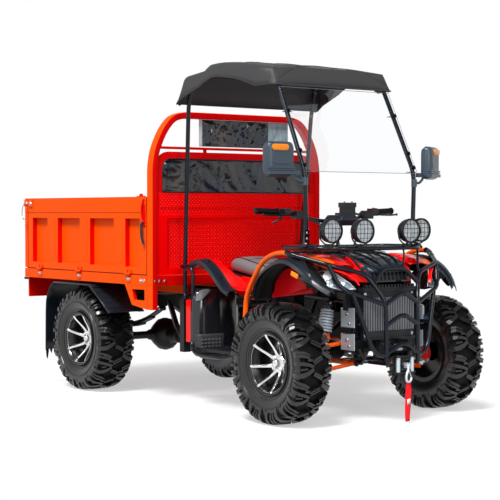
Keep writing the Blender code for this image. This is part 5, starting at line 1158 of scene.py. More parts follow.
# Front carrier and its lamps
def carrier(kit):
    height = 0.915
    outline = []
    for side in SIDES.values():
        outline.append(tube(outward([(1.640, -0.002, height - 0.004), (1.640, 0.215, height - 0.004),
                                     (1.690, 0.375, height), (1.962, 0.385, height),
                                     (2.098, 0.262, height - 0.003), (2.104, -0.002, height - 0.004)], side),
                            0.011, 0.06, 8))
        outline.append(tube(outward([(1.645, 0.150, height - 0.003), (2.102, 0.150, height - 0.003)], side),
                            0.0078))
        outline.append(tube(outward([(1.695, 0.280, height - 0.001), (2.075, 0.280, height - 0.001)], side),
                            0.0068))
        outline.append(tube(outward([(1.750, 0.150, height - 0.004), (1.750, 0.142, 0.7600)], side), 0.008))
        outline.append(flat_bar(outward([(1.925, 0.350, 0.9245), (1.925, 0.404, 0.9245)], side), 0.052,
                                0.006))
    for x in (1.79, 1.85, 2.00):
        outline.append(tube([(x, -0.378, height - 0.003), (x, 0.378, height - 0.003)], 0.0072))
    outline.append(tube([(1.735, -0.375, height - 0.003), (1.735, 0.375, height - 0.003)], 0.0072))
    piece("carrier tubes", joined(outline), kit["tube"], "chassis", ["front_rack"])
    for place, side in SIDES.items():
        for part, x, y, z, foot_x in (("outer", 2.045, 0.315, 1.006, 2.040),
                                      ("inner", 2.125, 0.165, 1.004, 2.099)):
            lamp(f"{place} {part} lamp", (x, side * y, z), foot_x, height, kit)


def lamp(name, centre, foot_x, rack_height, kit):
    """A round work lamp on its yoke, with a pale fluted lens behind a wire guard."""
    x, y, z = centre
    profile = [(-0.054, 0.002), (-0.053, 0.022), (-0.046, 0.038), (-0.034, 0.052), (-0.016, 0.061),
               (0.006, 0.0635),
               (0.008, 0.0655), (0.021, 0.0655), (0.0238, 0.0640), (0.0238, 0.0575), (0.0150, 0.0560)]
    shapes = [turned("x", centre, profile, 40)]
    for number in range(5):
        shapes.append(turned("x", (x - 0.046 + number * 0.008, y, z),
                             [(0, 0.038 + number * 0.0052), (0.0024, 0.040 + number * 0.0052)], 28))
    for side in (-1, 1):
        shapes.append(tube([(x - 0.006, y + side * 0.0620, z), (x - 0.006, y + side * 0.0670, z),
                            (x - 0.008, y + side * 0.0650, z - 0.040),
                            (x - 0.010, y + side * 0.030, z - 0.0715),
                            (x - 0.010, y, z - 0.0735)], 0.0042, 0.02, 4, 8))
    shapes.append(tube([(x - 0.010, y, z - 0.071), (foot_x, y, rack_height - 0.004)], 0.009))
    shapes.append(sweep([Vector((foot_x, y, rack_height + 0.002)), Vector((foot_x, y, rack_height + 0.014))],
                        round_section(0.017, 16)))
    piece(name, joined(shapes), kit["plastic"], "chassis")
    bowl = [(0.0158, 0.0562), (0.0040, 0.0520), (-0.012, 0.040), (-0.022, 0.020), (-0.024, 0.001)]
    piece(f"{name} bowl", turned("x", centre, bowl, 40), kit["lamp_white"], "chassis")
    lens = [(0.0172, 0.0005), (0.0215, 0.0004), (0.0210, 0.030), (0.0185, 0.0560), (0.0150, 0.0560)]
    piece(f"{name} lens", turned("x", centre, lens, 36), kit["lens"], "chassis")
    pattern = []
    for number in range(-4, 5):
        offset = number * 0.0122
        reach = math.sqrt(max(0.055 ** 2 - offset ** 2, 0.0004))
        pattern.append(tube([(x + 0.0195, y + offset, z - reach), (x + 0.0220, y + offset, z),
                             (x + 0.0195, y + offset, z + reach)], 0.0010, 0.02, 3, 6))
    piece(f"{name} fluting", joined(pattern), kit["lamp_white"], "chassis")
    guard = []
    for offset in (-0.036, -0.012, 0.012, 0.036):
        reach = math.sqrt(0.0630 ** 2 - offset ** 2)
        for flip in (False, True):
            line = []
            for step in range(7):
                along = -reach + 2 * reach * step / 6
                lift = 0.0250 + 0.0060 * (1 - (along / reach) ** 2)
                line.append((x + lift, y + (along if flip else offset), z + (offset if flip else along)))
            guard.append(tube(line, 0.0014, 0.012, 2, 8))
    ring_points = [Vector((x + 0.0252, y + 0.0630 * math.cos(a), z + 0.0630 * math.sin(a)))
                   for a in (2 * math.pi * k / 40 for k in range(40))]
    guard.append(sweep(ring_points, round_section(0.0020, 8), closed=True))
    piece(f"{name} guard", joined(guard), kit["tube"], "chassis")


def cab(kit):
    roof(kit)
    posts(kit)
    windscreen(kit)
    mirrors(kit)
    handlebar(kit)
    carrier(kit)


# Front bodywork
def smooth_rows(stations, steps):
    """More stations between the given ones, along a curve through them."""
    made = []
    last = len(stations) - 1
    for index in range(last):
        around = [stations[max(index - 1, 0)], stations[index], stations[index + 1],
                  stations[min(index + 2, last)]]
        for step in range(steps):
            t = step / steps
            row = []
            for a, b, c, d in zip(*around):
                row.append(0.5 * (2 * b + (c - a) * t + (2 * a - 5 * b + 4 * c - d) * t * t
                                  + (3 * b - a - 3 * c + d) * t ** 3))
            made.append(tuple(row))
    made.append(tuple(stations[last]))
    return made


FLARE = ((1.612, 0.640, 0.105, 0.520), (1.672, 0.758, 0.115, 0.520), (1.785, 0.834, 0.120, 0.520),
         (1.900, 0.859, 0.115, 0.520), (2.020, 0.823, 0.078, 0.520), (2.120, 0.754, 0.052, 0.500),
         (2.200, 0.700, 0.040, 0.450))


def flare(place, side, kit):
    rows = []
    for x, z, width, outer in smooth_rows(FLARE, 6):
        inner = outer - width
        drop = min(0.020, max(0.0, (x - 1.940) * 0.22))
        rows.append([(x, side * inner, z + 0.006 - drop), (x, side * (inner + 0.006), z + 0.0095 - drop),
                     (x, side * (inner + width * 0.30), z + 0.0100 - drop * 0.8),
                     (x, side * (inner + width * 0.34), z + 0.0065),
                     (x, side * (inner + width * 0.62), z + 0.0060), (x, side * (outer - 0.020), z + 0.0015),
                     (x, side * (outer - 0.006), z - 0.006), (x, side * outer, z - 0.0225),
                     (x, side * (outer - 0.004), z - 0.0245)])
    piece(f"{place} flare", grid(rows), kit["flare"], "chassis", [f"front_flare_{place}"], smooth=34,
          thick=0.004)
    grooves = []
    for x, z, lean in ((1.700, 0.786, 0.06), (1.825, 0.847, 0.02), (1.960, 0.848, -0.03)):
        line = [(x - lean * 0.3, side * 0.416, z + 0.0118), (x, side * 0.470, z + 0.0082),
                (x + lean * 0.1, side * 0.512, z - 0.004), (x + lean * 0.1, side * 0.5215, z - 0.022)]
        grooves.append(tube(line, 0.0016, 0.01, 2, 6))
    piece(f"{place} flare seams", joined(grooves), kit["flap"], "chassis")
    marker = moved(box((-0.030, -0.004, -0.013), (0.030, 0.005, 0.013)),
                   Matrix.Translation((2.000, side * 0.518, 0.779)) @ Matrix.Rotation(math.radians(18), 4,
                                                                                      "Y"))
    piece(f"{place} marker", marker, kit["amber"], "chassis", bevel=0.005)
    cheek = [[(1.985, side * 0.512, 0.806), (2.060, side * 0.508, 0.778), (2.125, side * 0.492, 0.732)],
             [(2.010, side * 0.505, 0.762), (2.070, side * 0.500, 0.738), (2.128, side * 0.480, 0.702)],
             [(2.050, side * 0.480, 0.728), (2.085, side * 0.470, 0.712), (2.130, side * 0.455, 0.690)]]
    piece(f"{place} flare cheek", grid(cheek), kit["flare"], "chassis", thick=0.004, levels=2)
    button = []
    centre = Vector((2.090, side * 0.5085, 0.757))
    heading = Vector((0.10, side, 0.15)).normalized()
    button.append(sweep([centre - heading * 0.006, centre + heading * 0.004], round_section(0.0085, 20)))
    piece(f"{place} button", joined(button), kit["plastic"], "chassis", bevel=0.001)
    liner = []
    for x, z, width, outer in smooth_rows(FLARE[:6], 5):
        liner.append([(x, side * (outer - 0.030), z - 0.012), (x, side * (outer - width - 0.045), z - 0.015),
                      (x - (x - WHEELBASE) * 0.10, side * (outer - width - 0.055), z - 0.075)])
    piece(f"{place} arch liner", grid(liner), kit["flap"], "chassis", thick=0.003)


def side_skins(place, side, kit):
    """The red fender over the wheel, with the orange wedge along the guard tube as painted highlight on the
    red, and the inner panel painted a brighter red as painted light where the flare shades it.
    """
    stations = ((1.668, 0.755, 0.170, 0.405), (1.740, 0.811, 0.170, 0.402), (1.785, 0.834, 0.170, 0.400),
                (1.900, 0.859, 0.170, 0.400), (2.020, 0.838, 0.170, 0.400), (2.060, 0.826, 0.180, 0.392),
                (2.100, 0.810, 0.196, 0.375))
    rows = []
    for x, z, near, edge in smooth_rows(stations, 5):
        rows.append([(x, side * near, z + 0.012), (x, side * (near + 0.07), z + 0.018),
                     (x, side * (edge - 0.085), z + 0.0165), (x, side * (edge - 0.070), z + 0.012),
                     (x, side * (edge - 0.020), z + 0.008), (x, side * edge, z - 0.004)])
    made = piece(f"{place} fender skin", grid(rows), kit["gloss_red"], "chassis", smooth=30, thick=0.004)
    # The orange on the outer part of the fender is painted highlight, a lighter copy standing in for light on
    # the red.
    two_tone(made, kit["arm"], lambda centre, normal: abs(centre.y) > 0.310 and centre.x > 1.72)
    brow = [(2.085, 0.372, 0.815), (2.118, 0.345, 0.803), (2.152, 0.300, 0.786), (2.188, 0.262, 0.752),
            (2.200, 0.248, 0.724)]
    piece(f"{place} lamp brow", flat_bar(outward(brow, side), 0.020, 0.010), kit["gloss_red"], "chassis",
          bevel=0.003)
    panel = [(1.640, 0.655), (1.655, 0.722), (1.700, 0.772), (1.760, 0.802), (1.820, 0.806), (1.880, 0.784),
             (1.915, 0.752), (1.920, 0.700), (1.800, 0.672)]
    # The inner panel and its rail are painted a brighter red as painted light, where the flare shades them.
    piece(f"{place} inner panel", prism([(x, z) for x, z in panel], "y", side * 0.372, side * 0.377),
          kit["lit_red"], "chassis", bevel=0.002)
    strip = [(1.620, side * 0.372, 0.652), (1.760, side * 0.362, 0.668), (1.930, side * 0.340, 0.690)]
    piece(f"{place} fender rail", flat_bar(strip, 0.010, 0.026), kit["lit_red"], "chassis", bevel=0.002)


def nose(kit):
    """A dark bonnet with a red beak, orange shoulders on its left and right as painted highlight on the red,
    and a toothed mouth.
    """
    stations = ((1.800, 0.192, 0.780, 0.884), (1.850, 0.206, 0.780, 0.889), (1.900, 0.215, 0.780, 0.886),
                (1.960, 0.222, 0.776, 0.880), (2.020, 0.225, 0.770, 0.868), (2.060, 0.219, 0.758, 0.853),
                (2.100, 0.205, 0.745, 0.834), (2.128, 0.178, 0.738, 0.818), (2.150, 0.142, 0.735, 0.799))
    rows = []
    for x, half, low, high in smooth_rows(stations, 4):
        side = [(half, low), (half + 0.001, high - 0.052), (half * 0.93, high - 0.030),
                (half * 0.80, high - 0.024),
                (half * 0.72, high - 0.006), (half * 0.40, high - 0.0015), (half * 0.12, high)]
        rows.append([(x, -y, z) for y, z in side] + [(x, y, z) for y, z in reversed(side)])
    made = piece("nose", loft(rows), kit["hood"], "chassis", ["front_body"], smooth=32)
    two_tone(made, kit["gloss_red"], lambda centre, normal: abs(centre.y) > 0.150 and centre.x > 1.99)
    # The orange on the upward faces is painted highlight, a lighter copy standing in for light on the red.
    made.data.materials.append(kit["arm"])
    for face in made.data.polygons:
        if abs(face.center.y) > 0.095 and face.normal.z > 0.35 and 1.90 < face.center.x < 2.045:
            face.material_index = 2
    beak = []
    for side in SIDES.values():
        beak.append(tube(outward([(1.830, 0.120, 0.889), (1.950, 0.132, 0.882), (2.030, 0.130, 0.866),
                                  (2.100, 0.105, 0.836), (2.152, 0.060, 0.802)], side), 0.006, 0.05, 6, 8))
        beak.append(tube(outward([(1.840, 0.055, 0.894), (1.950, 0.060, 0.888), (2.060, 0.052, 0.860),
                                  (2.140, 0.030, 0.812)], side), 0.004, 0.05, 6, 8))
    piece("nose creases", joined(beak), kit["black_alloy"], "chassis")
    grille = [box((2.149, -0.125, 0.742), (2.156, 0.125, 0.770))]
    for number in range(9):
        y = -0.112 + 0.028 * number
        grille.append(box((2.150, y - 0.004, 0.744), (2.162, y + 0.004, 0.792)))
    grille.append(box((2.150, -0.135, 0.786), (2.164, 0.135, 0.793)))
    piece("nose grille", joined(grille), kit["plastic"], "chassis", bevel=0.0015)
    hood = []
    for x, half, high in smooth_rows(((1.600, 0.330, 0.884), (1.640, 0.345, 0.890), (1.720, 0.335, 0.894),
                                      (1.795, 0.300, 0.893)), 3):
        hood.append([(x, -half, high - 0.014), (x, -half * 0.8, high - 0.003), (x, -0.22, high),
                     (x, -0.185, high - 0.010)])
    for name, flip in (("right hood pad", 1), ("left hood pad", -1)):
        made = piece(name, grid([[(x, y * flip, z) for x, y, z in row] for row in hood]), kit["arm"],
                     "chassis", thick=0.004)
        two_tone(made, kit["hood"], lambda centre, normal: centre.x > 1.70)


HEADLIGHT = ((2.000, -0.352, 0.792), (2.050, -0.362, 0.797), (2.093, -0.338, 0.796), (2.124, -0.306, 0.764),
             (2.158, -0.276, 0.734), (2.176, -0.250, 0.704), (2.150, -0.318, 0.698), (2.100, -0.372, 0.716),
             (2.058, -0.392, 0.748), (2.016, -0.384, 0.776))


def headlight(place, side, kit):
    """A swept lamp: dark shell, pale faceted bowl and two round projectors."""
    outer = [Vector((x, -side * y, z)) for x, y, z in HEADLIGHT]
    centre = sum(outer, Vector()) / len(outer)
    facing = Vector((0.66, side * 0.62, 0.42)).normalized()
    shell = [[p + facing * 0.002 for p in outer], [p + (p - centre) * 0.05 - facing * 0.006 for p in outer],
             [centre + (p - centre) * 0.92 - facing * 0.045 for p in outer],
             [centre + (p - centre) * 0.45 - facing * 0.070 for p in outer]]
    piece(f"{place} lamp shell", loft(shell), kit["black_alloy"], "chassis", [f"headlight_{place}"])
    bowl = [[centre + (p - centre) * part - facing * deep for p in outer]
            for part, deep in ((0.97, -0.0020), (0.90, -0.0045), (0.60, -0.0062), (0.25, -0.0068))]
    piece(f"{place} lamp bowls", loft(bowl), kit["lamp_grey"], "chassis", smooth=10)
    details = []
    for part, radius in ((0.26, 0.0235), (-0.36, 0.0200)):
        spot = centre + (outer[1] - outer[5]) * 0.5 * part * 1.35 + facing * 0.0066
        details.append(sweep([spot, spot + facing * 0.0030], round_section(radius, 26)))
        details.append(sweep([spot + facing * 0.003, spot + facing * 0.0050],
                             round_section(radius * 0.55, 20)))
    for step in (0.18, 0.36, 0.54, 0.72):
        near = centre + (outer[9].lerp(outer[6], step) - centre) * 0.80 + facing * 0.0060
        far = centre + (outer[2].lerp(outer[5], step) - centre) * 0.80 + facing * 0.0062
        details.append(tube([near, far], 0.0012, sides=6))
    piece(f"{place} projectors", joined(details), kit["lamp_white"], "chassis")
    rim_line = [centre + (p - centre) * 0.985 + facing * 0.0030 for p in outer]
    piece(f"{place} lamp rim", sweep(rim_line, round_section(0.0022, 8), closed=True), kit["lamp_white"],
          "chassis")


def splash_panels(kit):
    """Dark inner panels and frame bars that close the view between the wheel and the radiator."""
    for place, side in SIDES.items():
        sheet = [(1.640, 0.460), (1.640, 0.745), (2.090, 0.745), (2.105, 0.690), (2.105, 0.430),
                 (1.980, 0.430)]
        piece(f"{place} splash panel", prism(sheet, "y", side * 0.160, side * 0.164), kit["flap"], "chassis")
        bars = [tube(outward([(1.660, 0.168, 0.470), (1.780, 0.168, 0.700), (2.085, 0.168, 0.715)], side),
                     0.010, 0.04, 6, 12)]
        bars.append(tube(outward([(1.850, 0.170, 0.460), (2.090, 0.190, 0.600)], side), 0.009, sides=12))
        bars.append(tube(outward([(1.700, 0.200, 0.645), (1.900, 0.215, 0.640), (2.080, 0.225, 0.628)],
                                 side), 0.012, 0.04, 6, 12))
        bars.append(side_box(side, (2.060, 0.170, 0.600), (2.110, 0.236, 0.668)))
        bars.append(side_box(side, (1.915, 0.170, 0.575), (1.975, 0.222, 0.640)))
        piece(f"{place} frame bars", joined(bars), kit["tube"], "chassis", bevel=0.002)


# Bull bar, guard tubes and front plates
def bull_bar(kit):
    radius = 0.0122
    bars, clamps = [], []
    for side in SIDES.values():
        upper = [(1.957, 0.480, 0.876), (2.115, 0.378, 0.830), (2.180, 0.184, 0.779), (2.252, 0.110, 0.640),
                 (2.256, 0.110, 0.320)]
        bars.append(tube(outward(upper, side), radius, 0.05, 8))
        bars.append(tube(outward([(2.108, 0.380, 0.832), (2.148, 0.351, 0.735), (2.175, 0.325, 0.700),
                                  (2.252, 0.108, 0.620)], side), radius, 0.035, 8))
        bars.append(tube(outward([(2.193, 0.285, 0.680), (2.240, 0.198, 0.400), (2.252, 0.160, 0.360),
                                  (2.254, 0.108, 0.358)], side), radius, 0.045, 8))
        bars.append(tube(outward([(2.208, 0.152, 0.732), (2.186, 0.078, 0.806), (2.186, -0.005, 0.808)],
                                 side), radius, 0.035, 8))
        for foot_z, apex_z in ((0.626, 0.676), (0.513, 0.562), (0.362, 0.410)):
            bars.append(tube(outward([(2.255, 0.110, foot_z), (2.262, 0.022, apex_z),
                                      (2.262, -0.004, apex_z)], side), radius, 0.022, 6))
        bars.append(side_box(side, (2.1205, 0.196, 0.440), (2.134, 0.236, 0.560)))
        bars.append(tube(outward([(2.128, 0.216, 0.520), (2.212, 0.236, 0.520)], side), radius * 0.8))
        bars.append(tube(outward([(2.090, 0.262, 0.897), (2.128, 0.228, 0.858), (2.150, 0.205, 0.815),
                                  (2.178, 0.190, 0.784)], side), 0.007, 0.05, 8, 10))
        bars.append(tube(outward([(2.100, 0.150, 0.902), (2.150, 0.110, 0.872), (2.168, 0.085, 0.835),
                                  (2.186, 0.070, 0.812)], side), 0.0048, 0.05, 8, 10))
        bars.append(side_box(side, (2.120, 0.100, 0.305), (2.262, 0.118, 0.322)))
        for start, heading in (((1.985, 0.462, 0.868), (0.158, -0.102, -0.046)),):
            begin = Vector(outward([start], side)[0])
            along = Vector(outward([heading], side)[0]).normalized()
            clamps.append(sweep([begin, begin + along * 0.030], round_section(radius + 0.0025, 18)))
        clamps.append(bolt(outward([(2.135, 0.216, 0.545)], side)[0], (1, 0, 0), 0.007))
        clamps.append(bolt(outward([(2.135, 0.216, 0.455)], side)[0], (1, 0, 0), 0.007))
    piece("bull bar", joined(bars), kit["tube"], "chassis", ["bull_bar"])
    piece("bull bar fixings", joined(clamps), kit["tube"], "chassis")


def guard_tube(place, side, kit):
    start = Vector((1.957, 0.480, 0.876))
    heading = (Vector((2.115, 0.378, 0.830)) - start).normalized()
    main = [start - heading * 0.001, start - heading * 0.030, (1.877, 0.500, 0.892), (1.783, 0.500, 0.879),
            (1.695, 0.500, 0.835), (1.606, 0.500, 0.724), (1.556, 0.500, 0.640), (1.548, 0.500, 0.520),
            (1.490, 0.500, 0.380), (1.470, 0.500, 0.296)]
    shapes = [tube(outward(main, side), 0.0135, 0.05, 8, 18)]
    shapes.append(tube(outward([(1.556, 0.500, 0.642), (1.516, 0.300, 0.641), (1.500, 0.190, 0.650)], side),
                       0.0115))
    piece(f"{place} guard tube", joined(shapes), kit["arm"], "chassis", [f"guard_tube_{place}"])
    sleeve = [Vector(outward([spot], side)[0]) for spot in
              (start + heading * 0.004, start - heading * 0.030, (1.905, 0.4965, 0.8925))]
    piece(f"{place} guard sleeve", sweep(eased(sleeve, 0.02, 4), round_section(0.0152, 18)), kit["tube"],
          "chassis")
    weld = [Vector(outward([(1.556, 0.488, 0.6420)], side)[0]),
            Vector(outward([(1.556, 0.4835, 0.6420)], side)[0])]
    piece(f"{place} guard weld", sweep(weld, round_section(0.0140, 16)), kit["arm"], "chassis", bevel=0.002)


def radiator(kit):
    rear = 2.1206
    solids = [box((rear, -0.186, 0.434), (rear + 0.012, 0.186, 0.698))]
    for low in (0.432, 0.688):
        solids.append(box((rear, -0.188, low), (2.160, 0.188, low + 0.012)))
    for y in (-0.188, 0.182):
        solids.append(box((rear, y, 0.432), (2.160, y + 0.006, 0.700)))
    solids.append(box((rear, -0.188, 0.436), (2.150, 0.188, 0.478)))
    solids.append(box((rear, -0.188, 0.655), (2.150, 0.188, 0.692)))
    piece("radiator frame", joined(solids), kit["plastic"], "chassis", ["radiator_grille"], bevel=0.002)
    fins = []
    count = 21
    for number in range(count):
        y = -0.174 + 0.348 * number / (count - 1)
        fins.append(box((rear + 0.010, y - 0.0026, 0.478), (2.154, y + 0.0026, 0.655)))
    piece("radiator fins", joined(fins), kit["fin"], "chassis", bevel=0.001)
    teeth = []
    for number in range(16):
        y = -0.165 + 0.022 * number
        teeth.append(box((2.138, y, 0.700), (2.158, y + 0.012, 0.722)))
    teeth.append(box((2.120, -0.186, 0.700), (2.160, 0.186, 0.708)))
    piece("radiator top teeth", joined(teeth), kit["plastic"], "chassis", bevel=0.002)
    dots = [bolt((2.1505, y, z), (1, 0, 0), 0.006) for y in (-0.165, 0.165) for z in (0.457, 0.673)]
    piece("radiator bolts", joined(dots), kit["steel"], "chassis")


def front_plates(kit):
    """Bright slotted plates beside the radiator with their bolts, and the parts by them."""
    for place, side in SIDES.items():
        plates, dots = [], []
        for low, high in ((0.501, 0.604), (0.382, 0.469)):
            plates.append(side_box(side, (2.046, 0.2405, low), (2.156, 0.2435, high)))
            dots.append(bolt(outward([(2.095, 0.2435, high - 0.032)], side)[0], (0, side, 0), 0.006))
            dots.append(bolt(outward([(2.112, 0.2435, low + 0.022)], side)[0], (0, side, 0), 0.005))
        piece(f"{place} bright plates", joined(plates), kit["bright"], "chassis", bevel=0.004)
        piece(f"{place} plate bolts", joined(dots), kit["steel"], "chassis")
        boxes = [side_box(side, (2.060, 0.243, 0.470), (2.130, 0.247, 0.500)),
                 side_box(side, (1.990, 0.170, 0.625), (2.075, 0.225, 0.690))]
        piece(f"{place} plate bracket", joined(boxes), kit["plastic"], "chassis", bevel=0.003)
    reservoir = [turned("z", (2.090, 0.285, 0),
                        [(0.500, 0.006), (0.504, 0.021), (0.548, 0.0215), (0.549, 0.0215)], 24)]
    piece("reservoir foot", joined(reservoir), kit["blue"], "chassis")
    upper = [turned("z", (2.090, 0.285, 0),
                    [(0.549, 0.0212), (0.592, 0.0212), (0.598, 0.016), (0.603, 0.006)], 24)]
    piece("reservoir", joined(upper), kit["white"], "chassis")


# Winch and strap
def winch(kit):
    body = [box((2.1205, -0.085, 0.335), (2.150, 0.085, 0.430))]
    body.append(turned("y", (2.205, 0, 0.385),
                       [(-0.100, 0.012), (-0.099, 0.030), (-0.090, 0.036), (-0.062, 0.036),
                                                (-0.060, 0.026), (-0.034, 0.026), (-0.034, 0.036),
                                                (-0.030, 0.036),
                                                (-0.030, 0.022), (0.030, 0.022), (0.030, 0.036),
                                                (0.034, 0.036),
                                                (0.034, 0.026), (0.060, 0.026), (0.062, 0.036),
                                                (0.090, 0.036), (0.099, 0.030), (0.100, 0.012)], 28))
    body.append(box((2.145, -0.080, 0.340), (2.262, 0.080, 0.350)))
    for side in (-1, 1):
        for z in (0.362, 0.408):
            body.append(tube([(2.190, side * 0.098, z), (2.190, side * 0.062, z)], 0.005))
        body.append(side_box(side, (2.150, 0.062, 0.345), (2.235, 0.070, 0.432)))
    piece("winch body", joined(body), kit["casting"], "chassis", ["winch"], bevel=0.002)
    rope = []
    for number in range(10):
        y = -0.026 + number * 0.0058
        ring = [Vector((2.205 + 0.0246 * math.cos(a), y, 0.385 + 0.0246 * math.sin(a)))
                for a in (2 * math.pi * k / 24 for k in range(24))]
        rope.append(sweep(ring, round_section(0.0028, 8), closed=True))
    piece("winch rope", joined(rope), kit["steel"], "chassis")
    fairlead, rollers = [], []
    fairlead.append(box((2.2560, -0.070, 0.262), (2.2595, 0.070, 0.352)))
    for z in (0.2655, 0.3485):
        fairlead.append(box((2.2560, -0.066, z - 0.0035), (2.290, 0.066, z + 0.0035)))
    for y in (-0.048, 0.048):
        rollers.append(turned("z", (2.277, y, 0.307), [(-0.044, 0.0092), (-0.041, 0.0115), (0.041, 0.0115),
                                                      (0.044, 0.0092)], 22))
        fairlead.append(bolt((2.277, y, 0.3515), (0, 0, 1), 0.006))
        fairlead.append(turned("z", (2.277, y, 0), [(0.2555, 0.006), (0.262, 0.006)], 12))
    for z in (0.2785, 0.3355):
        fairlead.append(turned("y", (2.275, 0, z), [(-0.036, 0.0062), (-0.034, 0.0075), (0.034, 0.0075),
                                                   (0.036, 0.0062)], 20))
    piece("fairlead rollers", joined(rollers), kit["bright"], "chassis", bevel=0.0008)
    piece("fairlead", joined(fairlead), kit["casting"], "chassis", bevel=0.0008)
    hook = [tube([(2.262, 0, 0.308), (2.288, 0, 0.306)], 0.0085)]
    for side in (-1, 1):
        hook.append(side_box(side, (2.282, 0.0075, 0.290), (2.306, 0.0115, 0.318)))
    hook.append(tube([(2.298, -0.014, 0.304), (2.298, 0.014, 0.304)], 0.0045))
    curve = [(2.298, 0.000, 0.304), (2.305, 0.000, 0.282), (2.307, -0.014, 0.262), (2.308, -0.020, 0.240),
             (2.307, -0.012, 0.220), (2.306, 0.004, 0.2175), (2.305, 0.017, 0.226), (2.304, 0.021, 0.240)]
    hook.append(sweep(eased(curve, 0.012, 5), round_section(0.0068, 14)))
    hook.append(tube([(2.306, 0.002, 0.280), (2.306, 0.019, 0.243)], 0.0022))
    piece("winch hook", joined(hook), kit["bright"], "chassis")


def strap(kit):
    """A folded webbing pull strap that hangs from the hook, with a small white tag."""
    rows, middle = [], []
    for step in range(25):
        part = step / 24
        z = 0.2130 - 0.2010 * part
        sway = 0.0035 * math.sin(part * 5.2) - 0.004 * part
        x = 2.3055 - 0.0035 * math.sin(part * math.pi) + 0.0012 * part
        turn = math.radians(6 + 16 * math.sin(part * 4.1))
        half = 0.0165 * (0.80 + 0.20 * min(1.0, part * 6))
        row = []
        for across in (-1.0, -0.55, 0.0, 0.55, 1.0):
            cup = 0.0012 * (1 - across * across)
            row.append((x + half * across * math.sin(turn) + cup, sway + half * across * math.cos(turn), z))
        rows.append(row)
        middle.append((x, sway, z))
    made = piece("pull strap", grid(rows), kit["webbing"], "chassis", ["winch_strap"], thick=0.0022)
    stitches = []
    for side in (-0.8, 0.8):
        for number in range(14):
            step = number / 13
            z = 0.205 - 0.185 * step
            part = (0.2130 - z) / 0.2010
            sway = 0.0035 * math.sin(part * 5.2) - 0.004 * part
            x = 2.3055 - 0.0035 * math.sin(part * math.pi) + 0.0012 * part
            turn = math.radians(6 + 16 * math.sin(part * 4.1))
            spot = Vector((x + 0.0165 * side * math.sin(turn) + 0.0020,
                           sway + 0.0165 * side * math.cos(turn), z))
            stitches.append(tube([spot, spot - Vector((0, 0, 0.006))], 0.0005, sides=6))
    seam = piece("strap stitches", joined(stitches), kit["flap"], "chassis")
    tag = [[(2.3085, -0.011, 0.128), (2.3092, 0.010, 0.131)],
           [(2.3110, -0.013, 0.113), (2.3112, 0.009, 0.117)],
           [(2.3090, -0.012, 0.100), (2.3085, 0.011, 0.104)]]
    label = piece("strap tag", grid(tag), kit["tag"], "chassis", thick=0.0008)


def front_end(kit):
    for place, side in SIDES.items():
        flare(place, side, kit)
        side_skins(place, side, kit)
        headlight(place, side, kit)
        guard_tube(place, side, kit)
    nose(kit)
    splash_panels(kit)
    bull_bar(kit)
    radiator(kit)
    front_plates(kit)
    winch(kit)
    strap(kit)


# Middle of the vehicle
def seat(kit):
    """A crowned saddle with a piped seam round its top panel."""
    stations = ((0.906, 0.128, 0.756, 0.824), (0.930, 0.145, 0.748, 0.836), (0.965, 0.156, 0.742, 0.842),
                (1.020, 0.160, 0.735, 0.838), (1.080, 0.160, 0.727, 0.827), (1.140, 0.156, 0.718, 0.815),
                (1.200, 0.149, 0.709, 0.801), (1.245, 0.136, 0.702, 0.786), (1.281, 0.116, 0.700, 0.768))
    rows = []
    for x, half, low, high in smooth_rows(stations, 3):
        middle = 0.5 * (low + high)
        side = [(half * 0.90, low), (half * 0.985, middle - 0.018), (half, middle),
                (half * 0.985, middle + 0.020),
                (half * 0.90, high - 0.016), (half * 0.78, high - 0.0065), (half * 0.74, high - 0.0085),
                (half * 0.70, high - 0.0045), (half * 0.40, high - 0.0008), (half * 0.12, high)]
        rows.append([(x, -y, z) for y, z in side] + [(x, y, z) for y, z in reversed(side)])
    made = piece("saddle", loft(rows), kit["vinyl"], "chassis", ["seat"], smooth=60, levels=1)
    piping = []
    for side in SIDES.values():
        line = [(x, side * half * 0.775, high - 0.0050) for x, half, _, high in smooth_rows(stations, 2)]
        piping.append(tube(line, 0.0022, 0.01, 1, 8))
    for x, half, high in ((1.060, 0.160, 0.8302), (1.170, 0.153, 0.808)):
        piping.append(tube([(x, -half * 0.76, high - 0.006), (x, -half * 0.3, high + 0.001),
                            (x, half * 0.3, high + 0.001),
                            (x, half * 0.76, high - 0.006)], 0.0018, 0.02, 3, 8))
    piece("saddle piping", joined(piping), kit["flap"], "chassis")
    base = []
    for x, half, low, _ in smooth_rows(stations, 1):
        base.append([(x, -half * 0.93, low - 0.010), (x, half * 0.93, low - 0.010),
                     (x, half * 0.95, low + 0.006), (x, -half * 0.95, low + 0.006)])
    piece("saddle base", loft(base), kit["plastic"], "chassis")


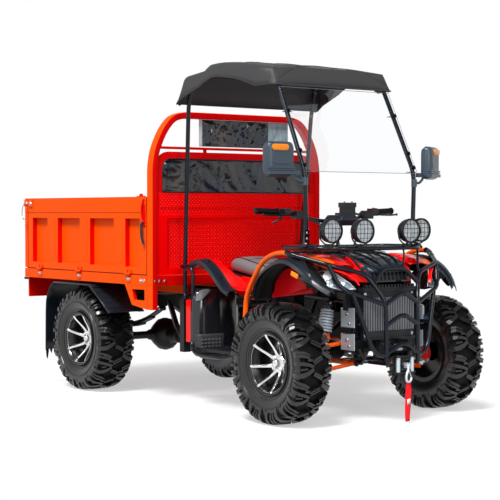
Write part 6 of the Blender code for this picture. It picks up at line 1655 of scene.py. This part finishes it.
def tank(kit):
    stations = ((1.290, 0.110, 0.690, 0.745), (1.330, 0.130, 0.690, 0.770), (1.400, 0.150, 0.690, 0.802),
                (1.460, 0.162, 0.700, 0.842), (1.520, 0.165, 0.712, 0.872), (1.570, 0.155, 0.728, 0.892),
                (1.610, 0.138, 0.745, 0.898))
    rows = []
    for x, half, low, high in smooth_rows(stations, 3):
        middle = 0.5 * (low + high)
        side = [(half * 0.96, low), (half, middle - 0.01), (half * 0.98, middle + 0.012),
                (half * 0.86, high - 0.024), (half * 0.70, high - 0.009), (half * 0.42, high - 0.002),
                (half * 0.14, high)]
        rows.append([(x, -y, z) for y, z in side] + [(x, y, z) for y, z in reversed(side)])
    made = piece("tank cover", loft(rows), kit["gloss_red"], "chassis", ["tank_cover"], smooth=40)
    two_tone(made, kit["plastic"], lambda centre, normal: abs(centre.y) < 0.066 and normal.z > 0.3)
    cap = [turned("z", (1.480, 0.0, 0), [(0.850, 0.036), (0.872, 0.034), (0.876, 0.028), (0.877, 0.003)], 28)]
    for number in range(12):
        angle = 2 * math.pi * number / 12
        cap.append(tube([(1.480 + 0.035 * math.cos(angle), 0.035 * math.sin(angle), 0.855),
                         (1.480 + 0.034 * math.cos(angle), 0.034 * math.sin(angle), 0.871)], 0.003, sides=8))
    piece("filler cap", joined(cap), kit["plastic"], "chassis")
    console = [(1.612, 0.120, 0.760, 0.893), (1.680, 0.125, 0.770, 0.896), (1.790, 0.150, 0.785, 0.890)]
    rows = [[(x, -h, low), (x, -h * 1.05, high - 0.02), (x, -h * 0.8, high), (x, h * 0.8, high),
             (x, h * 1.05, high - 0.02), (x, h, low)] for x, h, low, high in smooth_rows(console, 3)]
    piece("column cowl", loft(rows), kit["plastic"], "chassis")


def rear_fender(kit):
    """The red seat fender, black along its outer band, that falls in front of the leg panels."""
    stations = ((0.905, 0.776, 0.742), (0.960, 0.812, 0.735), (1.020, 0.832, 0.726), (1.080, 0.832, 0.718),
                (1.140, 0.806, 0.710), (1.200, 0.762, 0.702), (1.245, 0.722, 0.696), (1.290, 0.686, 0.680),
                (1.345, 0.664, 0.664))
    rows = []
    for x, edge, middle in smooth_rows(stations, 4):
        inner = max(edge, middle + 0.004)
        near = [(0.476, edge - 0.024), (0.470, edge - 0.008), (0.455, edge - 0.001), (0.412, edge + 0.003),
                (0.402, inner - 0.003), (0.350, inner - 0.006), (0.290, 0.45 * inner + 0.55 * middle),
                (0.240, middle + 0.010), (0.180, middle)]
        rows.append([(x, -y, z) for y, z in near] + [(x, y, z) for y, z in reversed(near)])
    made = piece("seat fender", grid(rows), kit["gloss_red"], "chassis", ["rear_fender"], smooth=34,
                 thick=0.005)
    two_tone(made, kit["flare"], lambda centre, normal: abs(centre.y) > 0.400)
    lip, shields = [], []
    for side in SIDES.values():
        lip.append(tube([(x, side * 0.474, edge - 0.022) for x, edge, _ in stations], 0.0050, 0.02, 3, 10))
        for x, z in ((1.120, 0.8235), (1.235, 0.738)):
            lip.append(bolt((x, side * 0.440, z), (0.6, 0, 0.8), 0.006))
        shields.append(grid([[(x, side * y, z) for x, z in ((1.180, 0.735), (1.300, 0.725), (1.430, 0.745),
                                                            (1.500, 0.700))] for y in (0.235, 0.250)]
                            + [[(x, side * y, z) for x, z in ((1.150, 0.640), (1.300, 0.610), (1.430, 0.620),
                                                              (1.500, 0.630))] for y in (0.270, 0.272)]))
    piece("fender lip", joined(lip), kit["flare"], "chassis")
    piece("side shields", joined(shields), kit["gloss_red"], "chassis", thick=0.004, smooth=45)


def leg_guard(place, side, kit):
    """A bulged glossy panel with a fold, its pale shoulder and lower pad, the foot deck and the guard tube."""
    rows = []
    for z, edge, forward in ((0.664, 0.462, 1.060), (0.640, 0.482, 1.066), (0.600, 0.494, 1.072),
                             (0.520, 0.500, 1.077),
                             (0.440, 0.503, 1.080), (0.380, 0.503, 1.083), (0.330, 0.500, 1.085),
                             (0.300, 0.488, 1.083), (0.280, 0.462, 1.078)):
        row = []
        for part, back in ((0.0, 0.052), (0.035, 0.030), (0.10, 0.013), (0.25, 0.003), (0.45, 0.0),
                           (0.54, 0.0015), (0.56, 0.0050), (0.75, 0.008), (0.92, 0.016), (1.0, 0.030)):
            row.append((forward - back, side * (edge + (0.186 - edge) * part), z))
        rows.append(row)
    piece(f"{place} leg panel", grid(rows), kit["gloss_black"], "chassis", [f"leg_guard_{place}"], smooth=40,
          thick=0.005)
    shoulder = [[(1.067, side * 0.470, 0.662), (1.074, side * 0.430, 0.666), (1.076, side * 0.385, 0.666)],
                [(1.060, side * 0.495, 0.625), (1.079, side * 0.450, 0.632), (1.081, side * 0.412, 0.642)],
                [(1.060, side * 0.500, 0.590), (1.080, side * 0.482, 0.596), (1.082, side * 0.458, 0.604)]]
    piece(f"{place} leg shoulder", grid(shoulder), kit["lip_grey"], "chassis", thick=0.003, levels=1)
    pad = [[(1.056, side * 0.497, z), (1.080 + lift, side * 0.470, z), (1.0865 + lift, side * 0.400, z),
            (1.0870 + lift, side * 0.330, z), (1.0830, side * 0.310, z)]
           for z, lift in ((0.408, 0.0), (0.396, 0.004), (0.345, 0.006), (0.306, 0.004), (0.290, -0.002))]
    piece(f"{place} leg pad", grid(pad), kit["roof"], "chassis", thick=0.004, smooth=35)
    lip = tube(outward([(1.040, 0.505, 0.330), (1.074, 0.488, 0.292), (1.090, 0.440, 0.279),
                        (1.094, 0.200, 0.277)], side), 0.0085, 0.02, 5, 12)
    piece(f"{place} leg lip", lip, kit["lip_grey"], "chassis")
    pads = []
    for column in range(6):
        for row in range(4):
            y = 0.338 + column * 0.024
            z = 0.312 + row * 0.020
            pads.append(side_box(side, (1.090, y, z), (1.0952, y + 0.015, z + 0.010)))
    piece(f"{place} kick pad", joined(pads), kit["lip_grey"], "chassis", bevel=0.0015)
    deck = [side_box(side, (1.060, 0.1855, 0.3182), (1.440, 0.490, 0.333))]
    for row in range(9):
        for column in range(6):
            x = 1.110 + row * 0.037
            y = 0.215 + column * 0.044
            deck.append(side_box(side, (x, y, 0.3325), (x + 0.016, y + 0.028, 0.3375)))
    piece(f"{place} foot deck", joined(deck), kit["plastic"], "chassis", bevel=0.0015)
    hoop = [(0.887, 0.470, 0.790), (0.995, 0.478, 0.795), (1.020, 0.480, 0.740), (1.018, 0.480, 0.420),
            (1.045, 0.508, 0.325), (1.160, 0.545, 0.300), (1.380, 0.545, 0.300), (1.440, 0.500, 0.320),
            (1.440, 0.440, 0.326)]
    piece(f"{place} leg tube", tube(outward(hoop, side), 0.0105, 0.045, 7), kit["tube"], "chassis")


def middle(kit):
    seat(kit)
    tank(kit)
    rear_fender(kit)
    for place, side in SIDES.items():
        leg_guard(place, side, kit)


# Chassis, suspension and running gear
def mudguard(place, side, kit):
    """The rear guard with its raised face panel and the jagged rubber flap behind the wheel."""
    outline = [(-0.4020, 0.225), (-0.4015, 0.300), (-0.398, 0.480), (-0.392, 0.545), (-0.375, 0.585),
               (-0.345, 0.632),
               (-0.300, 0.660), (-0.060, 0.6605), (0.140, 0.660), (0.260, 0.583), (0.375, 0.500)]
    rows = []
    for x, z in outline:
        rows.append([(x, side * 0.400, z), (x, side * 0.440, z - 0.001), (x, side * 0.446, z + 0.0012),
                     (x, side * 0.600, z + 0.0012), (x, side * 0.606, z - 0.001), (x, side * 0.650, z),
                     (x, side * 0.655, z - 0.006)])
    piece(f"{place} rear guard", grid(rows), kit["flare"], "chassis", [f"rear_mudguard_{place}"], smooth=30,
          thick=0.005)
    teeth = []
    count = 9
    for number in range(count):
        y = 0.404 + number * 0.0278
        tip = 0.160 + 0.036 * ((number * 5) % 4) / 3
        teeth.append(prism([(side * y, 0.240), (side * (y + 0.0255), 0.240),
                            (side * (y + 0.0205), tip + 0.016),
                            (side * (y + 0.012), tip)], "x", -0.4065, -0.4025))
    piece(f"{place} rear flap", joined(teeth), kit["flap"], "chassis")
    web = [(-0.373, 0.584), (-0.299, 0.656), (0.140, 0.656), (0.300, 0.548), (0.29, 0.540), (-0.36, 0.540)]
    piece(f"{place} guard web", prism(web, "y", side * 0.400, side * 0.404), kit["flap"], "chassis")
    ribs = []
    for number in range(5):
        part = 0.12 + 0.19 * number
        x, z = 0.145 + 0.225 * part, 0.6615 - 0.157 * part
        ribs.append(flat_bar(outward([(x, 0.415, z + 0.003), (x, 0.640, z + 0.003)], side), 0.010, 0.004))
    piece(f"{place} guard ribs", joined(ribs), kit["flare"], "chassis", bevel=0.001)


def rear_running_gear(kit):
    drum = 0.4025
    centre = (0, 0, TYRE_RADIUS)
    shapes = [turned("y", centre, [(-0.36, 0.024), (-0.14, 0.024), (-0.12, 0.034), (-0.10, 0.036),
                                   (-0.085, 0.055),
                                   (-0.062, 0.076), (-0.034, 0.098), (-0.010, 0.100), (-0.009, 0.104),
                                   (0.009, 0.104),
                                   (0.010, 0.100), (0.034, 0.098), (0.062, 0.076), (0.085, 0.055),
                                   (0.10, 0.036), (0.12, 0.034), (0.14, 0.024), (0.36, 0.024)], 30)]
    shapes.append(turned("x", centre, [(0.04, 0.060), (0.13, 0.046), (0.16, 0.040), (0.165, 0.048),
                                       (0.178, 0.048), (0.18, 0.028), (0.21, 0.028)], 24))
    bolts = []
    for number in range(12):
        angle = 2 * math.pi * number / 12
        spot = (0.101 * math.cos(angle), -0.0115, TYRE_RADIUS + 0.101 * math.sin(angle))
        if number % 3:
            bolts.append(bolt(spot, (0, -1, 0), 0.0045, washer=False))
    face = 0.54 - 0.235 / 2 + 0.0045
    for side in SIDES.values():
        inner = face
        shapes.append(turned("y", centre, [(side * 0.35, 0.024), (side * 0.352, 0.040), (side * 0.366, 0.046),
                                           (side * 0.368, 0.090), (side * 0.372, 0.095), (side * drum, 0.095),
                                           (side * (drum + 0.001), 0.090), (side * (drum + 0.002), 0.014),
                                           (side * (inner - 0.004), 0.014)], 32))
        for number in range(3):
            rise = 0.0125 * number
            half = 0.418 - 0.105 * number
            top, foot = [], []
            for step in range(17):
                x = half * (step / 8 - 1)
                part = abs(x) / 0.420
                height = 0.405 + 0.110 * part ** 2 - rise * 0.84
                top.append((x, height + 0.006))
                foot.append((x, height - 0.0055))
            shapes.append(prism(top + foot[::-1], "y", side * 0.2785, side * 0.3215))
        for x in (-0.420, 0.420):
            shapes.append(turned("y", (x, 0, 0.515), [(side * 0.2785, 0.014), (side * 0.3215, 0.014)], 18))
            bolts.append(bolt((x, side * 0.3215, 0.515), (0, side, 0), 0.008))
        shapes.append(side_box(side, (-0.045, 0.270, 0.340), (0.045, 0.330, 0.352)))
        shapes.append(side_box(side, (-0.045, 0.270, 0.409), (0.045, 0.330, 0.420)))
        for x in (-0.033, 0.033):
            for y in (0.2735, 0.3265):
                shapes.append(tube(outward([(x, y, 0.335), (x, y, 0.4205)], side), 0.0045, sides=10))
        shapes.append(side_box(side, (-0.040, 0.272, 0.300), (0.040, 0.328, 0.342)))
    piece("rear axle and springs", joined(shapes), kit["casting"], "chassis", ["rear_axle"], bevel=0.001)
    piece("rear axle bolts", joined(bolts), kit["steel"], "chassis")


def suspension(kit):
    for place, side in SIDES.items():
        for level, pivot_z, ball_z, high, elbow_x in (("lower", 0.300, 0.245, 0.024, WHEELBASE + 0.055),
                                                      ("upper", 0.425, 0.390, 0.020, 2.028)):
            shapes = [tube(outward([(1.807, 0.1145, pivot_z), (2.023, 0.1145, pivot_z)], side), 0.016,
                           sides=20)]
            elbow_y = 0.302
            part = (elbow_y - 0.1145) / (0.430 - 0.1145)
            elbow = (elbow_x, elbow_y, pivot_z + (ball_z - pivot_z) * part)
            shapes.append(tube(outward([(1.815, 0.1145, pivot_z), (1.905, 0.418, ball_z)], side), 0.011))
            shapes.append(tube(outward([(2.015, 0.1145, pivot_z), elbow, (1.925, 0.418, ball_z)], side),
                               0.011, 0.05, 7))
            shapes.append(turned("z", (WHEELBASE, side * 0.430, ball_z),
                                 [(-high / 2, 0.016), (-high / 2 + 0.003, 0.019), (high / 2 - 0.003, 0.019),
                                  (high / 2, 0.016)], 22))
            if level == "lower":
                shapes.append(side_box(side, (1.895, 0.300, 0.258), (1.984, 0.345, 0.270)))
                for x in (1.946, 1.974):
                    shapes.append(side_box(side, (x - 0.0025, 0.312, 0.262), (x + 0.0025, 0.338, 0.3080)))
            piece(f"{place} {level} arm", joined(shapes), kit["arm"], "chassis", [f"{level}_arm_{place}"])
            ends = [turned("x", (0, side * 0.1145, pivot_z), [(x, 0.0185), (x + 0.004, 0.0185)], 20)
                    for x in (1.8045, 2.0215)]
            ends += [bolt((2.0255, side * 0.1145, pivot_z), (1, 0, 0), 0.008)]
            piece(f"{place} {level} arm bushes", joined(ends), kit["plastic"], "chassis")
        damper(place, side, kit)
    drive(kit)


def damper(place, side, kit):
    """Two coils over a damper: a big white upper coil, an orange collar and a short lower coil."""
    top = Vector((1.946, side * 0.240, 0.622))
    foot = Vector((1.962, side * 0.325, 0.322))
    axis = (top - foot).normalized()
    length = (top - foot).length
    across = axis.cross(Vector((1, 0, 0))).normalized()
    second = axis.cross(across)

    def disc(along, thick, radius):
        centre = foot + axis * along
        return sweep([centre - axis * thick / 2, centre + axis * thick / 2], round_section(radius, 28))

    def coil(start, end, turns, near, far, wire):
        count = turns * 20
        path = []
        for step in range(count + 1):
            part = step / count
            angle = 2 * math.pi * turns * part
            radius = near + (far - near) * part
            path.append(foot + axis * (start + (end - start) * part)
                        + (across * math.cos(angle) + second * math.sin(angle)) * radius)
        return sweep(path, round_section(wire, 8))

    springs = [coil(0.150, length - 0.038, 8, 0.0375, 0.0300, 0.0066),
               coil(0.044, 0.114, 4, 0.0310, 0.0310, 0.0056)]
    piece(f"{place} springs", joined(springs), kit["white"], "chassis", [f"front_shock_{place}"])
    core = [tube([foot, foot + axis * 0.13], 0.019), disc(0.038, 0.009, 0.037),
            disc(length - 0.034, 0.009, 0.036)]
    core.append(disc(length - 0.024, 0.012, 0.026))
    core += [turned("x", end, [(-0.0145, 0.011), (-0.0135, 0.014), (0.0135, 0.014), (0.0145, 0.011)], 20)
             for end in (foot, top)]
    core.append(tube([foot + axis * 0.11, top], 0.010))
    piece(f"{place} damper", joined(core), kit["casting"], "chassis")
    collar = [disc(0.128, 0.012, 0.0385), disc(0.141, 0.006, 0.034)]
    for number in range(14):
        angle = 2 * math.pi * number / 14
        spot = foot + axis * 0.128 + (across * math.cos(angle) + second * math.sin(angle)) * 0.0375
        collar.append(sweep([spot - axis * 0.006, spot + axis * 0.006], round_section(0.0028, 6)))
    piece(f"{place} spring collar", joined(collar), kit["arm"], "chassis")
    piece(f"{place} damper bolt", joined([bolt(end + Vector((0.0145, 0, 0)), (1, 0, 0),
                                               0.007) for end in (foot, top)]), kit["steel"], "chassis")


def drive(kit):
    centre = (WHEELBASE, 0, 0.362)
    shapes = [turned("y", centre, [(-0.045, 0.028), (-0.040, 0.034), (-0.030, 0.0455), (0.030, 0.0455),
                                   (0.040, 0.034), (0.045, 0.028)], 26)]
    boots = []
    for side in SIDES.values():
        shapes.append(turned("y", centre, [(side * 0.04, 0.018), (side * 0.136, 0.018)], 18))
        shapes.append(tube(outward([(WHEELBASE, 0.205, 0.362), (WHEELBASE, 0.370, 0.3175)], side), 0.010))
        profile = [(0.136, 0.030), (0.140, 0.0400), (0.146, 0.0400), (0.149, 0.034)]
        for number in range(9):
            start = 0.152 + number * 0.014
            size = 0.0450 - number * 0.0024
            profile += [(start, size - 0.006), (start + 0.003, size), (start + 0.006, size),
                        (start + 0.009, size - 0.007)]
        profile += [(0.280, 0.016), (0.288, 0.012)]
        boots.append(turned("y", centre, [(side * along, radius) for along, radius in profile], 30))
        outer = [(0.322, 0.012), (0.330, 0.014), (0.334, 0.020), (0.337, 0.016), (0.341, 0.024),
                 (0.345, 0.020),
                 (0.350, 0.027), (0.354, 0.024), (0.359, 0.0295), (0.3935, 0.0300), (0.394, 0.026)]
        boots.append(turned("y", (WHEELBASE, 0, TYRE_RADIUS),
                            [(side * along, radius) for along, radius in outer], 30))
    piece("front drive", joined(shapes), kit["casting"], "chassis", ["front_half_shafts"])
    piece("drive boots", joined(boots), kit["flap"], "chassis")


def knuckles(kit):
    for place, side in SIDES.items():
        axle = (WHEELBASE, 0, TYRE_RADIUS)
        face = 0.545 - 0.195 / 2 + 0.0045
        shapes = [side_box(side, (1.893, 0.412, 0.269), (1.937, 0.448, 0.371))]
        shapes.append(turned("z", (WHEELBASE, side * 0.430, 0), [(0.2575, 0.008), (0.3797, 0.008)], 16))
        shapes.append(turned("y", axle, [(side * 0.434, 0.030), (side * 0.458, 0.030), (side * 0.462, 0.014),
                                         (side * face, 0.014)], 24))
        shapes.append(flat_bar(outward([(1.915, 0.425, 0.345), (1.820, 0.410, 0.345)], side), 0.018, 0.012))
        piece(f"{place} upright", joined(shapes), kit["silver_casting"], f"knuckle_{place}",
              [f"knuckle_{place}"], bevel=0.003)
        disc = [turned("y", axle, [(side * 0.4625, 0.030), (side * 0.4625, 0.070), (side * 0.4665, 0.070),
                                   (side * 0.4665, 0.030)], 40, hollow=True)]
        piece(f"{place} brake disc", joined(disc), kit["steel"], f"knuckle_{place}")
        caliper = [side_box(side, (1.938, 0.440, 0.285), (1.972, 0.461, 0.350)),
                   side_box(side, (1.930, 0.444, 0.300), (1.944, 0.458, 0.335))]
        piece(f"{place} caliper", joined(caliper), kit["gloss_red"], f"knuckle_{place}", bevel=0.003)


def engine(kit):
    shapes = [prism([(1.195, 0.3075), (1.555, 0.3075), (1.595, 0.380), (1.575, 0.455), (1.498, 0.495),
                     (1.470, 0.560), (1.290, 0.560), (1.262, 0.498), (1.195, 0.455)], "y", -0.105, 0.105)]
    for side in SIDES.values():
        shapes.append(turned("y", (1.300, 0, 0.400), [(side * 0.100, 0.080), (side * 0.120, 0.078),
                                                      (side * 0.124, 0.070)], 28))
        shapes.append(turned("y", (1.475, 0, 0.400), [(side * 0.100, 0.070), (side * 0.118, 0.068),
                                                      (side * 0.124, 0.058)], 28))
    for number in range(7):
        z = 0.515 + number * 0.0125
        shapes.append(box((1.275, -0.095, z), (1.468, 0.095, z + 0.005)))
    shapes.append(box((1.305, -0.070, 0.560), (1.430, 0.070, 0.630)))
    piece("engine", joined(shapes), kit["casting"], "chassis", ["engine_block"], bevel=0.003)
    bolts = []
    for side in SIDES.values():
        for x, radius in ((1.300, 0.072), (1.475, 0.060)):
            for number in range(6):
                angle = 2 * math.pi * (number + 0.5) / 6
                bolts.append(bolt((x + radius * math.cos(angle), side * 0.121,
                                   0.400 + radius * math.sin(angle)), (0, side, 0), 0.004, washer=False))
    piece("engine bolts", joined(bolts), kit["steel"], "chassis")
    tank_red = [box((0.915, -0.462, 0.352), (0.992, -0.300, 0.598)),
                box((0.935, -0.440, 0.598), (0.975, -0.400, 0.612))]
    piece("red side tank", joined(tank_red), kit["gloss_red"], "chassis", bevel=0.008)


def wiring(kit):
    runs = [((2.060, -0.190, 0.700), (2.075, -0.215, 0.640), (2.090, -0.215, 0.580), (2.070, -0.190, 0.520)),
            ((1.990, -0.180, 0.700), (1.975, -0.200, 0.640), (1.950, -0.180, 0.600)),
            ((2.010, 0.200, 0.700), (2.060, 0.240, 0.640), (2.085, 0.268, 0.600)),
            ((1.700, -0.150, 0.640), (1.780, -0.170, 0.560), (1.800, -0.140, 0.480), (1.840, -0.060, 0.420)),
            ((1.660, 0.120, 0.640), (1.740, 0.150, 0.560), (1.790, 0.130, 0.470))]
    shapes = [tube(run, 0.0045, 0.05, 8, 8) for run in runs]
    piece("front wiring", joined(shapes), kit["cable"], "chassis")


def running_gear(kit):
    for place, side in SIDES.items():
        mudguard(place, side, kit)
    rear_running_gear(kit)
    suspension(kit)
    knuckles(kit)
    engine(kit)
    wiring(kit)


# Stage: floor, light and camera
def seen_directly(nodes, links):
    """A value that is 1 for rays that show the background: from the camera, or by way of metal or glass."""
    path = nodes.new("ShaderNodeLightPath")
    value = path.outputs["Is Camera Ray"]
    for kind in ("Is Glossy Ray", "Is Transmission Ray"):
        more = nodes.new("ShaderNodeMath")
        more.operation = "MAXIMUM"
        links.new(value, more.inputs[0])
        links.new(path.outputs[kind], more.inputs[1])
        value = more.outputs["Value"]
    return value


def floor_paint():
    """White paint that takes a soft shadow near the part and melts into the white backdrop further out."""
    made = bpy.data.materials.new("floor paint")
    made.use_nodes = True
    nodes, links = made.node_tree.nodes, made.node_tree.links
    nodes.remove(nodes["Principled BSDF"])
    paint = nodes.new("ShaderNodeBsdfDiffuse")
    tone = nodes.new("ShaderNodeMapRange")
    tone.inputs["To Min"].default_value, tone.inputs["To Max"].default_value = 0.30, 0.90
    seen = seen_directly(nodes, links)
    links.new(seen, tone.inputs["Value"])
    links.new(tone.outputs["Result"], paint.inputs["Color"])
    glow = nodes.new("ShaderNodeEmission")
    place = nodes.new("ShaderNodeTexCoord")
    distance = nodes.new("ShaderNodeVectorMath")
    distance.operation = "LENGTH"
    fade = nodes.new("ShaderNodeMapRange")
    for socket, value in (("From Min", 1.4), ("From Max", 3.4), ("To Min", 0.50), ("To Max", 1.0)):
        fade.inputs[socket].default_value = value
    share = nodes.new("ShaderNodeMath")
    share.operation = "MULTIPLY"
    mix = nodes.new("ShaderNodeMixShader")
    links.new(place.outputs["Object"], distance.inputs[0])
    links.new(distance.outputs["Value"], fade.inputs["Value"])
    links.new(fade.outputs["Result"], share.inputs[0])
    links.new(seen, share.inputs[1])
    links.new(share.outputs["Value"], mix.inputs["Fac"])
    links.new(paint.outputs["BSDF"], mix.inputs[1])
    links.new(glow.outputs["Emission"], mix.inputs[2])
    links.new(mix.outputs["Shader"], nodes["Material Output"].inputs["Surface"])
    return made


LAMPS = (("soft sun", "SUN", (2.4, -4.6, 8.0), (0, 0, 0), 4.0, 0.34),
         ("front strip", "AREA", (5.5, -1.2, 2.9), (0.6, 0, 0.7), 84.0, (0.8, 3.2)),
         ("side strip", "AREA", (-1.2, -5.6, 3.4), (0, 0, 0.8), 30.0, (3.2, 0.9)),
         ("corner strip", "AREA", (4.2, -4.6, 3.6), (0.9, -0.4, 0.6), 44.0, (0.6, 2.4)))


def stage():
    reach = 30.0
    data = bpy.data.meshes.new("floor")
    data.from_pydata([(-reach, -reach, 0), (reach, -reach, 0), (reach, reach, 0), (-reach, reach, 0)], [],
                     [(0, 1, 2, 3)])
    floor = bpy.data.objects.new("floor", data)
    bpy.context.scene.collection.objects.link(floor)
    data.materials.append(floor_paint())
    for name, kind, place, aim, energy, size in LAMPS:
        lamp_data = bpy.data.lights.new(name, kind)
        lamp_data.energy = energy
        if kind == "SUN":
            lamp_data.angle = size
        else:
            lamp_data.shape = "RECTANGLE"
            lamp_data.size, lamp_data.size_y = size
        lamp_object = bpy.data.objects.new(name, lamp_data)
        lamp_object.location = place
        lamp_object.rotation_euler = (Vector(aim) - Vector(place)).to_track_quat("-Z", "Y").to_euler()
        bpy.context.scene.collection.objects.link(lamp_object)


def backdrop():
    """A white backdrop for the camera, metal and glass, under a dimmer ceiling that gloss picks up."""
    world = bpy.data.worlds.new("studio")
    world.use_nodes = True
    nodes, links = world.node_tree.nodes, world.node_tree.links
    background = nodes["Background"]
    background.inputs["Color"].default_value = (1, 1, 1, 1)
    place = nodes.new("ShaderNodeTexCoord")
    parts = nodes.new("ShaderNodeSeparateXYZ")
    ceiling = nodes.new("ShaderNodeMapRange")
    for socket, value in (("From Min", 0.22), ("From Max", 0.75), ("To Min", 1.0), ("To Max", 0.22)):
        ceiling.inputs[socket].default_value = value
    links.new(place.outputs["Generated"], parts.inputs[0])
    links.new(parts.outputs["Z"], ceiling.inputs["Value"])
    path = nodes.new("ShaderNodeLightPath")
    shown = nodes.new("ShaderNodeMix")
    shown.inputs["A"].default_value = 0.30
    links.new(ceiling.outputs["Result"], shown.inputs["B"])
    links.new(seen_directly(nodes, links), shown.inputs["Factor"])
    strength = nodes.new("ShaderNodeMath")
    strength.operation = "MAXIMUM"
    links.new(shown.outputs["Result"], strength.inputs[0])
    links.new(path.outputs["Is Camera Ray"], strength.inputs[1])
    links.new(strength.outputs["Value"], background.inputs["Strength"])
    bpy.context.scene.world = world


def camera():
    azimuth, pitch = math.radians(53.37), math.radians(1.4755)
    heading = Vector((-math.sin(azimuth) * math.cos(pitch), math.cos(azimuth) * math.cos(pitch),
                      -math.sin(pitch)))
    data = bpy.data.cameras.new("photo camera")
    data.lens = 106.08
    data.sensor_width = 36.0
    made = bpy.data.objects.new("photo camera", data)
    made.location = Vector((7.965, -5.2387, 1.104)) + SHIFT
    made.rotation_euler = heading.to_track_quat("-Z", "Y").to_euler()
    bpy.context.scene.collection.objects.link(made)
    bpy.context.scene.camera = made


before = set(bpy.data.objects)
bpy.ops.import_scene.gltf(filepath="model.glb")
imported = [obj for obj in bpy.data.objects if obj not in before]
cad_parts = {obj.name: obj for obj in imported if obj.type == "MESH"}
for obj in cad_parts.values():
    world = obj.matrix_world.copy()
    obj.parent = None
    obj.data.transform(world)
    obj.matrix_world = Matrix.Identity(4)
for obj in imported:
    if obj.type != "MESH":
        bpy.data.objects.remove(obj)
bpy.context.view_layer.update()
bpy.context.scene.view_settings.view_transform = "Standard"
KIT = finishes()
wheels(KIT)
cargo(KIT)
cab(KIT)
front_end(KIT)
middle(KIT)
running_gear(KIT)
paint_node("chassis_frame", KIT["frame"], 0.002)
stage()
backdrop()
camera()
